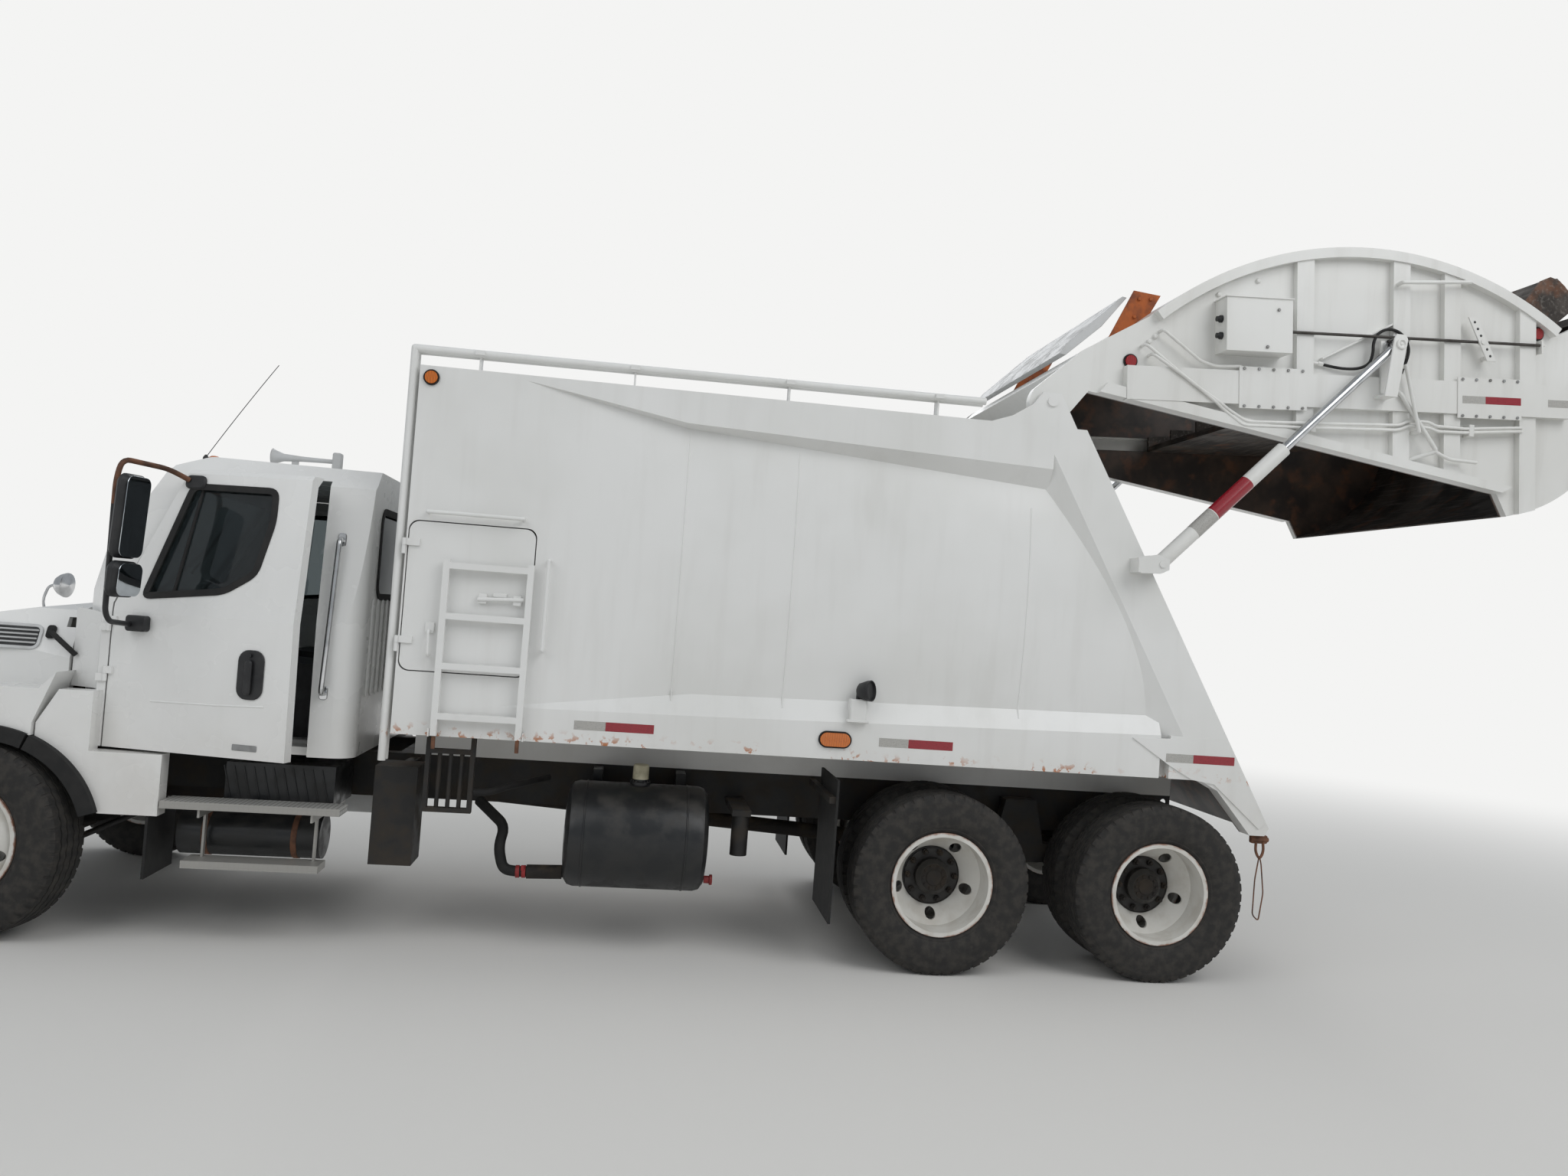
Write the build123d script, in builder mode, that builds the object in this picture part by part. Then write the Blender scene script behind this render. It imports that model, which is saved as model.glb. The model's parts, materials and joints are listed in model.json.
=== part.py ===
"""A rear-loading refuse truck with a conventional day cab, parked with its tailgate raised.

The frame is +X forward, +Y to the truck's left and +Z up, in millimetres. The origin lies on
the ground below the middle of the whole truck. Stations along the truck are given from the
first rear axle. The tailgate is drawn closed and then raised about its hinge, the doors and
wheels are drawn straight and then turned to where they were left.
"""

import os
from math import atan2, cos, hypot, radians, sin, tan

from build123d import *

os.makedirs("parts", exist_ok=True)

# Clearances
SEAT_GAP = 0.3        # between pieces that seat on each other
PIN_CLEARANCE = 0.1   # radial, of a pin in its bore
PANEL_GAP = 6.0       # around doors and other opening panels
MOVING_GAP = 15.0     # between large pieces that pass each other

# Wheels, tyres and axles
TYRE_DIAMETER = 1040.0
TYRE_WIDTH = 279.0
TREAD_WIDTH = 205.0
BEAD_RADIUS = 285.0
FLANGE_RADIUS = 298.0
RIM_WIDTH = 210.0
RIM_THICKNESS = 12.0
DISC_OUTSET = 168.0
DISC_THICKNESS = 12.0
HAND_HOLES = 5
HAND_HOLE_RADIUS = 32.0
HAND_HOLE_CIRCLE = 216.0
HUB_RADIUS = 105.0
HUB_FLANGE_RADIUS = 172.0
DRUM_RADIUS = 208.0
SPINDLE_RADIUS = 45.0
AXLE_Z = TYRE_DIAMETER / 2

AXLE_1_X = -740.0
TANDEM_SPACING = 1321.0
AXLE_2_X = AXLE_1_X - TANDEM_SPACING
FRONT_AXLE_X = AXLE_1_X + 5170.0
DUAL_TYRE_Y = 1075.0
DUAL_SPACING = 343.0
FRONT_TYRE_Y = 1030.0
KINGPIN_Y = 855.0
KINGPIN_RADIUS = 22.0
STEER_AT_REST = -13.5

# Chassis frame
RAIL_OUTER_Y = 432.0
RAIL_HEIGHT = 265.0
RAIL_FLANGE = 85.0
RAIL_THICKNESS = 9.0
REAR_TOW_RADIUS = 20.0
RAIL_TOP_Z = 1000.0
RAIL_FRONT_X = AXLE_1_X + 5900.0
RAIL_REAR_X = AXLE_1_X - 1720.0
RAIL_BOTTOM_Z = RAIL_TOP_Z - RAIL_HEIGHT

# Body
BODY_FRONT_X = AXLE_1_X + 3120.0
BODY_HALF_WIDTH = 1220.0
BODY_INNER_Y = BODY_HALF_WIDTH - 120.0
BODY_BOTTOM_Z = 1207.0
BODY_TOP_Z = 3210.0
FLOOR_THICKNESS = 50.0
ROOF_THICKNESS = 50.0
FRONT_WALL = 60.0
POST_ANGLE = 29.6
POST_TOP_X = AXLE_1_X - 673.0
POST_WIDTH = 280.0
POST_FOOT_Z = 945.0

# Tailgate, drawn closed
TAIL_RAISE = 52.4
HINGE_X = AXLE_1_X - 458.0
HINGE_Z = 3361.0
HINGE_PIN_RADIUS = 30.0
MATING_GAP = 14.0
TAIL_INNER_Y = BODY_INNER_Y
TAIL_WALL_Y = BODY_HALF_WIDTH - 60.0
TAIL_RIB_Y = BODY_HALF_WIDTH - 20.0
TAIL_FLANGE_Y = BODY_HALF_WIDTH - 8.0
HOOD_CENTRE_X = AXLE_1_X - 855.0
HOOD_CENTRE_Z = 1089.0
HOOD_RADIUS = 2205.0
HOOD_SHEET = 12.0
RIM_DEPTH = 60.0
CHANNEL_SLOPE = 49.26
CHANNEL_OFFSET = 134.0
CHANNEL_HALF_HEIGHT = 100.0
CHANNEL_START = 450.0
CHANNEL_END = 3350.0
CHANNEL_WALL = 10.0

# Packer: carriage in the channels and sweep blade on its lower end
PACKER_PIVOT_X = AXLE_1_X - 2550.0
PACKER_PIVOT_Z = 1400.0
PACKER_TRAVEL = 1000.0
TROUGH_RADIUS = 868.0
TROUGH_SHEET = 10.0
PIVOT_TUBE_RADIUS = 62.0
PIVOT_PIN_RADIUS = 35.0

# Lift cylinders
LIFT_Y = BODY_HALF_WIDTH + 55.0
LIFT_LOWER_X = AXLE_1_X - 1135.0
LIFT_LOWER_Z = 2453.0
LIFT_UPPER_X = AXLE_1_X - 2553.0
LIFT_UPPER_Z = 3892.0
LIFT_BARREL_RADIUS = 45.0
LIFT_BARREL_BORE = 36.0
LIFT_ROD_RADIUS = 28.0
LIFT_BARREL_LENGTH = 1050.0
LIFT_ROD_LENGTH = 1034.0
LIFT_EYE_RADIUS = 50.0
LIFT_PIN_RADIUS = 20.0

# Cab
CAB_REAR_X = AXLE_1_X + 3350.0
CAB_COWL_X = AXLE_1_X + 4868.0
CAB_COWL_Z = 1790.0
CAB_HALF_WIDTH = 1045.0
CAB_ROOF_HALF_WIDTH = 900.0
CAB_BELT_Z = 1760.0
CAB_ROOF_Z = 2650.0
CAB_FLOOR_Z = 1030.0
CAB_WALL = 65.0
DOOR_FRONT_X = AXLE_1_X + 4645.0
DOOR_REAR_X = AXLE_1_X + 3585.0
DOOR_TOP_Z = 2560.0
DOOR_HOLE_LEAN = 15.0
DOOR_HINGE_Y = CAB_HALF_WIDTH + 12.0
DOOR_AJAR = 15.0

# Bonnet and front end
BONNET_REAR_X = AXLE_1_X + 4875.0
BONNET_FRONT_X = AXLE_1_X + 6000.0
BONNET_REAR_Z = 1790.0
BONNET_NOSE_Z = 1400.0
BONNET_BOTTOM_Z = 840.0
BONNET_HALF_WIDTH = 960.0
BONNET_WALL = 40.0
FENDER_Y = 1170.0
ARCH_RADIUS = 605.0
BONNET_HINGE_X = AXLE_1_X + 5915.0
BONNET_HINGE_Z = 865.0
BONNET_PIN_RADIUS = 10.0
BONNET_BOSS_RADIUS = 16.0
BUMPER_FRONT_X = AXLE_1_X + 6060.0
BUMPER_TOP_Z = 740.0
BUMPER_HEIGHT = 300.0

pieces = {}


def side_plane(y):
    """Upright plane along the truck: local x forward, local y up, facing the right side."""
    return Plane(origin=(0, y, 0), x_dir=(1, 0, 0), z_dir=(0, -1, 0))


def cross_plane(x):
    """Upright plane across the truck: local x to the left, local y up, facing forward."""
    return Plane(origin=(x, 0, 0), x_dir=(0, 1, 0), z_dir=(1, 0, 0))


def side_plate(points, y_low, y_high):
    """A flat plate with an outline in x and z, between two distances from the middle."""
    with BuildPart() as plate:
        with BuildSketch(side_plane(y_high)):
            with BuildLine():
                Polyline(*points, close=True)
            make_face()
        extrude(amount=y_high - y_low)
    return plate.part


def block(low, high):
    """A rectangular piece between two opposite corners."""
    size = [high[i] - low[i] for i in range(3)]
    middle = [(high[i] + low[i]) / 2 for i in range(3)]
    with BuildPart() as box:
        with Locations(tuple(middle)):
            Box(*size)
    return box.part


def rod_between(start, end, radius):
    """A round bar from one point to another."""
    along = Vector(*end) - Vector(*start)
    with BuildPart() as bar:
        with BuildSketch(Plane(origin=start, z_dir=along)):
            Circle(radius)
        extrude(amount=along.length)
    return bar.part


def cylinder_y(x, z, radius, y_low, y_high):
    """A round bar across the truck."""
    return rod_between((x, y_low, z), (x, y_high, z), radius)


def bent_bar(points, radius):
    """A round bar along straight runs with mitred corners closed by balls."""
    with BuildPart() as bar:
        for start, end in zip(points, points[1:]):
            add(rod_between(start, end, radius))
        for corner in points[1:-1]:
            with Locations(corner):
                Sphere(radius + 0.1)
    return bar.part


def keep(name, piece):
    """Store a finished piece under its name."""
    piece.label = name
    pieces[name] = piece


# Wheels


def wheel_half_plane(x, y, side):
    """Plane through a wheel's axis: local x is the radius, local y the distance outboard."""
    return Plane(origin=(x, y, AXLE_Z), x_dir=(0, 0, 1), z_dir=(-side, 0, 0))


def revolve_wheel(profiles, x, y, side):
    """Turn closed (radius, outboard) outlines about a wheel's axis into one piece."""
    plane = wheel_half_plane(x, y, side)
    with BuildPart() as turned:
        for outline in profiles:
            with BuildSketch(plane):
                with BuildLine():
                    Polyline(*outline, close=True)
                make_face()
            revolve(axis=Axis((x, y, AXLE_Z), (0, side, 0)))
    return turned.part


def tyre_outline(offset):
    """Tyre section seated between the rim flanges, offset outboard of the wheel's centre."""
    tread = TREAD_WIDTH / 2
    wide = TYRE_WIDTH / 2
    bead = RIM_WIDTH / 2 - SEAT_GAP
    outer = TYRE_DIAMETER / 2
    section_height = outer - BEAD_RADIUS
    widest = BEAD_RADIUS + 0.5 * section_height
    shoulder = outer - 0.12 * section_height
    half = [
        (BEAD_RADIUS + SEAT_GAP, bead),
        (FLANGE_RADIUS + SEAT_GAP, bead),
        (widest, wide),
        (shoulder, tread + 0.45 * (wide - tread)),
        (outer, tread),
    ]
    return [(r, a + offset) for r, a in half] + [(r, offset - a) for r, a in reversed(half)]


def rim(x, y, side, offset, face, towards):
    """Channel and dished disc of one rim, with its hand holes; the disc's flat face lies at face."""
    half = RIM_WIDTH / 2
    lip = RIM_THICKNESS
    seat = BEAD_RADIUS
    inner = seat - RIM_THICKNESS
    channel = [
        (inner, offset - half - lip),
        (FLANGE_RADIUS, offset - half - lip),
        (FLANGE_RADIUS, offset - half),
        (seat, offset - half),
        (seat, offset + half),
        (FLANGE_RADIUS, offset + half),
        (FLANGE_RADIUS, offset + half + lip),
        (inner, offset + half + lip),
    ]
    root = offset + towards * 0.6 * half
    back = face - towards * DISC_THICKNESS
    bore = HUB_RADIUS + SEAT_GAP
    disc = [
        (inner + 2, root),
        (HUB_FLANGE_RADIUS, face),
        (bore, face),
        (bore, back),
        (HUB_FLANGE_RADIUS - 4, back),
        (inner + 2, root - towards * DISC_THICKNESS * 1.4),
    ]
    low, high = sorted((face + towards * 5, root - towards * 25))
    with BuildPart() as made:
        add(revolve_wheel([channel, disc], x, y, side))
        with BuildSketch(Plane(origin=(x, y + side * low, AXLE_Z), x_dir=(1, 0, 0), z_dir=(0, side, 0))):
            with PolarLocations(HAND_HOLE_CIRCLE, HAND_HOLES, start_angle=18):
                Circle(HAND_HOLE_RADIUS)
        extrude(amount=high - low, mode=Mode.SUBTRACT)
    return made.part


def clamp_rings(outer_face, inner_face):
    """Nut ring and hub flange that hold the discs between two faces."""
    hub = HUB_RADIUS - 2
    return [
        [
            (hub, outer_face + SEAT_GAP), (HUB_FLANGE_RADIUS - 12, outer_face + SEAT_GAP),
            (HUB_FLANGE_RADIUS - 12, outer_face + 10), (hub, outer_face + 10),
        ],
        [
            (hub, inner_face - 20), (HUB_FLANGE_RADIUS - 12, inner_face - 20),
            (HUB_FLANGE_RADIUS - 12, inner_face - SEAT_GAP), (hub, inner_face - SEAT_GAP),
        ],
    ]


def hub_outline(low, high, bore_end):
    """Hub barrel with its end cap, bored from its inner end for the spindle."""
    bore = SPINDLE_RADIUS + PIN_CLEARANCE
    return [
        (bore, low), (HUB_RADIUS, low), (HUB_RADIUS, high - 25), (HUB_RADIUS - 25, high), (0, high),
        (0, bore_end), (bore, bore_end),
    ]


def drum_outline(web, length):
    """Brake drum: a sloping web that starts at web and a rim that reaches inboard."""
    inner = DRUM_RADIUS - 16
    return [
        (HUB_RADIUS - 2, web), (DRUM_RADIUS, web - 15), (DRUM_RADIUS, web - length),
        (inner, web - length), (inner, web - 35), (HUB_RADIUS - 2, web - 20),
    ]


def rear_wheel(x, side):
    """Twin rims clamped on one hub with its brake drum, bored for the axle's spindle."""
    y = side * DUAL_TYRE_Y
    face = -DISC_OUTSET
    outlines = clamp_rings(face + SEAT_GAP + DISC_THICKNESS, face - DISC_THICKNESS)
    outlines = outlines + [hub_outline(face - 283, face + 95, face + 30), drum_outline(face - 60, 200)]
    with BuildPart() as wheel:
        add(rim(x, y, side, 0, face + SEAT_GAP, -1))
        add(rim(x, y, side, -DUAL_SPACING, face, 1))
        add(revolve_wheel(outlines, x, y, side))
    return wheel.part


def front_wheel(side):
    """Single rim with its disc outboard, clamped on a hub with its brake drum."""
    y = side * FRONT_TYRE_Y
    face = DISC_OUTSET
    outlines = clamp_rings(face, face - DISC_THICKNESS)
    outlines = outlines + [hub_outline(-40, face + 45, face - 20), drum_outline(60, 160)]
    with BuildPart() as wheel:
        add(rim(FRONT_AXLE_X, y, side, 0, face, 1))
        add(revolve_wheel(outlines, FRONT_AXLE_X, y, side))
    return wheel.part


def steered(piece, side):
    """Turn a front wheel's piece about its kingpin to where the truck was left."""
    kingpin = Axis((FRONT_AXLE_X, side * KINGPIN_Y, 0), (0, 0, 1))
    return piece.rotate(kingpin, STEER_AT_REST)


SIDES = {"left": 1, "right": -1}
for side_name, side in SIDES.items():
    for number, axle_x in ((1, AXLE_1_X), (2, AXLE_2_X)):
        outlines = [tyre_outline(0), tyre_outline(-DUAL_SPACING)]
        keep(f"tyres_rear_{number}_{side_name}", revolve_wheel(outlines, axle_x, side * DUAL_TYRE_Y, side))
        keep(f"wheel_rear_{number}_{side_name}", rear_wheel(axle_x, side))
    tyre = revolve_wheel([tyre_outline(0)], FRONT_AXLE_X, side * FRONT_TYRE_Y, side)
    keep(f"tyre_front_{side_name}", steered(tyre, side))
    keep(f"wheel_front_{side_name}", steered(front_wheel(side), side))

# Front axle, knuckles and tie rod
EYE_HALF_HEIGHT = 48.0
EYE_RADIUS = 44.0
FORK_GAP = 5.0
FORK_THICKNESS = 34.0
FORK_RADIUS = 46.0
SPINDLE_END = DISC_OUTSET - 22.0
BEAM_HALF_WIDTH = 45.0
BEAM_DROP = 85.0
ARM_LENGTH = 190.0
ARM_ROOT_HALF_WIDTH = 24.0
ARM_THICKNESS = 30.0
TIE_BALL_RADIUS = 26.0
TIE_PIN_RADIUS = 11.0
TIE_ROD_RADIUS = 18.0
ARM_Z = AXLE_Z - EYE_HALF_HEIGHT - FORK_GAP - FORK_THICKNESS
BACKPLATE_Y = KINGPIN_Y + FORK_RADIUS

with BuildPart() as front_axle:
    beam_end = KINGPIN_Y - EYE_RADIUS + 4
    with BuildSketch(cross_plane(FRONT_AXLE_X - BEAM_HALF_WIDTH)):
        with BuildLine():
            Polyline(
                (-beam_end, AXLE_Z + 40), (-beam_end, AXLE_Z - 44), (-beam_end + 90, AXLE_Z - 70),
                (-520, AXLE_Z - BEAM_DROP - 60), (520, AXLE_Z - BEAM_DROP - 60),
                (beam_end - 90, AXLE_Z - 70), (beam_end, AXLE_Z - 44), (beam_end, AXLE_Z + 40),
                (beam_end - 110, AXLE_Z + 30), (500, AXLE_Z - BEAM_DROP + 40),
                (-500, AXLE_Z - BEAM_DROP + 40), (-beam_end + 110, AXLE_Z + 30), close=True,
            )
        make_face()
    extrude(amount=2 * BEAM_HALF_WIDTH)
    for side in SIDES.values():
        with BuildSketch(Plane(origin=(FRONT_AXLE_X, side * KINGPIN_Y, AXLE_Z - EYE_HALF_HEIGHT))):
            Circle(EYE_RADIUS)
        extrude(amount=2 * EYE_HALF_HEIGHT)
    for side in SIDES.values():
        with BuildSketch(Plane(origin=(FRONT_AXLE_X, side * KINGPIN_Y, AXLE_Z - EYE_HALF_HEIGHT))):
            Circle(KINGPIN_RADIUS + PIN_CLEARANCE)
        extrude(amount=2 * EYE_HALF_HEIGHT, mode=Mode.SUBTRACT)
keep("front_axle", front_axle.part)


def knuckle(side):
    """Forked knuckle with its kingpin, spindle and steering arm."""
    fork_low = AXLE_Z - EYE_HALF_HEIGHT - FORK_GAP - FORK_THICKNESS
    fork_high = AXLE_Z + EYE_HALF_HEIGHT + FORK_GAP
    with BuildPart() as made:
        for low in (fork_low, fork_high):
            with BuildSketch(Plane(origin=(FRONT_AXLE_X, side * KINGPIN_Y, low))):
                Circle(FORK_RADIUS)
                with Locations((0, side * FORK_RADIUS)):
                    Rectangle(2 * FORK_RADIUS, 2 * FORK_RADIUS - 20)
            extrude(amount=FORK_THICKNESS)
        with BuildSketch(Plane(origin=(FRONT_AXLE_X, side * KINGPIN_Y, fork_low))):
            Circle(KINGPIN_RADIUS)
        extrude(amount=fork_high + FORK_THICKNESS - fork_low)
        add(block(
            (FRONT_AXLE_X - FORK_RADIUS, min(side * (BACKPLATE_Y + 8), side * (BACKPLATE_Y + 36)), fork_low),
            (FRONT_AXLE_X + FORK_RADIUS, max(side * (BACKPLATE_Y + 8), side * (BACKPLATE_Y + 36)),
             fork_high + FORK_THICKNESS),
        ))
        spindle_start = side * (BACKPLATE_Y + 20)
        spindle_end = side * (FRONT_TYRE_Y + SPINDLE_END)
        with BuildSketch(Plane(origin=(FRONT_AXLE_X, spindle_start, AXLE_Z), z_dir=(0, side, 0))):
            Circle(SPINDLE_RADIUS)
        extrude(amount=abs(spindle_end - spindle_start))
        arm_start = (FRONT_AXLE_X - FORK_RADIUS + 10, side * KINGPIN_Y)
        arm_end = (FRONT_AXLE_X - ARM_LENGTH, side * KINGPIN_Y)
        with BuildSketch(Plane.XY.offset(ARM_Z)):
            with BuildLine():
                Polyline(
                    (arm_start[0], arm_start[1] - ARM_ROOT_HALF_WIDTH), (arm_end[0], arm_end[1] - 20),
                    (arm_end[0], arm_end[1] + 20), (arm_start[0], arm_start[1] + ARM_ROOT_HALF_WIDTH),
                    close=True,
                )
            make_face()
            with Locations(arm_end):
                Circle(TIE_BALL_RADIUS)
        extrude(amount=ARM_THICKNESS)
        with BuildSketch(Plane.XY.offset(ARM_Z)):
            with Locations(arm_end):
                Circle(TIE_PIN_RADIUS + PIN_CLEARANCE)
        extrude(amount=ARM_THICKNESS, mode=Mode.SUBTRACT)
    return made.part


def arm_end_at_rest(side):
    """Where a steering arm's bore stands once the wheels are turned."""
    turn = radians(STEER_AT_REST)
    return (FRONT_AXLE_X - ARM_LENGTH * cos(turn), side * KINGPIN_Y - ARM_LENGTH * sin(turn))


for side_name, side in SIDES.items():
    keep(f"knuckle_{side_name}", steered(knuckle(side), side))

left_end = arm_end_at_rest(1)
right_end = arm_end_at_rest(-1)
TIE_ROD_Z = ARM_Z - FORK_GAP - TIE_BALL_RADIUS
with BuildPart() as tie_rod:
    add(rod_between((*right_end, TIE_ROD_Z), (*left_end, TIE_ROD_Z), TIE_ROD_RADIUS))
    for end in (left_end, right_end):
        with BuildSketch(Plane(origin=(*end, TIE_ROD_Z - TIE_BALL_RADIUS))):
            Circle(TIE_BALL_RADIUS)
        extrude(amount=2 * TIE_BALL_RADIUS)
        with BuildSketch(Plane(origin=(*end, TIE_ROD_Z))):
            Circle(TIE_PIN_RADIUS)
        extrude(amount=ARM_Z + ARM_THICKNESS + 12 - TIE_ROD_Z)
keep("tie_rod", tie_rod.part)

# Rear axles, springs and drive shafts
HOUSING_RADIUS = 72.0
BOWL_RADIUS = 205.0
SPRING_Y = 525.0
SPRING_WIDTH = 80.0
SPINDLE_STUB_END = DUAL_TYRE_Y - DISC_OUTSET + 30.0 - PIN_CLEARANCE
HOUSING_END = DUAL_TYRE_Y - DISC_OUTSET - DUAL_SPACING + 40.0

with BuildPart() as rear_axles:
    for axle_x in (AXLE_1_X, AXLE_2_X):
        add(cylinder_y(axle_x, AXLE_Z, HOUSING_RADIUS, -HOUSING_END, HOUSING_END))
        add(cylinder_y(axle_x, AXLE_Z, SPINDLE_RADIUS, -SPINDLE_STUB_END, SPINDLE_STUB_END))
        add(cylinder_y(axle_x, AXLE_Z, BOWL_RADIUS, -110, 110))
        add(rod_between((axle_x, 0, AXLE_Z), (axle_x + 330, 0, AXLE_Z + 40), 75))
    add(rod_between((AXLE_2_X + 320, 0, AXLE_Z + 39), (AXLE_1_X - 100, 0, AXLE_Z + 60), 42))
keep("rear_axles", rear_axles.part)

MID_TANDEM_X = (AXLE_1_X + AXLE_2_X) / 2
beam_low = AXLE_Z + HOUSING_RADIUS + SEAT_GAP
with BuildPart() as suspension:
    for side in SIDES.values():
        y_low, y_high = sorted((side * (SPRING_Y - SPRING_WIDTH / 2), side * (SPRING_Y + SPRING_WIDTH / 2)))
        add(side_plate(
            [
                (AXLE_2_X - 90, beam_low), (AXLE_2_X + 110, beam_low), (MID_TANDEM_X - 130, AXLE_Z + 30),
                (MID_TANDEM_X + 130, AXLE_Z + 30), (AXLE_1_X - 110, beam_low), (AXLE_1_X + 90, beam_low),
                (AXLE_1_X + 90, AXLE_Z + 150), (MID_TANDEM_X + 160, AXLE_Z + 150),
                (MID_TANDEM_X + 100, RAIL_TOP_Z - 60), (MID_TANDEM_X - 100, RAIL_TOP_Z - 60),
                (MID_TANDEM_X - 160, AXLE_Z + 150), (AXLE_2_X - 90, AXLE_Z + 150),
            ],
            y_low, y_high,
        ))
        inner, outer = sorted((side * (RAIL_OUTER_Y + SEAT_GAP), side * (SPRING_Y - SPRING_WIDTH / 2 + 5)))
        add(
            block((MID_TANDEM_X - 100, inner, RAIL_TOP_Z - 240), (MID_TANDEM_X + 100, outer, RAIL_TOP_Z - 60))
        )

# Chassis frame with crossmembers, front springs, long sills under the body
CROSSMEMBERS = (5780.0, 3800.0, 3200.0, 2200.0, 900.0, -660.0, -1560.0)
CROSS_LOW_Z = RAIL_BOTTOM_Z + 110.0
REAR_TOW_X = RAIL_REAR_X + 45.0
REAR_TOW_Z = RAIL_TOP_Z - 42.0
FLAP_X = AXLE_1_X + 640.0
FLAP_THICKNESS = 14.0
CROSS_HIGH_Z = RAIL_TOP_Z - 20.0
FRONT_SPRING_Y = 380.0
SILL_WIDTH = 90.0

with BuildPart() as frame_rails:
    for side in SIDES.values():
        with BuildSketch(cross_plane(RAIL_REAR_X)):
            web = side * (RAIL_OUTER_Y - RAIL_THICKNESS / 2)
            with Locations((web, RAIL_TOP_Z - RAIL_HEIGHT / 2)):
                Rectangle(RAIL_THICKNESS, RAIL_HEIGHT)
            for flange_z in (RAIL_TOP_Z - RAIL_THICKNESS / 2, RAIL_BOTTOM_Z + RAIL_THICKNESS / 2):
                with Locations((side * (RAIL_OUTER_Y - RAIL_FLANGE / 2), flange_z)):
                    Rectangle(RAIL_FLANGE, RAIL_THICKNESS)
        extrude(amount=RAIL_FRONT_X - RAIL_REAR_X)
    inner = RAIL_OUTER_Y - RAIL_THICKNESS
    for station in CROSSMEMBERS:
        add(block(
            (AXLE_1_X + station - 40, -inner, CROSS_LOW_Z),
            (AXLE_1_X + station - 28, inner, CROSS_HIGH_Z),
        ))
        for flange_z in (CROSS_LOW_Z, CROSS_HIGH_Z - 12):
            add(block(
                (AXLE_1_X + station - 40, -inner, flange_z),
                (AXLE_1_X + station + 40, inner, flange_z + 12),
            ))
    for side in SIDES.values():
        y_low, y_high = sorted((side * (RAIL_OUTER_Y - 1), side * 1180))
        add(block((FLAP_X + FLAP_THICKNESS + SEAT_GAP, y_low, RAIL_TOP_Z - 50),
                  (FLAP_X + FLAP_THICKNESS + 35, y_high, RAIL_TOP_Z - 15)))
    for side in SIDES.values():
        y_low, y_high = sorted((side * (inner - 1), side * (RAIL_OUTER_Y + 1)))
        add(cylinder_y(REAR_TOW_X, REAR_TOW_Z, REAR_TOW_RADIUS, y_low, y_high), mode=Mode.SUBTRACT)
keep("frame_rails", frame_rails.part)

with BuildPart() as front_springs:
    for side in SIDES.values():
        y_low, y_high = sorted((side * (FRONT_SPRING_Y - 40), side * (FRONT_SPRING_Y + 40)))
        leaf_z = AXLE_Z - BEAM_DROP + 40 + SEAT_GAP
        add(side_plate(
            [
                (FRONT_AXLE_X - 620, leaf_z + 130), (FRONT_AXLE_X - 300, leaf_z + 30),
                (FRONT_AXLE_X - 70, leaf_z),
                (FRONT_AXLE_X + 70, leaf_z), (FRONT_AXLE_X + 300, leaf_z + 30),
                (FRONT_AXLE_X + 620, leaf_z + 130),
                (FRONT_AXLE_X + 620, leaf_z + 160), (FRONT_AXLE_X + 300, leaf_z + 75),
                (FRONT_AXLE_X, leaf_z + 62),
                (FRONT_AXLE_X - 300, leaf_z + 75), (FRONT_AXLE_X - 620, leaf_z + 160),
            ],
            y_low, y_high,
        ))
        for end_x in (FRONT_AXLE_X - 600, FRONT_AXLE_X + 600):
            add(block(
                (end_x - 30, y_low + 15, leaf_z + 120), (end_x + 30, y_high - 15, RAIL_BOTTOM_Z - SEAT_GAP),
            ))
with BuildPart() as springs:
    add(front_springs.part)
    add(suspension.part)
keep("springs", springs.part)

# Engine and gearbox as plain masses, radiator behind the grille
ENGINE_LOW_Z = 610.0
with BuildPart() as engine_block:
    add(block((AXLE_1_X + 4990, -320, ENGINE_LOW_Z), (AXLE_1_X + 5700, 320, 1400)))
    mount_y = RAIL_OUTER_Y - RAIL_THICKNESS - SEAT_GAP
    for station in (5050.0, 5560.0):
        add(block((AXLE_1_X + station, -mount_y, 800), (AXLE_1_X + station + 70, mount_y, 880)))
    add(block((AXLE_1_X + 3900, -210, ENGINE_LOW_Z + 20), (AXLE_1_X + 4991, 210, CAB_FLOOR_Z - 25)))
    add(rod_between((AXLE_1_X + 3901, 0, 790), (AXLE_1_X + 345, 0, AXLE_Z + 42), 48))
keep("engine_block", engine_block.part)

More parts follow.
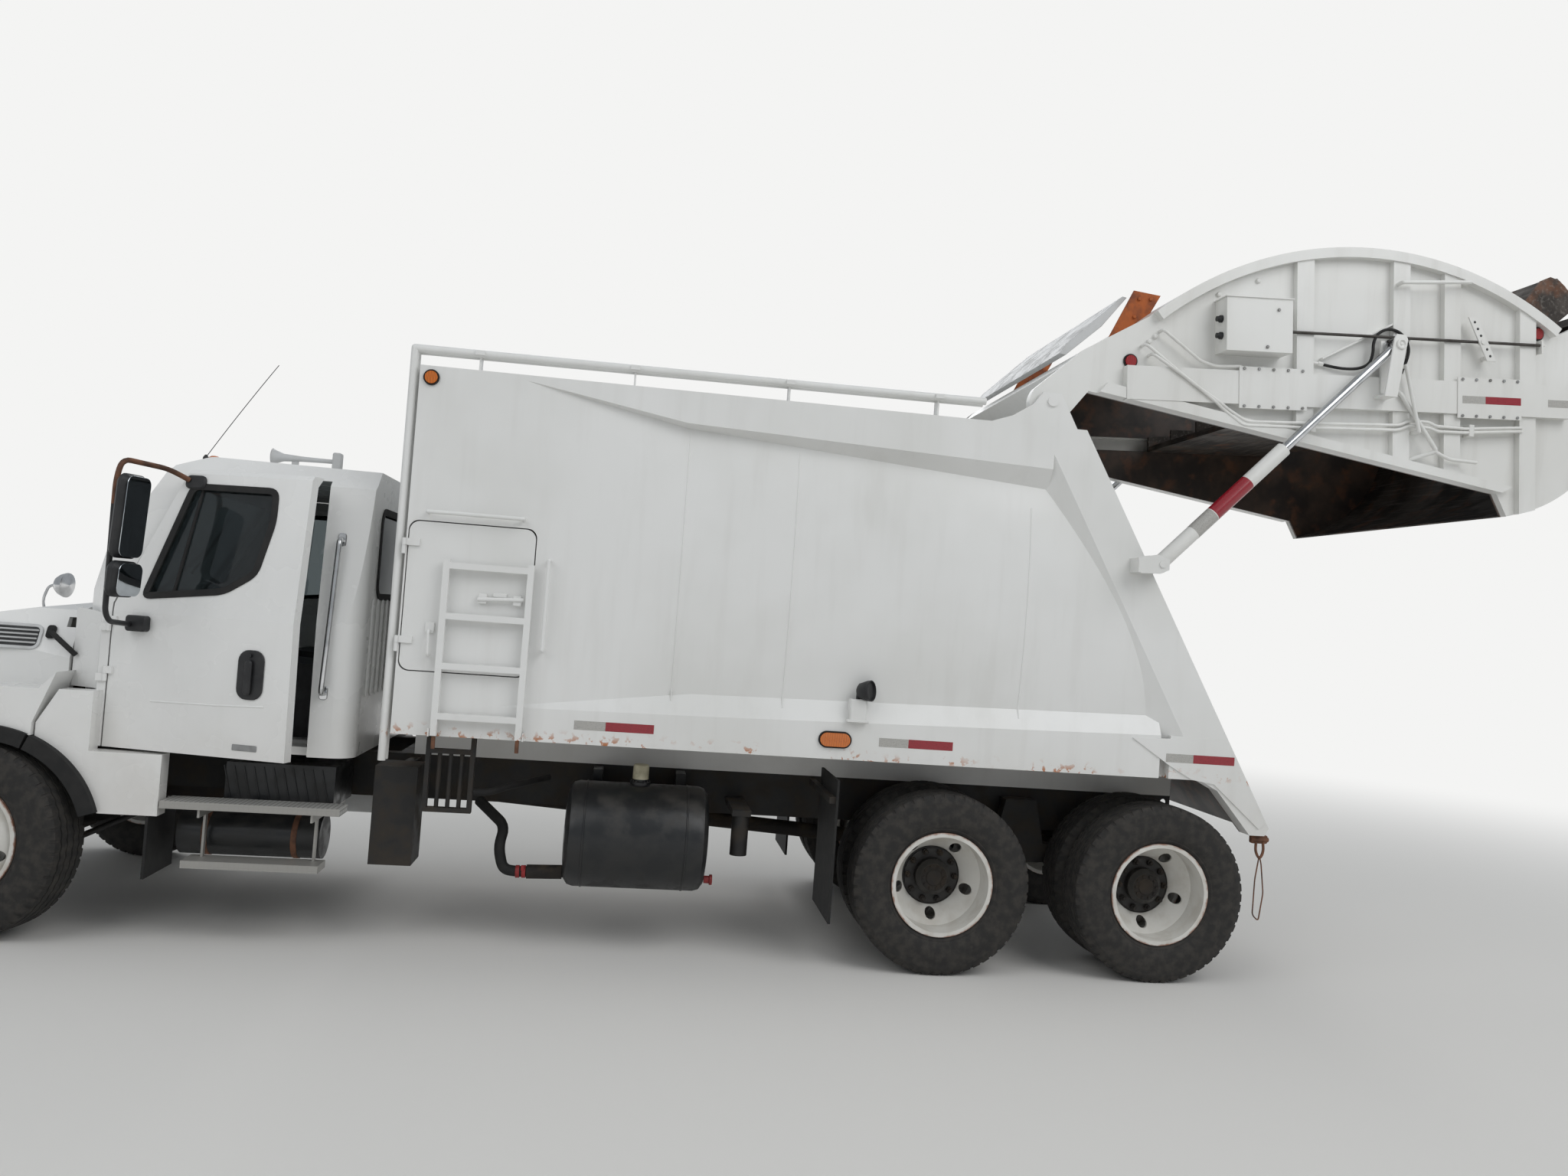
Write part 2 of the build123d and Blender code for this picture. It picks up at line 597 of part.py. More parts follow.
TOW_PLATE = 14.0
TOW_RADIUS = 18.0
TOW_X = BUMPER_FRONT_X - 42.0
TOW_Z = BUMPER_TOP_Z + 28.0
PLATE_SPACING = (177.8, 120.65)
PLATE_HOLE_RADIUS = 3.5
with BuildPart() as front_bumper:
    bumper_low = BUMPER_TOP_Z - BUMPER_HEIGHT
    with BuildSketch(Plane.XY.offset(bumper_low)):
        with BuildLine():
            Polyline(
                (BUMPER_FRONT_X, -820), (BUMPER_FRONT_X, 820), (BUMPER_FRONT_X - 190, 1180),
                (BUMPER_FRONT_X - 215, 1165), (BUMPER_FRONT_X - 30, 800), (BUMPER_FRONT_X - 30, -800),
                (BUMPER_FRONT_X - 215, -1165), (BUMPER_FRONT_X - 190, -1180), close=True,
            )
        make_face()
    extrude(amount=BUMPER_HEIGHT)
    for side in SIDES.values():
        y_low, y_high = sorted((side * (RAIL_OUTER_Y + SEAT_GAP), side * (RAIL_OUTER_Y + TOW_PLATE)))
        arm_top = BUMPER_TOP_Z + 22
        eye_top = TOW_Z + 2 * TOW_RADIUS
        add(side_plate(
            [
                (RAIL_FRONT_X - 160, bumper_low + 60), (BUMPER_FRONT_X - 28, bumper_low + 60),
                (BUMPER_FRONT_X - 28, BUMPER_TOP_Z - 1), (BUMPER_FRONT_X - 10, BUMPER_TOP_Z - 1),
                (BUMPER_FRONT_X - 10, eye_top), (BUMPER_FRONT_X - 70, eye_top),
                (BUMPER_FRONT_X - 70, arm_top),
                (RAIL_FRONT_X - 160, arm_top),
            ],
            y_low, y_high,
        ))
        add(side_plate([
            (BONNET_HINGE_X - 46, arm_top - 1), (BONNET_HINGE_X - 15, arm_top - 1),
            (BONNET_HINGE_X - 15, BONNET_HINGE_Z - 22), (BONNET_HINGE_X, BONNET_HINGE_Z - BONNET_BOSS_RADIUS),
            (BONNET_HINGE_X, BONNET_HINGE_Z + BONNET_BOSS_RADIUS),
            (BONNET_HINGE_X - 46, BONNET_HINGE_Z + BONNET_BOSS_RADIUS),
        ], y_low, y_high))
        add(cylinder_y(BONNET_HINGE_X, BONNET_HINGE_Z, BONNET_BOSS_RADIUS, y_low, y_high))
        y_low, y_high = sorted((side * (RAIL_OUTER_Y + 1), side * (RAIL_OUTER_Y + TOW_PLATE + 28)))
        add(cylinder_y(BONNET_HINGE_X, BONNET_HINGE_Z, BONNET_PIN_RADIUS, y_low, y_high))
        y_low, y_high = sorted((side * (RAIL_OUTER_Y + SEAT_GAP), side * (RAIL_OUTER_Y + TOW_PLATE)))
        add(cylinder_y(TOW_X, TOW_Z, TOW_RADIUS, y_low - 1, y_high + 1), mode=Mode.SUBTRACT)
    with BuildSketch(cross_plane(BUMPER_FRONT_X - 40)):
        with Locations((0, BUMPER_TOP_Z - BUMPER_HEIGHT / 2)):
            with GridLocations(PLATE_SPACING[0], PLATE_SPACING[1], 2, 2):
                Circle(PLATE_HOLE_RADIUS)
    extrude(amount=60, mode=Mode.SUBTRACT)
keep("front_bumper", front_bumper.part)

# Body


def post_line_x(z):
    """Outer edge of the slanted rear post at a height."""
    return POST_TOP_X - (BODY_TOP_Z - z) * tan(radians(POST_ANGLE))


def ruled_beam(stations):
    """Loft straight-sided cross-sections, given as (x, [(y, z), ...]), one after the other."""
    with BuildPart() as beam:
        for (x_a, outline_a), (x_b, outline_b) in zip(stations, stations[1:]):
            for x, outline in ((x_a, outline_a), (x_b, outline_b)):
                with BuildSketch(cross_plane(x)):
                    with BuildLine():
                        Polyline(*outline, close=True)
                    make_face()
            loft(ruled=True)
    return beam.part


SHEET_FRONT_X = AXLE_1_X + 2550.0
SHEET_KNEE_X = AXLE_1_X + 1410.0
SHEET_REAR_X = AXLE_1_X - 1250.0
RAIL_KNEE_X = AXLE_1_X + 1650.0
SHEET_LOW_Y = BODY_HALF_WIDTH - 60.0
SHEET_MID_Y = BODY_HALF_WIDTH - 14.0
SHEET_HIGH_Y = BODY_HALF_WIDTH - 75.0


def body_side():
    """Left wall of the body: barrelled sheet between sill beam, top rail and rear post."""
    inner = BODY_INNER_Y
    outer = BODY_HALF_WIDTH
    with BuildPart() as side_wall:
        add(side_plate(
            [
                (SHEET_FRONT_X, BODY_BOTTOM_Z), (SHEET_FRONT_X, BODY_TOP_Z), (POST_TOP_X, BODY_TOP_Z),
                (post_line_x(BODY_BOTTOM_Z), BODY_BOTTOM_Z),
            ],
            inner, SHEET_HIGH_Y - 5,
        ))
        add(block((SHEET_FRONT_X - 1, inner, BODY_BOTTOM_Z), (BODY_FRONT_X, outer, BODY_TOP_Z)))
        # the sheet itself, flush at the front and drawn in at its top and bottom further back
        sections = (
            (SHEET_FRONT_X, 1390, BODY_TOP_Z - 20, outer, outer, outer),
            (RAIL_KNEE_X, 1500, 3025, SHEET_LOW_Y, SHEET_MID_Y, SHEET_HIGH_Y),
            (SHEET_REAR_X, 1570, 2800, SHEET_LOW_Y, SHEET_MID_Y, SHEET_HIGH_Y),
        )
        for section_a, section_b in zip(sections, sections[1:]):
            for x, low_z, high_z, low_y, mid_y, high_y in (section_a, section_b):
                bulge = mid_y + (0.5 if mid_y == low_y else 0)
                with BuildSketch(cross_plane(x)):
                    with BuildLine():
                        ThreePointArc((low_y, low_z), (bulge, (low_z + high_z) / 2), (high_y, high_z))
                        Polyline((high_y, high_z), (inner + 5, high_z), (inner + 5, low_z), (low_y, low_z))
                    make_face()
            loft(ruled=True)
        # sill beam: upright face and a sloping ledge that grows towards the rear
        add(ruled_beam([
            (SHEET_FRONT_X, [(inner, 1207), (outer, 1207), (outer, 1385), (outer - 1, 1391), (inner, 1391)]),
            (
                SHEET_KNEE_X,
                [(inner, 1207), (outer, 1207), (outer, 1402), (SHEET_LOW_Y - 4, 1532), (inner, 1532)],
            ),
            (
                SHEET_REAR_X,
                [(inner, 1207), (outer, 1207), (outer, 1458), (SHEET_LOW_Y - 8, 1580), (inner, 1580)],
            ),
        ]))
        # top rail: upright face over a bevel that widens towards the rear
        add(ruled_beam([
            (SHEET_FRONT_X, [(inner, 3210), (outer, 3210), (outer, 3180), (outer - 1, 3176), (inner, 3176)]),
            (
                RAIL_KNEE_X,
                [(inner, 3210), (outer, 3210), (outer, 3030), (SHEET_HIGH_Y - 4, 3010), (inner, 3010)],
            ),
            (
                POST_TOP_X + 190,
                [(inner, 3210), (outer, 3210), (outer, 2962), (SHEET_HIGH_Y - 8, 2835), (inner, 2835)],
            ),
        ]))
        # rear post: bevelled on its front edge
        face = [
            (POST_TOP_X + POST_WIDTH, BODY_TOP_Z), (POST_TOP_X, BODY_TOP_Z),
            (post_line_x(1400), 1400), (post_line_x(1400) + POST_WIDTH, 1400),
        ]
        base = [
            (POST_TOP_X + POST_WIDTH + 130, BODY_TOP_Z), (POST_TOP_X, BODY_TOP_Z),
            (post_line_x(1400), 1400), (post_line_x(1400) + POST_WIDTH + 230, 1400),
        ]
        for outline, y in ((base, SHEET_HIGH_Y - 12), (face, outer)):
            with BuildSketch(side_plane(y)):
                with BuildLine():
                    Polyline(*outline, close=True)
                make_face()
        loft(ruled=True)
        add(side_plate(base, inner, SHEET_HIGH_Y - 11))
        # lower leg of the post, down to the tailgate's latch
        add(side_plate(
            [
                (SHEET_REAR_X - 60, BODY_BOTTOM_Z), (AXLE_1_X - 1510, BODY_BOTTOM_Z), (AXLE_1_X - 1620, 1152),
                (AXLE_1_X - 1840, 900), (AXLE_1_X - 1935, 900), (post_line_x(POST_FOOT_Z), POST_FOOT_Z),
                (post_line_x(1460), 1460), (SHEET_REAR_X - 60, 1460),
            ],
            inner, outer,
        ))
        # fishplate over the joint of sill and leg
        add(side_plate(
            [
                (AXLE_1_X - 1073, 1435), (AXLE_1_X - 1640, 1453), (AXLE_1_X - 1925, 975),
                (AXLE_1_X - 1891, 941),
                (AXLE_1_X - 1594, 1189), (AXLE_1_X - 1453, 1209), (AXLE_1_X - 1309, 1285),
            ],
            outer - 1, outer + 8,
        ))
        # nothing stands behind the post's slanted rear face
        above = BODY_TOP_Z + 40
        add(side_plate(
            [
                (post_line_x(POST_FOOT_Z), POST_FOOT_Z), (post_line_x(above), above),
                (post_line_x(POST_FOOT_Z), above),
            ],
            inner - 5, outer + 12,
        ), mode=Mode.SUBTRACT)
    return side_wall.part


HATCH_FRONT_X = AXLE_1_X + 3105.0
HATCH_REAR_X = AXLE_1_X + 2433.0
HATCH_LOW_Z = 1555.0
HATCH_HIGH_Z = 2362.0
HATCH_CORNER = 55.0
HATCH_THICKNESS = 38.0
HATCH_HINGE_X = BODY_FRONT_X + 6.0
HATCH_HINGE_Y = BODY_HALF_WIDTH + 14.0
HATCH_HINGES = (1697.0, 2225.0)
LADDER_FRONT_X = AXLE_1_X + 2905.0
LADDER_REAR_X = AXLE_1_X + 2424.0
LADDER_TUBE = 34.0
LADDER_Y = BODY_HALF_WIDTH + 42.0
LADDER_PIVOT_Z = 1232.0
LADDER_TOP_Z = 2167.0
LADDER_RUNGS = (1320.0, 1590.0, 1860.0, 2133.0)
LADDER_PIN_RADIUS = 8.0
EAR_LOW_Y = BODY_HALF_WIDTH - 50.0
EAR_HIGH_Y = BODY_HALF_WIDTH - 15.0


def hatch_outline(inset, y, depth):
    """Round-cornered panel of the side hatch, smaller by an inset all round."""
    width = HATCH_FRONT_X - HATCH_REAR_X
    height = HATCH_HIGH_Z - HATCH_LOW_Z
    with BuildPart() as panel:
        with BuildSketch(side_plane(y)):
            with Locations(((HATCH_FRONT_X + HATCH_REAR_X) / 2, (HATCH_HIGH_Z + HATCH_LOW_Z) / 2)):
                RectangleRounded(width - 2 * inset, height - 2 * inset, HATCH_CORNER)
        extrude(amount=depth)
    return panel.part


def ladder_bracket(x):
    """Sill bracket with the pin that a ladder rail turns on."""
    outboard = 1 if x > (LADDER_FRONT_X + LADDER_REAR_X) / 2 else -1
    near = x + outboard * (LADDER_TUBE / 2 + 4)
    far = near + outboard * 8
    with BuildPart() as bracket:
        low, high = sorted((near, far))
        add(
            block((low, BODY_HALF_WIDTH - 1, LADDER_PIVOT_Z - 22), (high, LADDER_Y + 20, LADDER_PIVOT_Z + 22))
        )
        add(
            rod_between(
                (far, LADDER_Y, LADDER_PIVOT_Z),
                (x - outboard * (LADDER_TUBE / 2), LADDER_Y, LADDER_PIVOT_Z),
                LADDER_PIN_RADIUS,
            )
        )
    return bracket.part


def hinge_ear():
    """Ear plate on the roof corner with the tailgate's hinge pin."""
    with BuildPart() as ear:
        add(side_plate(
            [
                (AXLE_1_X - 90, BODY_TOP_Z - 30), (AXLE_1_X - 90, BODY_TOP_Z), (AXLE_1_X - 225, 3258),
                (AXLE_1_X - 343, 3335), (AXLE_1_X - 400, 3412), (AXLE_1_X - 510, 3412),
                (AXLE_1_X - 620, BODY_TOP_Z), (AXLE_1_X - 620, BODY_TOP_Z - 30),
            ],
            EAR_LOW_Y, EAR_HIGH_Y,
        ))
        add(cylinder_y(HINGE_X, HINGE_Z, HINGE_PIN_RADIUS, TAIL_INNER_Y - 20, EAR_HIGH_Y + 10))
    return ear.part


def lift_bracket():
    """Fork on the rear post that carries the lower pin of a lift cylinder."""
    fork = LIFT_BARREL_RADIUS + 6
    outside = LIFT_Y + fork + 12
    with BuildPart() as bracket:
        for y_low, y_high in ((BODY_HALF_WIDTH - 1, LIFT_Y - fork), (LIFT_Y + fork, outside)):
            add(side_plate(
                [
                    (LIFT_LOWER_X + 150, LIFT_LOWER_Z + 30), (LIFT_LOWER_X + 30, LIFT_LOWER_Z + 55),
                    (LIFT_LOWER_X - 42, LIFT_LOWER_Z + 30), (LIFT_LOWER_X - 42, LIFT_LOWER_Z - 30),
                    (LIFT_LOWER_X + 10, LIFT_LOWER_Z - 55), (LIFT_LOWER_X + 130, LIFT_LOWER_Z - 60),
                ],
                y_low, y_high,
            ))
        add(block((LIFT_LOWER_X + 95, BODY_HALF_WIDTH - 1, LIFT_LOWER_Z - 55),
                  (LIFT_LOWER_X + 145, outside, LIFT_LOWER_Z + 28)))
        add(cylinder_y(LIFT_LOWER_X, LIFT_LOWER_Z, LIFT_PIN_RADIUS, BODY_HALF_WIDTH - 1, outside + 6))
    return bracket.part


GRAB_RADIUS = 11.0
GRAB_Y = BODY_HALF_WIDTH + 50
WALL_MIDDLE_Y = BODY_HALF_WIDTH - 40

with BuildPart() as body_side_left:
    add(body_side())
    add(hinge_ear())
    add(hatch_outline(-PANEL_GAP, BODY_HALF_WIDTH + 20, 200), mode=Mode.SUBTRACT)
    for rail_x in (LADDER_FRONT_X - LADDER_TUBE / 2, LADDER_REAR_X + LADDER_TUBE / 2):
        add(ladder_bracket(rail_x))
    for hinge_z in HATCH_HINGES:
        add(
            rod_between(
                (HATCH_HINGE_X, HATCH_HINGE_Y, hinge_z - 45), (HATCH_HINGE_X, HATCH_HINGE_Y, hinge_z), 11,
            )
        )
        add(
            block(
                (BODY_FRONT_X - 1, BODY_HALF_WIDTH - 30, hinge_z - 45),
                (HATCH_HINGE_X + 5, HATCH_HINGE_Y, hinge_z),
            )
        )
        add(
            rod_between(
                (HATCH_HINGE_X, HATCH_HINGE_Y, hinge_z - 45), (HATCH_HINGE_X, HATCH_HINGE_Y, hinge_z + 40),
                5,
            )
        )
    add(lift_bracket())
    # grab bars over the hatch and behind it
    add(bent_bar([(AXLE_1_X + 3010, WALL_MIDDLE_Y, 2414), (AXLE_1_X + 3010, GRAB_Y, 2414),
                  (AXLE_1_X + 2505, GRAB_Y, 2414), (AXLE_1_X + 2505, WALL_MIDDLE_Y, 2414)], GRAB_RADIUS))
    add(bent_bar([(AXLE_1_X + 2350, WALL_MIDDLE_Y, 2199), (AXLE_1_X + 2350, GRAB_Y, 2199),
                  (AXLE_1_X + 2350, GRAB_Y, 1709), (AXLE_1_X + 2350, WALL_MIDDLE_Y, 1709)], GRAB_RADIUS))

# Marker lamps on the body's sides
MARKER_RADIUS = 34.0
MARKER_DEPTH = 18.0
OVAL_LAMP = (172.0, 77.0)
with BuildPart() as marker_lamps:
    for side in SIDES.values():
        y_low, y_high = sorted((side * (BODY_HALF_WIDTH + SEAT_GAP), side * (BODY_HALF_WIDTH + MARKER_DEPTH)))
        add(cylinder_y(BODY_FRONT_X - 64, BODY_TOP_Z - 65, MARKER_RADIUS, y_low, y_high))
        with BuildSketch(side_plane(y_high)):
            with Locations((AXLE_1_X + 692, BODY_BOTTOM_Z + 111)):
                SlotOverall(*OVAL_LAMP)
        extrude(amount=y_high - y_low)
keep("marker_lamps", marker_lamps.part)

with BuildPart() as right_wall:
    add(body_side())
    add(hinge_ear())
    add(lift_bracket())
with BuildPart() as body_sides:
    add(body_side_left.part)
    add(mirror(right_wall.part, about=Plane.XZ))
keep("body_sides", body_sides.part)

# Floor with its long sills, roof and front wall
floor_rear_x = post_line_x(BODY_BOTTOM_Z + FLOOR_THICKNESS)
with BuildPart() as body_floor:
    add(block((floor_rear_x, -BODY_INNER_Y, BODY_BOTTOM_Z),
              (BODY_FRONT_X, BODY_INNER_Y, BODY_BOTTOM_Z + FLOOR_THICKNESS)))
    for side in SIDES.values():
        y_low, y_high = sorted((side * (RAIL_OUTER_Y - SILL_WIDTH), side * RAIL_OUTER_Y))
        add(block((RAIL_REAR_X, y_low, RAIL_TOP_Z), (BODY_FRONT_X, y_high, BODY_BOTTOM_Z + 1)))
    # ramp that closes the body below its floor, down to the feet of the rear posts
    add(side_plate(
        [
            (post_line_x(POST_FOOT_Z - 40), POST_FOOT_Z - 40),
            (floor_rear_x, BODY_BOTTOM_Z + FLOOR_THICKNESS),
            (floor_rear_x + 30, BODY_BOTTOM_Z), (post_line_x(POST_FOOT_Z - 40) + 16, POST_FOOT_Z - 40),
        ],
        -BODY_INNER_Y, BODY_INNER_Y,
    ))
keep("body_floor", body_floor.part)

with BuildPart() as body_roof:
    add(block((POST_TOP_X, -BODY_INNER_Y, BODY_TOP_Z - ROOF_THICKNESS),
              (BODY_FRONT_X, BODY_INNER_Y, BODY_TOP_Z)))
keep("body_roof", body_roof.part)

with BuildPart() as body_front_wall:
    add(block((BODY_FRONT_X - FRONT_WALL, -BODY_INNER_Y, BODY_BOTTOM_Z + FLOOR_THICKNESS),
              (BODY_FRONT_X, BODY_INNER_Y, BODY_TOP_Z - ROOF_THICKNESS)))
keep("body_front_wall", body_front_wall.part)

# Ejector panel inside the body, sloped like the rear opening
EJECTOR_BOTTOM_X = AXLE_1_X + 2000.0
EJECTOR_THICKNESS = 60.0
ejector_low = BODY_BOTTOM_Z + FLOOR_THICKNESS + SEAT_GAP
ejector_high = BODY_TOP_Z - ROOF_THICKNESS - MOVING_GAP
ejector_run = (ejector_high - ejector_low) * tan(radians(POST_ANGLE)) * 0.85
with BuildPart() as ejector_panel:
    add(side_plate(
        [
            (EJECTOR_BOTTOM_X, ejector_low), (EJECTOR_BOTTOM_X + ejector_run, ejector_high),
            (EJECTOR_BOTTOM_X + ejector_run + EJECTOR_THICKNESS, ejector_high),
            (EJECTOR_BOTTOM_X + EJECTOR_THICKNESS, ejector_low + 90),
            (EJECTOR_BOTTOM_X + 700, ejector_low + 90), (EJECTOR_BOTTOM_X + 700, ejector_low),
        ],
        -(BODY_INNER_Y - MOVING_GAP), BODY_INNER_Y - MOVING_GAP,
    ))
keep("ejector_panel", ejector_panel.part)

# Side hatch on its front hinges
with BuildPart() as hatch:
    add(hatch_outline(0, BODY_HALF_WIDTH - 1, HATCH_THICKNESS))
    for hinge_z in HATCH_HINGES:
        add(block((HATCH_FRONT_X - 60, BODY_HALF_WIDTH - 2, hinge_z + 2),
                  (HATCH_FRONT_X - 10, HATCH_HINGE_Y - 3, hinge_z + 40)))
        add(block((HATCH_FRONT_X - 60, HATCH_HINGE_Y - 11, hinge_z + 2),
                  (HATCH_HINGE_X, HATCH_HINGE_Y - 3, hinge_z + 40)))
        with BuildSketch(Plane(origin=(HATCH_HINGE_X, HATCH_HINGE_Y, hinge_z + 2))):
            Circle(11)
        extrude(amount=38)
        with BuildSketch(Plane(origin=(HATCH_HINGE_X, HATCH_HINGE_Y, hinge_z + 2))):
            Circle(5 + PIN_CLEARANCE)
        extrude(amount=38, mode=Mode.SUBTRACT)
    # latch bar behind the ladder
    add(block((AXLE_1_X + 2478, BODY_HALF_WIDTH - 2, 1952), (AXLE_1_X + 2500, BODY_HALF_WIDTH + 14, 1982)))
keep("side_hatch", hatch.part)

# Folding ladder, standing against the body
with BuildPart() as ladder:
    rails = (LADDER_REAR_X + LADDER_TUBE / 2, LADDER_FRONT_X - LADDER_TUBE / 2)
    half = LADDER_TUBE / 2
    for rail_x in rails:
        add(
            block(
                (rail_x - half, LADDER_Y - half, LADDER_PIVOT_Z - 18),
                (rail_x + half, LADDER_Y + half, LADDER_TOP_Z),
            )
        )
    for rung_z in LADDER_RUNGS:
        add(block((rails[0], LADDER_Y - half, rung_z - half), (rails[1], LADDER_Y + half, rung_z + half)))
    add(rod_between((rails[0] - 60, LADDER_Y, LADDER_PIVOT_Z), (rails[1] + 60, LADDER_Y, LADDER_PIVOT_Z),
                    LADDER_PIN_RADIUS + PIN_CLEARANCE), mode=Mode.SUBTRACT)
keep("ladder", ladder.part)


# Hydraulic pipes along the roof edge, with a drop at the body's front corner
PIPE_RADIUS = 21.0
PIPE_Z = BODY_TOP_Z + 95.0
PIPE_YS = (BODY_HALF_WIDTH - 100.0, BODY_HALF_WIDTH - 35.0)
with BuildPart() as roof_pipes:
    for pipe_y in PIPE_YS:
        add(bent_bar([(BODY_FRONT_X + 40, pipe_y, BODY_BOTTOM_Z - 150), (BODY_FRONT_X + 40, pipe_y, PIPE_Z),
                      (AXLE_1_X - 60, pipe_y, PIPE_Z + 20)], PIPE_RADIUS))
    for station in (2810.0, 1965.0, 1090.0, 220.0):
        rise = PIPE_Z + (BODY_FRONT_X + 40 - (AXLE_1_X + station)) * 20 / (BODY_FRONT_X + 100 - AXLE_1_X)
        add(
            block(
                (AXLE_1_X + station - 25, PIPE_YS[0] - 40, rise - 12),
                (AXLE_1_X + station + 25, PIPE_YS[1] + 34, rise + 12),
            )
        )
        add(
            block(
                (AXLE_1_X + station - 5, PIPE_YS[0] - 10, BODY_TOP_Z + SEAT_GAP),
                (AXLE_1_X + station + 5, PIPE_YS[1], rise),
            )
        )
keep("roof_pipes", roof_pipes.part)

# Tailgate, drawn closed in the same axes


def raised(piece):
    """Swing a piece of the tailgate from closed to where it was left."""
    return piece.rotate(Axis((HINGE_X, 0, HINGE_Z), (0, 1, 0)), TAIL_RAISE)


def tail_line_x(z):
    """Front face of the closed tailgate at a height."""
    return post_line_x(z) - MATING_GAP


def hood_point(angle, radius):
    """Point of the rounded hood at an angle from the level, measured from straight ahead."""
    return (HOOD_CENTRE_X + radius * cos(radians(angle)), HOOD_CENTRE_Z + radius * sin(radians(angle)))


def trough_point(angle, radius):
    """Point on a circle about the packer's lowest pivot."""
    return (PACKER_PIVOT_X + radius * cos(radians(angle)), PACKER_PIVOT_Z + radius * sin(radians(angle)))


HOOD_FRONT_ANGLE = 100.7
HOOD_REAR_ANGLE = 176.6
MOUTH_ANGLE = 141.9
SILL_ANGLE = 201.6
TROUGH_FRONT_ANGLE = 301.6
CORNER_X = AXLE_1_X - 1946.0
CORNER_Z = 741.0
MATING_LOW_Z = 886.0
LOBE_RADIUS = 125.0
# corners of the hood's turned-down front edge, ahead of and above the start of its curve
HOOD_NECK = ((524.0, 154.0), (562.0, -28.0), (574.0, -28.0), (536.0, 174.0), (426.0, 161.0))
WALL_EDGE = 888.0


def tail_wall_plate(y_low, y_high):
    """A plate with the outline of a tailgate side wall, between two distances from the middle."""
    sill = trough_point(SILL_ANGLE, WALL_EDGE)
    tangent = trough_point(TROUGH_FRONT_ANGLE, WALL_EDGE)
    hood_start = hood_point(HOOD_FRONT_ANGLE, HOOD_RADIUS)
    hood_end = hood_point(HOOD_REAR_ANGLE, HOOD_RADIUS)
    hood_middle = hood_point((HOOD_FRONT_ANGLE + HOOD_REAR_ANGLE) / 2, HOOD_RADIUS)
    neck_z = HINGE_Z - LOBE_RADIUS
    lobe_top = (HINGE_X, HINGE_Z + LOBE_RADIUS)
    with BuildPart() as plate:
        with BuildSketch(side_plane(y_high)):
            with BuildLine():
                ThreePointArc(hood_start, hood_middle, hood_end)
                Line(hood_end, sill)
                ThreePointArc(sill, trough_point((SILL_ANGLE + TROUGH_FRONT_ANGLE) / 2, WALL_EDGE), tangent)
                Polyline(
                    tangent, (CORNER_X, CORNER_Z), (tail_line_x(MATING_LOW_Z), MATING_LOW_Z),
                    (tail_line_x(neck_z), neck_z), (HINGE_X, neck_z),
                )
                ThreePointArc((HINGE_X, neck_z), (HINGE_X + LOBE_RADIUS, HINGE_Z), lobe_top)
                Polyline(lobe_top, (hood_start[0] + HOOD_NECK[-1][0], hood_start[1] + HOOD_NECK[-1][1] + 2),
                         hood_start)
            make_face()
        extrude(amount=y_high - y_low)
    return plate.part


def channel_plane(y):
    """Plane along the packer channel: local x down the channel from the hinge, local y to its rear side."""
    slope = radians(CHANNEL_SLOPE)
    return Plane(origin=(HINGE_X, y, HINGE_Z), x_dir=(-cos(slope), 0, -sin(slope)), z_dir=(0, 1, 0))


def in_channel(x, z):
    """Distance along and across the channel of a point given in x and z."""
    slope = radians(CHANNEL_SLOPE)
    dx, dz = x - HINGE_X, z - HINGE_Z
    return (-dx * cos(slope) - dz * sin(slope), -dx * sin(slope) + dz * cos(slope))


pivot_along, pivot_across = in_channel(PACKER_PIVOT_X, PACKER_PIVOT_Z)
SHOE_HALF_HEIGHT = 45.0
SHOE_LENGTH = 200.0
SHOE_STATIONS = (pivot_along - 1050.0, pivot_along - 150.0)
slot_low = SHOE_STATIONS[0] - SHOE_LENGTH / 2 - PACKER_TRAVEL - MOVING_GAP
slot_high = SHOE_STATIONS[1] + SHOE_LENGTH / 2 + MOVING_GAP
RUNNER_GAP = 0.5
GROOVE_HALF_HEIGHT = SHOE_HALF_HEIGHT + RUNNER_GAP
SLOT_HALF_HEIGHT = SHOE_HALF_HEIGHT + 8.0
RIB_STATIONS = (1583.0, 2214.0, 2554.0, 3065.0)
RIB_WIDTH = 110.0


def channel_strip(along_low, along_high, across_low, across_high, y_low, y_high):
    """A straight strip laid along the packer channel."""
    with BuildPart() as strip:
        with BuildSketch(channel_plane(y_low)):
            with Locations(((along_low + along_high) / 2, (across_low + across_high) / 2)):
                Rectangle(along_high - along_low, across_high - across_low)
        extrude(amount=y_high - y_low)
    return strip.part


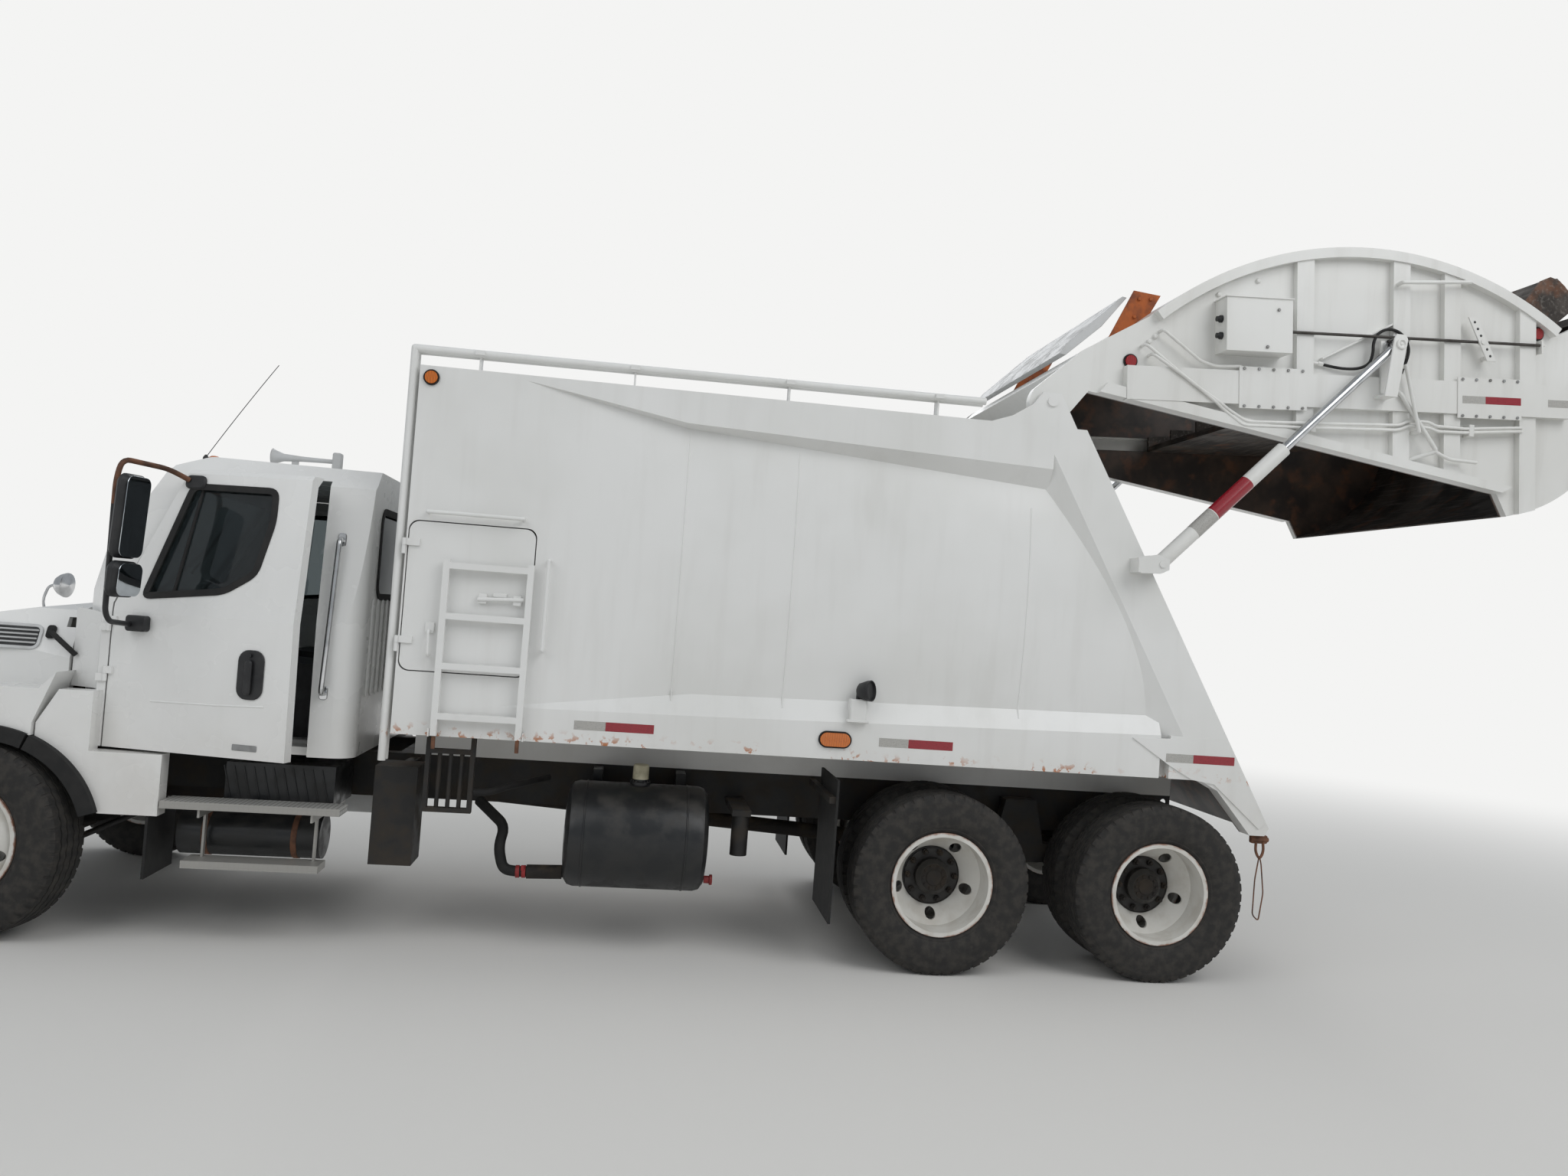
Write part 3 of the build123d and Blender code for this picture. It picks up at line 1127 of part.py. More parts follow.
def tail_side():
    """Left side wall of the tailgate with ribs, rim, mating flange and channel slot."""
    with BuildPart() as ribs:
        for station in RIB_STATIONS:
            add(
                channel_strip(
                    station - RIB_WIDTH / 2, station + RIB_WIDTH / 2, -2500, 2500, TAIL_WALL_Y - 5,
                    TAIL_RIB_Y,
                )
            )
        add(tail_wall_plate(TAIL_WALL_Y - 1, TAIL_RIB_Y), mode=Mode.INTERSECT)
    with BuildPart() as wall:
        add(tail_wall_plate(TAIL_INNER_Y, TAIL_WALL_Y))
        add(ribs.part)
        # rim along the hood's curve
        with BuildSketch(side_plane(TAIL_FLANGE_Y)):
            with BuildLine():
                start, end = HOOD_FRONT_ANGLE + 1, HOOD_REAR_ANGLE - 1
                inner = HOOD_RADIUS - RIM_DEPTH
                ThreePointArc(hood_point(start, HOOD_RADIUS), hood_point((start + end) / 2, HOOD_RADIUS),
                              hood_point(end, HOOD_RADIUS))
                Line(hood_point(end, HOOD_RADIUS), hood_point(end, inner))
                ThreePointArc(
                    hood_point(end, inner), hood_point((start + end) / 2, inner), hood_point(start, inner),
                )
                Line(hood_point(start, inner), hood_point(start, HOOD_RADIUS))
            make_face()
        extrude(amount=TAIL_FLANGE_Y - TAIL_WALL_Y + 1)
        # flange along the mating face
        with BuildSketch(side_plane(TAIL_FLANGE_Y)):
            with BuildLine():
                Polyline(
                    (tail_line_x(MATING_LOW_Z), MATING_LOW_Z), (tail_line_x(3190), 3190),
                    (tail_line_x(3190) - 75, 3190), (tail_line_x(MATING_LOW_Z) - 75, MATING_LOW_Z - 30),
                    close=True,
                )
            make_face()
        extrude(amount=TAIL_FLANGE_Y - TAIL_WALL_Y + 1)
        # slot for the carriage's shoes, bore for the hinge pin
        add(channel_strip(slot_low, slot_high, CHANNEL_OFFSET - SLOT_HALF_HEIGHT,
                          CHANNEL_OFFSET + SLOT_HALF_HEIGHT, TAIL_INNER_Y - 5, TAIL_FLANGE_Y + 5),
            mode=Mode.SUBTRACT)
        add(channel_strip(CHANNEL_START - 1, CHANNEL_END + 1, CHANNEL_OFFSET - CHANNEL_HALF_HEIGHT - SEAT_GAP,
                          CHANNEL_OFFSET + CHANNEL_HALF_HEIGHT + SEAT_GAP, TAIL_WALL_Y, TAIL_FLANGE_Y + 30),
            mode=Mode.SUBTRACT)
        add(cylinder_y(HINGE_X, HINGE_Z, HINGE_PIN_RADIUS + PIN_CLEARANCE, TAIL_INNER_Y - 5, TAIL_FLANGE_Y),
            mode=Mode.SUBTRACT)
    return wall.part


def both_sides(piece):
    """A left-hand piece together with its mirror image."""
    with BuildPart() as pair:
        add(piece)
        mirror(about=Plane.XZ)
    return pair.part


keep("tailgate_sides", raised(both_sides(tail_side())))

CHANNEL_FACE_Y = BODY_HALF_WIDTH - 4.0
with BuildPart() as guide_channel:
    add(channel_strip(CHANNEL_START, CHANNEL_END, CHANNEL_OFFSET - CHANNEL_HALF_HEIGHT,
                      CHANNEL_OFFSET + CHANNEL_HALF_HEIGHT, TAIL_WALL_Y, CHANNEL_FACE_Y))
    add(channel_strip(slot_low, slot_high, CHANNEL_OFFSET - GROOVE_HALF_HEIGHT,
                      CHANNEL_OFFSET + GROOVE_HALF_HEIGHT, TAIL_WALL_Y - 5, CHANNEL_FACE_Y - CHANNEL_WALL),
        mode=Mode.SUBTRACT)
    # clevis plate that the lift cylinder's eye turns on
    eye_x = LIFT_UPPER_X - HINGE_X
    eye_z = LIFT_UPPER_Z - HINGE_Z
    turn = radians(TAIL_RAISE)
    upper = in_channel(HINGE_X + eye_x * cos(turn) - eye_z * sin(turn),
                       HINGE_Z + eye_x * sin(turn) + eye_z * cos(turn))
    add(
        channel_strip(
            upper[0] - 60, upper[0] + 60, CHANNEL_OFFSET, upper[1] + 40, CHANNEL_FACE_Y - 6,
            CHANNEL_FACE_Y + 8,
        )
    )
keep("guide_channels", raised(both_sides(guide_channel.part)))

def on_channel(along, across, y):
    """Point at a distance along and across the packer channel."""
    return tuple(channel_plane(y).from_local_coords(Vector(along, across, 0)))


# Fittings on the tailgate's walls, placed along and across the packer channel
COVER_THICKNESS = 6.0
COVER_HALF_HEIGHT = CHANNEL_HALF_HEIGHT + 25.0
BOX_DEPTH = 140.0
PULL_ROD_Y = TAIL_RIB_Y + 12.0
PULL_ROD_ACROSS = 482.0
PULL_ROD_RADIUS = 8.0
with BuildPart() as tail_fittings:
    for along_low, along_high in ((1150.0, 1583.0), (2575.0, 3005.0)):
        for y in (CHANNEL_FACE_Y + SEAT_GAP, -CHANNEL_FACE_Y - SEAT_GAP - COVER_THICKNESS):
            add(channel_strip(
                along_low, along_high, CHANNEL_OFFSET - COVER_HALF_HEIGHT, CHANNEL_OFFSET + COVER_HALF_HEIGHT,
                y, y + COVER_THICKNESS,
            ))
    # control box, and the pull rod that runs from it to its bracket and through the lever
    add(channel_strip(1025, 1440, 333, 651, TAIL_WALL_Y + SEAT_GAP, TAIL_WALL_Y + BOX_DEPTH))
    add(channel_strip(1018, 1447, 651, 657, TAIL_WALL_Y + SEAT_GAP, TAIL_WALL_Y + BOX_DEPTH + 8))
    add(rod_between(on_channel(1435, PULL_ROD_ACROSS, PULL_ROD_Y),
                    on_channel(3165, PULL_ROD_ACROSS, PULL_ROD_Y), PULL_ROD_RADIUS))
    add(channel_strip(3135, 3147, 430, 510, TAIL_WALL_Y + SEAT_GAP, PULL_ROD_Y + 16))
    with BuildSketch(channel_plane(PULL_ROD_Y + 6)):
        with BuildLine():
            Polyline((2640, 630), (2700, 630), (2826, 364), (2766, 364), close=True)
        make_face()
    extrude(amount=10)
    add(rod_between(on_channel(2738, PULL_ROD_ACROSS, PULL_ROD_Y - 14),
                    on_channel(2738, PULL_ROD_ACROSS, PULL_ROD_Y + 22), 16))
    add(rod_between(on_channel(2785, 390, TAIL_WALL_Y + SEAT_GAP), on_channel(2785, 390, PULL_ROD_Y + 10), 14))
    # grab rail under the hood's rim, and the upright handle behind the lift cylinder
    add(bent_bar([
        on_channel(2185, 812, TAIL_RIB_Y + SEAT_GAP), on_channel(2185, 812, TAIL_RIB_Y + 50),
        on_channel(2632, 838, TAIL_RIB_Y + 50), on_channel(2632, 838, TAIL_WALL_Y + SEAT_GAP),
    ], 12))
    add(bent_bar([
        on_channel(2200, 300, TAIL_RIB_Y + SEAT_GAP), on_channel(2200, 300, TAIL_RIB_Y + 60),
        on_channel(2290, -95, TAIL_RIB_Y + 60), on_channel(2290, -95, TAIL_WALL_Y + SEAT_GAP),
    ], 11))
keep("tail_fittings", raised(tail_fittings.part))

with BuildPart() as tail_lamps:
    for along, across in ((490.0, 269.0), (3157.0, 565.0)):
        for y_low, y_high in (
            (TAIL_WALL_Y + SEAT_GAP, TAIL_WALL_Y + MARKER_DEPTH),
            (-TAIL_WALL_Y - MARKER_DEPTH, -TAIL_WALL_Y - SEAT_GAP),
        ):
            add(rod_between(on_channel(along, across, y_low), on_channel(along, across, y_high),
                            MARKER_RADIUS))
keep("tail_lamps", raised(tail_lamps.part))

# Hood sheet between the side walls, from the hinge over to the mouth
with BuildPart() as tail_hood:
    with BuildSketch(side_plane(TAIL_INNER_Y)):
        with BuildLine():
            hood_start = hood_point(HOOD_FRONT_ANGLE, HOOD_RADIUS)
            inner_start = hood_point(HOOD_FRONT_ANGLE, HOOD_RADIUS - HOOD_SHEET)
            middle = (HOOD_FRONT_ANGLE + MOUTH_ANGLE) / 2
            neck = [(hood_start[0] + ahead, hood_start[1] + up) for ahead, up in HOOD_NECK]
            Polyline(inner_start, *neck, hood_start)
            ThreePointArc(hood_start, hood_point(middle, HOOD_RADIUS), hood_point(MOUTH_ANGLE, HOOD_RADIUS))
            Polyline(hood_point(MOUTH_ANGLE, HOOD_RADIUS), hood_point(MOUTH_ANGLE + 0.8, HOOD_RADIUS - 70),
                     hood_point(MOUTH_ANGLE, HOOD_RADIUS - 70), hood_point(
                         MOUTH_ANGLE - 0.4, HOOD_RADIUS - HOOD_SHEET,
                     ))
            ThreePointArc(hood_point(MOUTH_ANGLE - 0.4, HOOD_RADIUS - HOOD_SHEET),
                          hood_point(middle, HOOD_RADIUS - HOOD_SHEET), inner_start)
        make_face()
    extrude(amount=2 * TAIL_INNER_Y)
keep("tailgate_hood", raised(tail_hood.part))

# Hopper trough with its loading sill and front lip
with BuildPart() as hopper_trough:
    with BuildSketch(side_plane(TAIL_INNER_Y)):
        with BuildLine():
            outer_r = TROUGH_RADIUS + TROUGH_SHEET
            mid_angle = (SILL_ANGLE + TROUGH_FRONT_ANGLE) / 2
            sill_in = trough_point(SILL_ANGLE, TROUGH_RADIUS)
            sill_out = trough_point(SILL_ANGLE, outer_r)
            front_in = trough_point(TROUGH_FRONT_ANGLE, TROUGH_RADIUS)
            front_out = trough_point(TROUGH_FRONT_ANGLE, outer_r)
            lip_in = (CORNER_X, CORNER_Z + 12)
            lip_out = (CORNER_X, CORNER_Z)
            ThreePointArc(sill_in, trough_point(mid_angle, TROUGH_RADIUS), front_in)
            Polyline(front_in, lip_in, lip_out, front_out)
            ThreePointArc(front_out, trough_point(mid_angle, outer_r), sill_out)
            Line(sill_out, sill_in)
        make_face()
    extrude(amount=2 * TAIL_INNER_Y)
    add(side_plate(
        [
            (sill_in[0], sill_in[1]), (sill_in[0] - 70, sill_in[1] + 12), (sill_in[0] - 80, sill_in[1] - 90),
            (sill_in[0] - 8, sill_in[1] - 90),
        ],
        -TAIL_INNER_Y, TAIL_INNER_Y,
    ))
keep("hopper_trough", raised(hopper_trough.part))

# Riding steps at the rear corners
step_top_z = PACKER_PIVOT_Z - TROUGH_RADIUS - 60
STEP_PLATE_Y = TAIL_WALL_Y + 16.0
with BuildPart() as riding_steps:
    for side in SIDES.values():
        y_low, y_high = sorted((side * 700, side * STEP_PLATE_Y))
        add(block((PACKER_PIVOT_X - 900, y_low, step_top_z - 30), (PACKER_PIVOT_X - 560, y_high, step_top_z)))
        y_low, y_high = sorted((side * (TAIL_WALL_Y + SEAT_GAP), side * STEP_PLATE_Y))
        add(side_plate(
            [(PACKER_PIVOT_X - 900, step_top_z - 30), (PACKER_PIVOT_X - 900, step_top_z + 10),
             (PACKER_PIVOT_X - 640, PACKER_PIVOT_Z - 500), (PACKER_PIVOT_X - 420, PACKER_PIVOT_Z - 640),
             (PACKER_PIVOT_X - 560, step_top_z - 30)],
            y_low, y_high,
        ))
riding_raised = raised(riding_steps.part)

# Packer carriage: panel between shoes that run in the channels
PANEL_HALF_WIDTH = TAIL_INNER_Y - MOVING_GAP
END_PLATE = 20.0
with BuildPart() as half_carriage:
    with BuildSketch(channel_plane(PANEL_HALF_WIDTH - END_PLATE)):
        with BuildLine():
            Polyline(
                (pivot_along - 1200, CHANNEL_OFFSET - 60), (pivot_along - 60, CHANNEL_OFFSET - 60),
                (pivot_along + PIVOT_TUBE_RADIUS, pivot_across - 30),
                (pivot_along + PIVOT_TUBE_RADIUS, pivot_across + 30),
                (pivot_along, pivot_across + PIVOT_TUBE_RADIUS), (pivot_along - 200, CHANNEL_OFFSET + 120),
                (pivot_along - 1200, CHANNEL_OFFSET + 60), close=True,
            )
        make_face()
    extrude(amount=END_PLATE)
    for station in SHOE_STATIONS:
        add(channel_strip(
            station - SHOE_LENGTH / 2, station + SHOE_LENGTH / 2, CHANNEL_OFFSET - SHOE_HALF_HEIGHT,
            CHANNEL_OFFSET + SHOE_HALF_HEIGHT, PANEL_HALF_WIDTH - 1, CHANNEL_FACE_Y - CHANNEL_WALL - 6,
        ))
    add(channel_strip(pivot_along - 1200, pivot_along - 130, CHANNEL_OFFSET - 60, CHANNEL_OFFSET - 20, 0,
                      PANEL_HALF_WIDTH - END_PLATE + 1))
    for rib_y in (300, 700):
        add(
            channel_strip(
                pivot_along - 1190, pivot_along - 200, CHANNEL_OFFSET - 21, CHANNEL_OFFSET + 60, rib_y,
                rib_y + 20,
            )
        )
    add(rod_between((PACKER_PIVOT_X, PANEL_HALF_WIDTH - END_PLATE + 1, PACKER_PIVOT_Z),
                    (PACKER_PIVOT_X, PANEL_HALF_WIDTH - END_PLATE - 60, PACKER_PIVOT_Z), PIVOT_PIN_RADIUS))
with BuildPart() as carriage:
    add(half_carriage.part)
    mirror(about=Plane.XZ)
keep("packer_carriage", raised(carriage.part))

# Sweep blade, swung open to the rear
BLADE_HALF_WIDTH = PANEL_HALF_WIDTH - END_PLATE - 6.0
CHEEK = 18.0


def blade_outline(points):
    """Blade outline from (reach, height) pairs about its pivot, pointing to the rear."""
    return [(PACKER_PIVOT_X - reach, PACKER_PIVOT_Z + height) for reach, height in points]


with BuildPart() as sweep_blade:
    add(
        side_plate(
            blade_outline(
                [(0, 62), (300, 40), (780, 75), (845, 20), (845, -60), (800, -75), (420, 0), (0, -20)]
            ),
                   -BLADE_HALF_WIDTH, BLADE_HALF_WIDTH))
    for side in SIDES.values():
        y_low, y_high = sorted((side * (BLADE_HALF_WIDTH - CHEEK), side * BLADE_HALF_WIDTH))
        add(
            side_plate(
                blade_outline(
                    [(40, 60), (760, 90), (820, 60), (846, 0), (838, -140), (760, -190), (60, -60)]
                ),
                       y_low, y_high))
    add(cylinder_y(PACKER_PIVOT_X, PACKER_PIVOT_Z, PIVOT_TUBE_RADIUS, -BLADE_HALF_WIDTH, BLADE_HALF_WIDTH))
    for side in SIDES.values():
        y_low, y_high = sorted((side * (BLADE_HALF_WIDTH - 70), side * (BLADE_HALF_WIDTH + 1)))
        add(
            cylinder_y(PACKER_PIVOT_X, PACKER_PIVOT_Z, PIVOT_PIN_RADIUS + PIN_CLEARANCE, y_low, y_high),
            mode=Mode.SUBTRACT,
        )
keep("sweep_blade", raised(sweep_blade.part))
keep("riding_steps", riding_raised)

# Lift cylinders, as they stand with the tailgate raised
lift_angle = atan2(LIFT_UPPER_Z - LIFT_LOWER_Z, LIFT_UPPER_X - LIFT_LOWER_X)
lift_length = hypot(LIFT_UPPER_Z - LIFT_LOWER_Z, LIFT_UPPER_X - LIFT_LOWER_X)
lift_direction = (cos(lift_angle), 0, sin(lift_angle))


def along_lift(distance):
    """Plane square to the left cylinder, at a distance from its lower pin."""
    return Plane(
        origin=(LIFT_LOWER_X + distance * cos(lift_angle), LIFT_Y, LIFT_LOWER_Z + distance * sin(lift_angle)),
        z_dir=lift_direction,
    )


BARREL_BOTTOM = 42.0
GLAND_LENGTH = 30.0
PISTON_LENGTH = 30.0
with BuildPart() as lift_barrel:
    with BuildSketch(along_lift(30)):
        Circle(LIFT_BARREL_RADIUS)
    extrude(amount=LIFT_BARREL_LENGTH - 30)
    add(cylinder_y(LIFT_LOWER_X, LIFT_LOWER_Z, LIFT_EYE_RADIUS, LIFT_Y - 38, LIFT_Y + 38))
    with BuildSketch(along_lift(BARREL_BOTTOM)):
        Circle(LIFT_BARREL_BORE)
    extrude(amount=LIFT_BARREL_LENGTH - GLAND_LENGTH - BARREL_BOTTOM, mode=Mode.SUBTRACT)
    with BuildSketch(along_lift(LIFT_BARREL_LENGTH - GLAND_LENGTH - 1)):
        Circle(LIFT_ROD_RADIUS + PIN_CLEARANCE)
    extrude(amount=GLAND_LENGTH + 2, mode=Mode.SUBTRACT)
    add(
        cylinder_y(LIFT_LOWER_X, LIFT_LOWER_Z, LIFT_PIN_RADIUS + PIN_CLEARANCE, LIFT_Y - 60, LIFT_Y + 60),
        mode=Mode.SUBTRACT,
    )
keep("lift_barrels", both_sides(lift_barrel.part))

with BuildPart() as lift_rod:
    with BuildSketch(along_lift(lift_length - LIFT_ROD_LENGTH)):
        Circle(LIFT_BARREL_BORE - PIN_CLEARANCE)
    extrude(amount=PISTON_LENGTH)
    with BuildSketch(along_lift(lift_length - LIFT_ROD_LENGTH + 1)):
        Circle(LIFT_ROD_RADIUS)
    extrude(amount=LIFT_ROD_LENGTH - 30)
    add(cylinder_y(LIFT_UPPER_X, LIFT_UPPER_Z, LIFT_EYE_RADIUS, CHANNEL_FACE_Y + 8 + 5, LIFT_Y + 36))
keep("lift_rods", both_sides(lift_rod.part))

# Cab


def cab_block(inset):
    """Solid form of the cab, smaller by an inset all round: side, front and plan outlines crossed."""
    with BuildPart() as form:
        with BuildSketch(side_plane(CAB_HALF_WIDTH + 50)):
            with BuildLine():
                Polyline(
                    (CAB_REAR_X, CAB_FLOOR_Z), (CAB_REAR_X, CAB_ROOF_Z - 10), (AXLE_1_X + 4280, CAB_ROOF_Z),
                    (AXLE_1_X + 4440, CAB_ROOF_Z - 70), (CAB_COWL_X, CAB_COWL_Z), (CAB_COWL_X, 1330),
                    (AXLE_1_X + 4790, CAB_FLOOR_Z), close=True,
                )
            side_face = make_face()
            fillet(side_face.vertices().group_by(Axis.Y)[-1].sort_by(Axis.X)[-1:], 100)
            if inset:
                offset(amount=-inset, kind=Kind.INTERSECTION, mode=Mode.REPLACE)
        extrude(amount=2 * CAB_HALF_WIDTH + 100)
        with BuildSketch(cross_plane(CAB_REAR_X - 50), mode=Mode.PRIVATE) as front_view:
            with BuildLine():
                Polyline(
                    (-CAB_HALF_WIDTH, CAB_FLOOR_Z), (-CAB_HALF_WIDTH, CAB_BELT_Z),
                    (-CAB_ROOF_HALF_WIDTH - 55, CAB_ROOF_Z - 120),
                    (-CAB_ROOF_HALF_WIDTH + 70, CAB_ROOF_Z + 5), (CAB_ROOF_HALF_WIDTH - 70, CAB_ROOF_Z + 5),
                    (CAB_ROOF_HALF_WIDTH + 55, CAB_ROOF_Z - 120), (CAB_HALF_WIDTH, CAB_BELT_Z),
                    (CAB_HALF_WIDTH, CAB_FLOOR_Z),
                    close=True,
                )
            make_face()
            if inset:
                offset(amount=-inset, kind=Kind.INTERSECTION, mode=Mode.REPLACE)
        extrude(front_view.sketch, amount=CAB_COWL_X - CAB_REAR_X + 100, mode=Mode.INTERSECT)
        with BuildSketch(Plane.XY.offset(CAB_FLOOR_Z - 50), mode=Mode.PRIVATE) as plan_view:
            with BuildLine():
                Polyline(
                    (CAB_REAR_X, -CAB_HALF_WIDTH), (CAB_REAR_X, CAB_HALF_WIDTH),
                    (AXLE_1_X + 4690, CAB_HALF_WIDTH),
                    (CAB_COWL_X - 40, CAB_HALF_WIDTH - 190), (CAB_COWL_X, 0),
                    (CAB_COWL_X - 40, -CAB_HALF_WIDTH + 190),
                    (AXLE_1_X + 4690, -CAB_HALF_WIDTH), close=True,
                )
            plan_face = make_face()
            fillet(plan_face.vertices().group_by(Axis.X)[0], 120)
            if inset:
                offset(amount=-inset, kind=Kind.INTERSECTION, mode=Mode.REPLACE)
        extrude(plan_view.sketch, amount=CAB_ROOF_Z - CAB_FLOOR_Z + 200, mode=Mode.INTERSECT)
    return form.part


def door_prism(inset, lean, y_low, y_high):
    """Prism with the door's outline, smaller by an inset, its rear edge leaning forward at the top."""
    with BuildPart() as prism:
        with BuildSketch(side_plane(y_high)):
            with BuildLine():
                Polyline(
                    (DOOR_REAR_X, CAB_FLOOR_Z - 20), (DOOR_FRONT_X, CAB_FLOOR_Z - 20), (DOOR_FRONT_X, 1800),
                    (AXLE_1_X + 4330, DOOR_TOP_Z), (DOOR_REAR_X + lean, DOOR_TOP_Z), close=True,
                )
            make_face()
            if inset:
                offset(amount=-inset, kind=Kind.INTERSECTION, mode=Mode.REPLACE)
        extrude(amount=y_high - y_low)
    return prism.part


def window_prism(inset, y_low, y_high):
    """Prism with the door window's outline, smaller by an inset."""
    with BuildPart() as prism:
        with BuildSketch(side_plane(y_high)):
            with BuildLine():
                Polyline(
                    (AXLE_1_X + 3800, 2470), (AXLE_1_X + 3790, 2290), (AXLE_1_X + 3850, 2000),
                    (AXLE_1_X + 4020, 1890),
                    (AXLE_1_X + 4490, 1835), (AXLE_1_X + 4300, 2470), close=True,
                )
            window_face = make_face()
            fillet(window_face.vertices(), 45)
            if inset:
                offset(amount=-inset, kind=Kind.INTERSECTION, mode=Mode.REPLACE)
        extrude(amount=y_high - y_low)
    return prism.part


screen_low = Vector(CAB_COWL_X, 0, CAB_COWL_Z)
screen_high = Vector(AXLE_1_X + 4440, 0, CAB_ROOF_Z - 70)
screen_up = (screen_high - screen_low).normalized()
screen_normal = Vector(screen_up.Z, 0, -screen_up.X)
screen_middle = (screen_low + screen_high) * 0.5


def screen_prism(shrink):
    """Round-cornered prism through the windscreen's opening."""
    with BuildPart() as prism:
        with BuildSketch(Plane(origin=screen_middle, x_dir=(0, 1, 0), z_dir=screen_normal)):
            RectangleRounded(1600 - 2 * shrink, 720 - 2 * shrink, 90)
        extrude(amount=160, both=True)
    return prism.part


def rear_window_prism(shrink):
    """Round-cornered prism through the rear window's opening."""
    with BuildPart() as prism:
        with BuildSketch(cross_plane(CAB_REAR_X - 100)):
            with Locations((0, 2180)):
                RectangleRounded(1500 - 2 * shrink, 480 - 2 * shrink, 70)
        extrude(amount=200)
    return prism.part


cab_outer = cab_block(0)
cab_inner = cab_block(CAB_WALL)
with BuildPart() as cab_shell:
    add(cab_outer)
    add(cab_inner, mode=Mode.SUBTRACT)
    add(screen_prism(0), mode=Mode.SUBTRACT)
    add(rear_window_prism(0), mode=Mode.SUBTRACT)
    for side in SIDES.values():
        y_low, y_high = sorted((side * (CAB_HALF_WIDTH - 220), side * (CAB_HALF_WIDTH + 40)))
        add(door_prism(0, DOOR_HOLE_LEAN, y_low, y_high), mode=Mode.SUBTRACT)
    add(block((DOOR_REAR_X + 10, -(CAB_HALF_WIDTH - CAB_WALL - 8), CAB_FLOOR_Z),
              (DOOR_FRONT_X - 10, CAB_HALF_WIDTH - CAB_WALL - 8, CAB_FLOOR_Z + 45)))

DOOR_HINGE_X = DOOR_FRONT_X + 5.0
DOOR_HINGES = (1420.0, 1690.0)
KNUCKLE_RADIUS = 12.0
KNUCKLE_LENGTH = 40.0
DOOR_PIN_RADIUS = 6.0


def hinge_strap(side, near_x, far_x, low_z, high_z, inner_y):
    """A plate from a knuckle to the panel it carries, lying on the outside of the cab."""
    y_low, y_high = sorted((side * inner_y, side * (DOOR_HINGE_Y + 3)))
    return block((min(near_x, far_x), y_low, low_z), (max(near_x, far_x), y_high, high_z))


def upright(x, y, low_z, high_z, radius):
    """An upright round bar."""
    return rod_between((x, y, low_z), (x, y, high_z), radius)


with BuildPart() as hinged_shell:
    add(cab_shell.part)
    for side in SIDES.values():
        for hinge_z in DOOR_HINGES:
            low_z = hinge_z - KNUCKLE_LENGTH
            pin_y = side * DOOR_HINGE_Y
            add(upright(DOOR_HINGE_X, pin_y, low_z, hinge_z, KNUCKLE_RADIUS))
            add(upright(DOOR_HINGE_X, pin_y, low_z, hinge_z + KNUCKLE_LENGTH, DOOR_PIN_RADIUS))
            add(hinge_strap(side, DOOR_HINGE_X + 2, DOOR_HINGE_X + 45, low_z, hinge_z, CAB_HALF_WIDTH - 20))
    for station in (3430.0, 4560.0):
        for side in SIDES.values():
            y_low, y_high = sorted((side * (RAIL_OUTER_Y - 80), side * RAIL_OUTER_Y))
            add(block((AXLE_1_X + station, y_low, RAIL_TOP_Z + SEAT_GAP),
                      (AXLE_1_X + station + 100, y_high, CAB_FLOOR_Z + 2)))
keep("cab_shell", hinged_shell.part)

GLASS = 8.0
glass_block = cab_block(22)
glass_core = cab_block(22 + GLASS)
with BuildPart() as cab_glass:
    add(glass_block)
    add(glass_core, mode=Mode.SUBTRACT)
    with BuildPart(mode=Mode.PRIVATE) as glass_areas:
        add(screen_prism(SEAT_GAP))
        add(rear_window_prism(SEAT_GAP))
    add(glass_areas.part, mode=Mode.INTERSECT)
keep("cab_glass", cab_glass.part)


def door(side):
    """One door: the cab's own wall cut out with a gap all round, with its window opened."""
    y_low, y_high = sorted((side * (CAB_HALF_WIDTH - 220), side * (CAB_HALF_WIDTH + 40)))
    with BuildPart() as made:
        add(cab_outer)
        add(cab_inner, mode=Mode.SUBTRACT)
        add(door_prism(PANEL_GAP, DOOR_HOLE_LEAN + 10, y_low, y_high), mode=Mode.INTERSECT)
        add(window_prism(0, y_low, y_high), mode=Mode.SUBTRACT)
        add(block((DOOR_REAR_X, -CAB_HALF_WIDTH + CAB_WALL, CAB_FLOOR_Z - 30),
                  (DOOR_FRONT_X, CAB_HALF_WIDTH - CAB_WALL, CAB_FLOOR_Z + CAB_WALL + 4)), mode=Mode.SUBTRACT)
        for hinge_z in DOOR_HINGES:
            low_z = hinge_z + 1
            high_z = hinge_z + KNUCKLE_LENGTH
            pin_y = side * DOOR_HINGE_Y
            add(upright(DOOR_HINGE_X, pin_y, low_z, high_z, KNUCKLE_RADIUS))
            add(hinge_strap(side, DOOR_HINGE_X - 2, DOOR_HINGE_X - 40, low_z, high_z, CAB_HALF_WIDTH + 3))
            add(
                hinge_strap(
                    side, DOOR_FRONT_X - PANEL_GAP - 2, DOOR_HINGE_X - 40, low_z, high_z, CAB_HALF_WIDTH - 5,
                )
            )
            add(
                upright(DOOR_HINGE_X, pin_y, low_z - 1, high_z + 1, DOOR_PIN_RADIUS + PIN_CLEARANCE),
                mode=Mode.SUBTRACT,
            )
    return made.part


def door_glass(side):
    """Side window seated in the door."""
    y_low, y_high = sorted((side * (CAB_HALF_WIDTH - 220), side * (CAB_HALF_WIDTH + 40)))
    with BuildPart() as made:
        add(glass_block)
        add(glass_core, mode=Mode.SUBTRACT)
        add(window_prism(SEAT_GAP, y_low, y_high), mode=Mode.INTERSECT)
    return made.part


MIRROR_X = AXLE_1_X + 4340.0
MIRROR_Y = CAB_HALF_WIDTH + 315.0


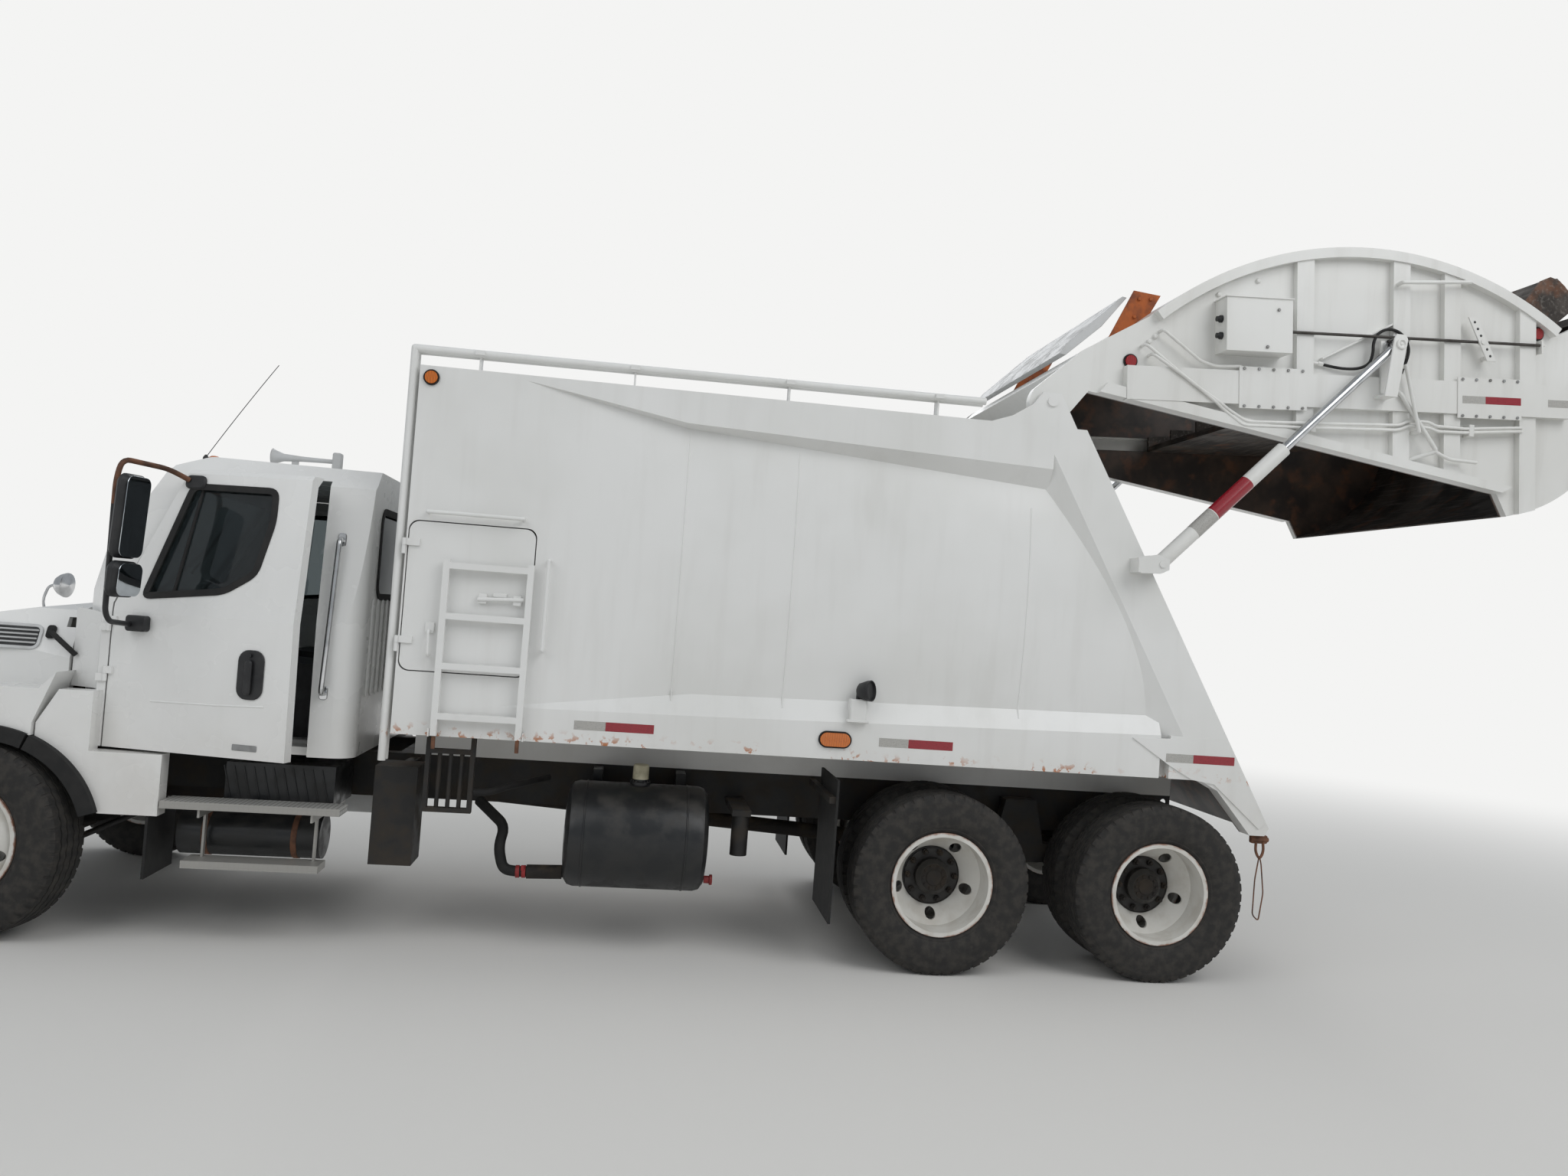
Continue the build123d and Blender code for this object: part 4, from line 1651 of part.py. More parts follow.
def mirror_set(side):
    """Two mirror heads on a bracket that loops out from the door."""
    with BuildPart() as made:
        for low_z, high_z in ((2040, 2460), (1840, 2020)):
            y_low, y_high = sorted((side * (MIRROR_Y - 95), side * (MIRROR_Y + 95)))
            add(block((MIRROR_X - 35, y_low, low_z), (MIRROR_X + 35, y_high, high_z)))
        bar_x = MIRROR_X + 70
        anchor_high = (AXLE_1_X + 4370, side * (CAB_HALF_WIDTH - 100), 2350)
        anchor_low = (AXLE_1_X + 4540, side * (CAB_HALF_WIDTH - 30), 1700)
        add(
            bent_bar(
                [
                    anchor_high, (bar_x, side * MIRROR_Y, 2530), (bar_x, side * (MIRROR_Y + 20), 1720),
                    anchor_low,
                ],
                14,
            )
        )
        for bolt_z in (2250, 1930):
            add(rod_between((MIRROR_X, side * MIRROR_Y, bolt_z), (bar_x, side * MIRROR_Y, bolt_z), 12))
        add(cab_block(-SEAT_GAP), mode=Mode.SUBTRACT)
    return made.part


def ajar(piece):
    """Swing the driver's door to where it was left."""
    return piece.rotate(Axis((DOOR_FRONT_X + 5, DOOR_HINGE_Y, 0), (0, 0, 1)), -DOOR_AJAR)


keep("door_left", ajar(door(1)))
keep("door_glass_left", ajar(door_glass(1)))
keep("mirror_left", ajar(mirror(mirror_set(-1), about=Plane.XZ)))
keep("door_right", door(-1))
keep("door_glass_right", door_glass(-1))
keep("mirror_right", mirror_set(-1))

# Inside of the cab: seats, dashboard and steering wheel on its column
DASH_HALF_WIDTH = CAB_HALF_WIDTH - 145.0
with BuildPart() as dashboard:
    add(side_plate(
        [
            (AXLE_1_X + 4690, 1390), (AXLE_1_X + 4560, 1480), (AXLE_1_X + 4540, 1620),
            (AXLE_1_X + 4630, 1725),
            (CAB_COWL_X, 1725), (CAB_COWL_X, 1390),
        ],
        -DASH_HALF_WIDTH, DASH_HALF_WIDTH,
    ))
    add(cab_block(CAB_WALL + SEAT_GAP), mode=Mode.INTERSECT)
with BuildPart() as cab_interior:
    seat_floor = CAB_FLOOR_Z + CAB_WALL + SEAT_GAP
    for seat_y in (-480.0, 480.0):
        with BuildSketch(side_plane(seat_y + 240)):
            with BuildLine():
                Polyline(
                    (AXLE_1_X + 3560, seat_floor), (AXLE_1_X + 4020, seat_floor),
                    (AXLE_1_X + 4090, seat_floor + 390),
                    (AXLE_1_X + 4080, seat_floor + 450), (AXLE_1_X + 3680, seat_floor + 420),
                    (AXLE_1_X + 3570, seat_floor + 1080), (AXLE_1_X + 3470, seat_floor + 1070),
                    (AXLE_1_X + 3530, seat_floor + 380), close=True,
                )
            make_face()
        extrude(amount=480)
    add(dashboard.part)
    add(rod_between((AXLE_1_X + 4700, 480, 1480), (AXLE_1_X + 4380, 480, 1700), 32))
    with Locations(Plane(origin=(AXLE_1_X + 4372, 480, 1705), z_dir=(-0.824, 0, 0.567))):
        Torus(215, 15)
        Cylinder(50, 40)
        Box(420, 36, 14)
keep("cab_interior", cab_interior.part)

# Bonnet with its fenders


def bonnet_block(inset):
    """Solid form of the bonnet without its fenders, smaller by an inset all round."""
    with BuildPart() as form:
        with BuildSketch(side_plane(BONNET_HALF_WIDTH + 50)):
            with BuildLine():
                Polyline(
                    (BONNET_REAR_X, BONNET_BOTTOM_Z), (BONNET_REAR_X, BONNET_REAR_Z), (AXLE_1_X + 5500, 1660),
                    (BONNET_FRONT_X - 150, BONNET_NOSE_Z + 20), (BONNET_FRONT_X - 30, BONNET_NOSE_Z - 160),
                    (BONNET_FRONT_X, BONNET_BOTTOM_Z), close=True,
                )
            make_face()
            if inset:
                offset(amount=-inset, kind=Kind.INTERSECTION, mode=Mode.REPLACE)
        extrude(amount=2 * BONNET_HALF_WIDTH + 100)
        with BuildSketch(Plane.XY.offset(BONNET_BOTTOM_Z - 50), mode=Mode.PRIVATE) as plan_view:
            with BuildLine():
                Polyline(
                    (BONNET_REAR_X, -BONNET_HALF_WIDTH), (BONNET_REAR_X, BONNET_HALF_WIDTH),
                    (BONNET_FRONT_X - 320, BONNET_HALF_WIDTH - 60),
                    (BONNET_FRONT_X - 90, BONNET_HALF_WIDTH - 200),
                    (BONNET_FRONT_X, BONNET_HALF_WIDTH - 520), (BONNET_FRONT_X, -BONNET_HALF_WIDTH + 520),
                    (BONNET_FRONT_X - 90, -BONNET_HALF_WIDTH + 200),
                    (BONNET_FRONT_X - 320, -BONNET_HALF_WIDTH + 60),
                    close=True,
                )
            make_face()
            if inset:
                offset(amount=-inset, kind=Kind.INTERSECTION, mode=Mode.REPLACE)
        extrude(plan_view.sketch, amount=1200, mode=Mode.INTERSECT)
        with BuildSketch(cross_plane(BONNET_REAR_X - 50), mode=Mode.PRIVATE) as front_view:
            with BuildLine():
                Polyline(
                    (-BONNET_HALF_WIDTH, BONNET_BOTTOM_Z - 40), (-BONNET_HALF_WIDTH, 1480),
                    (-BONNET_HALF_WIDTH + 110, 1740),
                    (-500, 1810), (500, 1810), (BONNET_HALF_WIDTH - 110, 1740), (BONNET_HALF_WIDTH, 1480),
                    (BONNET_HALF_WIDTH, BONNET_BOTTOM_Z - 40), close=True,
                )
            make_face()
            if inset:
                offset(amount=-inset, kind=Kind.INTERSECTION, mode=Mode.REPLACE)
        extrude(front_view.sketch, amount=BONNET_FRONT_X - BONNET_REAR_X + 100, mode=Mode.INTERSECT)
    return form.part


LAMP_SIZE = (170.0, 220.0)
LAMP_CORNER = 45.0
LAMP_DEPTH = 60.0


def fender_corner_plane(side):
    """Plane of the slanted front corner of a fender: local x up, origin at the middle of the headlamp."""
    return Plane(origin=(BONNET_FRONT_X - 200, side * (FENDER_Y - 99), 1015), x_dir=(0, 0, 1),
                 z_dir=(0.674, side * 0.739, 0))


def headlamp_block(side, gap, height):
    """Body of a headlamp, smaller than its pocket by a gap, up to a height over the fender's corner."""
    with BuildPart() as lamp:
        with BuildSketch(fender_corner_plane(side).offset(gap - LAMP_DEPTH)):
            RectangleRounded(LAMP_SIZE[0] - 2 * gap, LAMP_SIZE[1] - 2 * gap, LAMP_CORNER - gap)
        extrude(amount=LAMP_DEPTH - gap + height)
    return lamp.part


SEAM_LOW = (AXLE_1_X + 4930.0, 1150.0)
SEAM_HIGH = (AXLE_1_X + 4830.0, 1420.0)
bonnet_outer = bonnet_block(0)
bonnet_inner = bonnet_block(BONNET_WALL)
with BuildPart() as bonnet:
    add(bonnet_outer)
    for side in SIDES.values():
        y_low, y_high = sorted((side * (BONNET_HALF_WIDTH - 230), side * FENDER_Y))
        add(side_plate(
            [
                (BONNET_FRONT_X - 60, 860), (BONNET_FRONT_X - 110, 1130), (BONNET_FRONT_X - 300, 1270),
                (FRONT_AXLE_X, 1330), (FRONT_AXLE_X - 250, 1330), (SEAM_HIGH[0] + 8, 1420),
                (BONNET_REAR_X, SEAM_HIGH[1] - 100), (SEAM_LOW[0] + 8, SEAM_LOW[1]), (SEAM_LOW[0] + 8, 860),
            ],
            y_low, y_high,
        ))
    add(bonnet_inner, mode=Mode.SUBTRACT)
    add(block((BONNET_REAR_X - 40, -(BONNET_HALF_WIDTH - BONNET_WALL - 30), BONNET_BOTTOM_Z - 20),
              (BONNET_REAR_X + 60, BONNET_HALF_WIDTH - BONNET_WALL - 30, 1700)), mode=Mode.SUBTRACT)
    add(block((BONNET_REAR_X - 40, -(BONNET_HALF_WIDTH - 240), BONNET_BOTTOM_Z - 20),
              (BONNET_FRONT_X - 60, BONNET_HALF_WIDTH - 240, BONNET_BOTTOM_Z + 60)), mode=Mode.SUBTRACT)
    for side in SIDES.values():
        with BuildSketch(fender_corner_plane(side)):
            Rectangle(640, 700)
        extrude(amount=250, mode=Mode.SUBTRACT)
        add(headlamp_block(side, 0, 40), mode=Mode.SUBTRACT)
        y_low, y_high = sorted((side * 560, side * (FENDER_Y + 20)))
        add(cylinder_y(FRONT_AXLE_X, AXLE_Z, ARCH_RADIUS, y_low, y_high), mode=Mode.SUBTRACT)
        add(side_plate(
            [(BONNET_REAR_X - 60, 800), (BONNET_REAR_X - 60, SEAM_HIGH[1]), (SEAM_HIGH[0] + 5, SEAM_HIGH[1]),
             (SEAM_LOW[0] + 5, SEAM_LOW[1]), (SEAM_LOW[0] + 5, 800)],
            y_low, y_high,
        ), mode=Mode.SUBTRACT)
    with BuildSketch(cross_plane(BONNET_FRONT_X - 200)):
        with Locations((0, 1085)):
            RectangleRounded(900, 360, 60)
    extrude(amount=300, mode=Mode.SUBTRACT)
    for side in SIDES.values():
        y_low, y_high = sorted(
            (side * (RAIL_OUTER_Y + TOW_PLATE + 6), side * (RAIL_OUTER_Y + TOW_PLATE + 22))
        )
        add(side_plate(
            [
                (BONNET_HINGE_X - 18, BONNET_HINGE_Z - 18), (BONNET_FRONT_X - 30, BONNET_HINGE_Z - 18),
                (BONNET_FRONT_X - 30, BONNET_HINGE_Z + 25), (BONNET_HINGE_X - 18, BONNET_HINGE_Z + 18),
            ],
            y_low, y_high,
        ))
        add(
            cylinder_y(
                BONNET_HINGE_X, BONNET_HINGE_Z, BONNET_PIN_RADIUS + PIN_CLEARANCE, y_low - 1, y_high + 1,
            ),
            mode=Mode.SUBTRACT)
keep("bonnet", bonnet.part)

with BuildPart() as headlamps:
    for side in SIDES.values():
        add(headlamp_block(side, SEAT_GAP, 5))
keep("headlamps", headlamps.part)

with BuildPart() as grille:
    with BuildSketch(cross_plane(BONNET_FRONT_X - 70)):
        with Locations((0, 1085)):
            RectangleRounded(900 - 2 * SEAT_GAP, 360 - 2 * SEAT_GAP, 60 - SEAT_GAP)
            RectangleRounded(850, 310, 40, mode=Mode.SUBTRACT)
    extrude(amount=50)
    with BuildSketch(cross_plane(BONNET_FRONT_X - 55)):
        with Locations((0, 1085)):
            with GridLocations(1, 310 / 6, 1, 5):
                Rectangle(852, 16)
            Rectangle(24, 312)
    extrude(amount=24)
keep("grille", grille.part)

# Quarter fenders, fixed to the cab behind the front wheels
QUARTER_LOW_Z = 690.0
with BuildPart() as quarter_fender:
    add(side_plate(
        [
            (AXLE_1_X + 4290, QUARTER_LOW_Z), (AXLE_1_X + 4290, 1015), (DOOR_FRONT_X + 12, 1015),
            (DOOR_FRONT_X + 12, 1330),
            (SEAM_HIGH[0] - 3, SEAM_HIGH[1] - 90), (SEAM_LOW[0] - 3, SEAM_LOW[1]),
            (SEAM_LOW[0] - 3, QUARTER_LOW_Z),
        ],
        CAB_HALF_WIDTH + SEAT_GAP, FENDER_Y - 20,
    ))
    add(cylinder_y(FRONT_AXLE_X, AXLE_Z, ARCH_RADIUS, 600, FENDER_Y + 40), mode=Mode.SUBTRACT)
keep("quarter_fenders", both_sides(quarter_fender.part))

# Steps, battery box and air tank on the left; fuel tank with steps on the right
STEP_OUTER_Y = 1160.0
BATTERY_LOW_Z = 737.0
with BuildPart() as left_steps:
    add(block((AXLE_1_X + 3360, 985, 735), (AXLE_1_X + 4280, STEP_OUTER_Y, 775)))
    add(block((AXLE_1_X + 3450, 1000, 425), (AXLE_1_X + 4150, STEP_OUTER_Y, 465)))
    for station in (3500.0, 4080.0):
        add(
            block(
                (AXLE_1_X + station, RAIL_OUTER_Y + SEAT_GAP, 690),
                (AXLE_1_X + station + 12, STEP_OUTER_Y - 20, BATTERY_LOW_Z - SEAT_GAP),
            )
        )
        add(block((AXLE_1_X + station, 1010, 464), (AXLE_1_X + station + 12, 1040, 691)))
        add(
            block(
                (AXLE_1_X + station, RAIL_OUTER_Y + SEAT_GAP, 690),
                (AXLE_1_X + station + 12, RAIL_OUTER_Y + 60, 960),
            )
        )
keep("left_steps", left_steps.part)

with BuildPart() as battery_box:
    add(block((AXLE_1_X + 3452, 500, BATTERY_LOW_Z), (AXLE_1_X + 4035, 920, 965)))
    add(rod_between((AXLE_1_X + 3500, 850, 565), (AXLE_1_X + 4250, 850, 565), 125 - SEAT_GAP))
battery_part = battery_box.part
keep("battery_box", battery_part)

with BuildPart() as fuel_tank:
    add(rod_between((AXLE_1_X + 3380, -790, 700), (AXLE_1_X + 4240, -790, 700), 290))
    for station in (3500.0, 4080.0):
        add(block((AXLE_1_X + station, -800, 690), (AXLE_1_X + station + 60, -RAIL_OUTER_Y - SEAT_GAP, 960)))
    add(block((AXLE_1_X + 3400, -STEP_OUTER_Y, 735), (AXLE_1_X + 4220, -1060, 775)))
keep("fuel_tank", fuel_tank.part)

TANK_RADIUS = 302.0
with BuildPart() as hydraulic_tank:
    add(rod_between((AXLE_1_X + 1345, 835, 652), (AXLE_1_X + 2172, 835, 652), TANK_RADIUS))
    add(rod_between((AXLE_1_X + 1758, 835, 652), (AXLE_1_X + 1758, 835, 1067), 38))
    for station in (1480.0, 1980.0):
        add(block((AXLE_1_X + station, RAIL_OUTER_Y + SEAT_GAP, 760), (AXLE_1_X + station + 60, 760, 990)))
keep("hydraulic_tank", hydraulic_tank.part)

with BuildPart() as valve_rack:
    for x_low, x_high in ((2680.0, 2704.0), (2920.0, 2944.0)):
        add(block((AXLE_1_X + x_low, 1060, 778), (AXLE_1_X + x_high, 1110, BODY_BOTTOM_Z - SEAT_GAP)))
    for z_low, z_high in ((778.0, 802.0), (1100.0, 1124.0)):
        add(block((AXLE_1_X + 2681, 1060, z_low), (AXLE_1_X + 2943, 1110, z_high)))
    for lever in (2750.0, 2810.0, 2870.0):
        add(rod_between((AXLE_1_X + lever, 1085, 801), (AXLE_1_X + lever, 1085, 1101), 12))
    # valve box and filter canister, each on an arm from the frame rail
    add(block((AXLE_1_X + 2995, 750, 452), (AXLE_1_X + 3226, 1000, 1000)))
    add(block((AXLE_1_X + 3080, RAIL_OUTER_Y + SEAT_GAP, 930), (AXLE_1_X + 3140, 751, 980)))
    add(rod_between((AXLE_1_X + 1160, 900, 580), (AXLE_1_X + 1160, 900, 812), 50))
    add(block((AXLE_1_X + 1105, RAIL_OUTER_Y + SEAT_GAP, 811), (AXLE_1_X + 1215, 952, 846)))
keep("valve_rack", valve_rack.part)

with BuildPart() as mud_flaps:
    flaps = (
        # station, low z, high z, inner y, outer y
        (FLAP_X, 275.0, 1085.0, 640.0, 1200.0),
        (AXLE_1_X + 4335.0, 352.0, QUARTER_LOW_Z - SEAT_GAP, 760.0, 1140.0),
    )
    for station, low_z, high_z, inner_y, outer_y in flaps:
        for side in SIDES.values():
            y_low, y_high = sorted((side * inner_y, side * outer_y))
            add(block((station, y_low, low_z), (station + FLAP_THICKNESS, y_high, high_z)))
keep("mud_flaps", mud_flaps.part)

for name, piece in pieces.items():
    export_step(piece, f"parts/{name}.step")
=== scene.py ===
"""A white rear-loading refuse truck parked with its tailgate raised.

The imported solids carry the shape. This file adds tyre tread, wheel studs, lamps, tape, pipes, handles,
glass seals and the rest of the trim, and gives every piece its finish. Lengths are in metres. A spot on the
truck is given as x ahead of the first rear axle, distance out from the middle, and z above the ground.
"""

import json

import bmesh
import bpy
import numpy as np
from mathutils import Matrix


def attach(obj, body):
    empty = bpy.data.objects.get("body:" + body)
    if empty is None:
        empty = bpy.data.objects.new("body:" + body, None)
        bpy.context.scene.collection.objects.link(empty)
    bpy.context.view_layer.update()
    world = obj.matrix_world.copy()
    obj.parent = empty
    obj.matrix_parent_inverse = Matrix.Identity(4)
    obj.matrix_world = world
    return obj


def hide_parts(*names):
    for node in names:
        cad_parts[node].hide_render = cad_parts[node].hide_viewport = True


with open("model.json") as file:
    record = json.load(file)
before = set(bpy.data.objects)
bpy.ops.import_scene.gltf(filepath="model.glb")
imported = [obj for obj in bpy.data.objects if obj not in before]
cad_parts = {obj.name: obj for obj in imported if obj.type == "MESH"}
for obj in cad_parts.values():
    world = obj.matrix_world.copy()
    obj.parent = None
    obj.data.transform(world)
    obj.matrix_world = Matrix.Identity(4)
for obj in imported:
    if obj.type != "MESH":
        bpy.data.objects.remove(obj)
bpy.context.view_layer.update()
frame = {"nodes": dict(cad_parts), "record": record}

NODES = frame["nodes"]
JOINTS = {joint["name"]: joint for joint in frame["record"]["behaviour"]["joints"]}
SIDES = {"left": 1, "right": -1}
TAU = 2 * np.pi
AHEAD, LEFTWARD, UPWARD = np.eye(3)

AXLE_X = JOINTS["spin_rear_1_left"]["pos_m"][0]
# Distance out from the middle of the body's wall, the tailgate's wall, the packer channel and the tail's ribs
BODY_Y = 1.220
TAIL_Y = 1.160
CHANNEL_Y = 1.216
TAIL_RIB_Y = 1.200


def at(spots, side=1):
    """Places in the row's frame of one spot or several, on the truck's left or mirrored to its right."""
    return np.asarray(spots, float) * (1, side, 1) + (AXLE_X, 0, 0)


# Shader helpers
SMOOTH = {"interpolation_type": "SMOOTHSTEP"}


def srgb(text):
    """Linear RGBA of an sRGB hex colour such as D9D8D4."""
    level = np.array([int(text[i:i + 2], 16) for i in (0, 2, 4)]) / 255
    linear = np.where(level <= 0.04045, level / 12.92, ((level + 0.055) / 1.055) ** 2.4)
    return (*linear.tolist(), 1.0)


def node(tree, kind, settings=None, **inputs):
    """Add one shader node, set its own settings, and set or link its inputs, named with _ for a space or
    numbered i0, i1 and so on. A value is a number, a hex colour, a socket, or a node for its first output."""
    made = tree.nodes.new("ShaderNode" + kind)
    for key, value in (settings or {}).items():
        setattr(made, key, value)
    for key, value in inputs.items():
        socket = made.inputs[int(key[1:]) if key[1:].isdigit() else key.replace("_", " ")]
        if isinstance(value, bpy.types.Node):
            value = value.outputs[0]
        if isinstance(value, bpy.types.NodeSocket):
            tree.links.new(value, socket)
        else:
            socket.default_value = srgb(value) if isinstance(value, str) else value
    return made


def blank(name):
    """A new material and its empty node tree."""
    material = bpy.data.materials.new(name)
    material.use_nodes = True
    material.node_tree.nodes.clear()
    return material, material.node_tree


def finished(material, **inputs):
    """The material, once a Principled shader with these inputs is joined to its output."""
    shader = node(material.node_tree, "BsdfPrincipled", **inputs)
    node(material.node_tree, "OutputMaterial", Surface=shader)
    return material


def mottle(tree, size, detail=3.0, stretch=(1, 1, 1)):
    """Fractal noise whose main features are about size metres across, on Object coordinates."""
    place = node(tree, "TexCoord").outputs["Object"]
    scaled = node(tree, "Mapping", Vector=place, Scale=tuple(s / size for s in stretch))
    return node(tree, "TexNoise", Vector=scaled, Scale=1.0, Detail=detail, Roughness=0.55).outputs[0]


def patches(tree, size, low, high, detail=3.0, start=0.0, end=1.0, stretch=(1, 1, 1)):
    """Smooth step from start to end where such a noise rises from low to high."""
    cloud = mottle(tree, size, detail, stretch)
    return node(tree, "MapRange", SMOOTH, Value=cloud, i1=low, i2=high, i3=start, i4=end).outputs[0]


def grain(tree, size, detail, depth, strength):
    """Surface relief of such a noise, of the given depth in metres."""
    return node(tree, "Bump", Height=mottle(tree, size, detail), Distance=depth, Strength=strength).outputs[0]


def lay(tree, under, over, *covers):
    """One colour laid over another to the product of its covers, which are patterns or plain shares."""
    cover, *others = covers
    for other in others:
        cover = node(tree, "Math", {"operation": "MULTIPLY"}, i0=cover, i1=other)
    return node(tree, "Mix", {"data_type": "RGBA"}, i0=cover, i6=under, i7=over).outputs[2]


# Finishes


def facing_in(tree, centre, half_width):
    """Two shares: 1 between the side walls of a hollow, and 1 on what faces its centre."""
    coordinates = node(tree, "TexCoord").outputs
    away = node(tree, "VectorMath", {"operation": "SUBTRACT"}, i0=coordinates["Object"], i1=centre)
    facing = node(tree, "VectorMath", {"operation": "DOT_PRODUCT"}, i0=away, i1=coordinates["Normal"])
    across = node(tree, "SeparateXYZ", Vector=coordinates["Object"]).outputs[1]
    half = node(tree, "Math", {"operation": "ABSOLUTE"}, i0=across)
    return (node(tree, "MapRange", SMOOTH, Value=half, i1=half_width + 0.005, i2=half_width - 0.005),
            node(tree, "MapRange", SMOOTH, Value=facing.outputs["Value"], i1=0.0, i2=-0.05))


def sprayed_enamel(name, colour, shade, gloss, streaks, rust_band=None, hollow=None):
    """Sprayed enamel on sheet steel: slight orange peel, rain streaks, dust low down, rust where water sits.
    The inside of a hollow is worn to grimy brown plate."""
    material, tree = blank(name)
    height = node(tree, "SeparateXYZ", Vector=node(tree, "TexCoord").outputs["Object"]).outputs[2]
    low_dust = node(tree, "MapRange", SMOOTH, Value=height, i1=1.55, i2=0.7)
    paint = lay(tree, colour, shade, patches(tree, 0.9, 0.35, 0.7), 0.55)
    paint = lay(tree, paint, "9C968B", patches(tree, 0.10, 0.48, 0.75, 4, stretch=(1, 1, 0.09)), streaks)
    paint = lay(tree, paint, "A2937F", low_dust, mottle(tree, 0.22), 0.35)
    if rust_band:
        low, high, amount = rust_band
        zone = [node(tree, "MapRange", SMOOTH, Value=height, i1=start, i2=end)
                for start, end in ((high, low), (low - 0.03, low))]
        specks = patches(tree, 0.045, 0.66 - amount, 0.73 - amount, 4)
        paint = lay(tree, paint, "B0672B", *zone, specks, patches(tree, 0.42, 0.46, 0.55, 2))
    if hollow:
        grime = lay(tree, "54453B", "2C2521", patches(tree, 0.3, 0.35, 0.65, 5))
        grime = lay(tree, grime, "7A5138", patches(tree, 0.14, 0.52, 0.7, 4), 0.5)
        paint = lay(tree, paint, grime, *facing_in(tree, *hollow))
    rough = patches(tree, 0.3, 0.3, 0.8, 3, gloss, gloss + 0.12)
    return finished(material, Base_Color=paint, Roughness=rough, Coat_Weight=0.25, Coat_Roughness=0.18,
                    Normal=grain(tree, 0.006, 2, 0.0002, 0.4))


def dusty_steel(name, colour, dust, gloss, metal, dusting):
    """Painted or bare chassis steel with road dust lying on what faces up."""
    material, tree = blank(name)
    facing = node(tree, "SeparateXYZ", Vector=node(tree, "TexCoord").outputs["Normal"]).outputs[2]
    upward = node(tree, "MapRange", SMOOTH, Value=facing, i1=-0.2, i2=0.9, i3=0.35, i4=1.0)
    patch = patches(tree, 0.12, 0.38, 0.68, 4)
    rough = node(tree, "MapRange", SMOOTH, Value=patch, i3=gloss, i4=min(gloss + 0.25, 1))
    return finished(material, Base_Color=lay(tree, colour, dust, patch, upward, dusting), Roughness=rough,
                    Metallic=metal, Normal=grain(tree, 0.012, 3, 0.0006, 0.5))


def scoured_steel(name):
    """Hopper plate scoured by refuse: brown-black film over steel, scratches down the plate, rust bloom."""
    material, tree = blank(name)
    film = patches(tree, 0.35, 0.35, 0.65, 5)
    colour = lay(tree, "4A423B", "2A2623", film)
    colour = lay(tree, colour, "7A5138", patches(tree, 0.16, 0.52, 0.7, 4), 0.6)
    colour = lay(tree, colour, "8C8780", patches(tree, 0.02, 0.5, 0.72, 2, stretch=(1.0, 0.06, 1.0)), 0.35)
    return finished(material, Base_Color=colour, Metallic=0.25, Normal=grain(tree, 0.05, 4, 0.002, 0.5),
                    Roughness=node(tree, "MapRange", SMOOTH, Value=film, i3=0.45, i4=0.75))


def tyre_rubber(name):
    """Carbon-black rubber greyed by gravel dust, matt and slightly grained."""
    material, tree = blank(name)
    colour = lay(tree, "1F1F1F", "4A453F", patches(tree, 0.05, 0.35, 0.7, 5, 0.10, 0.5))
    return finished(material, Base_Color=colour, Roughness=0.82, Normal=grain(tree, 0.008, 2, 0.0005, 0.4))


def rim_enamel(name, centre, axis):
    """White wheel enamel with rust creeping in from the rim's edge, dust on the disc and a dark hub."""
    material, tree = blank(name)
    place = node(tree, "TexCoord").outputs["Object"]
    out = node(tree, "VectorMath", {"operation": "SUBTRACT"}, i0=place, i1=centre)
    across = node(tree, "VectorMath", {"operation": "CROSS_PRODUCT"}, i0=out, i1=axis)
    radius = node(tree, "VectorMath", {"operation": "LENGTH"}, i0=across).outputs["Value"]
    ragged = node(tree, "Math", {"operation": "MULTIPLY_ADD"}, i0=mottle(tree, 0.05, 4), i1=0.03, i2=radius)
    edge = node(tree, "MapRange", SMOOTH, Value=ragged, i1=0.303, i2=0.316)
    hub = node(tree, "MapRange", SMOOTH, Value=radius, i1=0.176, i2=0.172)
    paint = lay(tree, "DAD8D2", "B4AC9F", patches(tree, 0.12, 0.4, 0.7), 0.4)
    paint = lay(tree, lay(tree, paint, "8A5334", edge, 0.85), "2B2927", hub)
    return finished(material, Base_Color=paint, Roughness=0.45, Normal=grain(tree, 0.02, 3, 0.0004, 0.4))


def plain_finish(name, colour, shade, rough, metal=0.0, fine=0.01):
    """Moulded or rolled stock: two near shades and a fine grain."""
    material, tree = blank(name)
    return finished(material, Base_Color=lay(tree, colour, shade, patches(tree, 0.08, 0.35, 0.7)),
                    Roughness=rough, Metallic=metal, Normal=grain(tree, fine, 2, 0.0003, 0.35))


def tinted_glass(name):
    """Grey-tinted safety glass: almost black from outside by day, with a clean reflection."""
    material, tree = blank(name)
    return finished(material, Base_Color="5C6466", Transmission_Weight=0.92, IOR=1.5,
                    Roughness=patches(tree, 0.25, 0.45, 0.75, 3, 0.02, 0.09))


def lens_plastic(name, colour, deep):
    """Moulded acrylic lamp lens with fine optic flutes about 8 mm apart."""
    material, tree = blank(name)
    flutes = node(tree, "TexWave", {"bands_direction": "X"}, Vector=node(tree, "TexCoord").outputs["Object"],
                  Scale=40.0).outputs["Fac"]
    return finished(material, Base_Color=lay(tree, deep, colour, flutes), Roughness=0.18, Coat_Weight=0.6,
                    Coat_Roughness=0.05, IOR=1.49,
                    Normal=node(tree, "Bump", Height=flutes, Distance=0.0006, Strength=0.5))


def marking_tape(name, colour, deep):
    """Retroreflective tape: cube-corner cells about 5 mm across under clear film."""
    material, tree = blank(name)
    cells = node(tree, "TexVoronoi", {"feature": "DISTANCE_TO_EDGE"}, Scale=200.0,
                 Vector=node(tree, "TexCoord").outputs["Object"])
    inside = node(tree, "MapRange", SMOOTH, Value=cells, i1=0.0, i2=0.2)
    return finished(material, Base_Color=lay(tree, deep, colour, inside), Roughness=0.3, Coat_Weight=0.4,
                    Coat_Roughness=0.1)


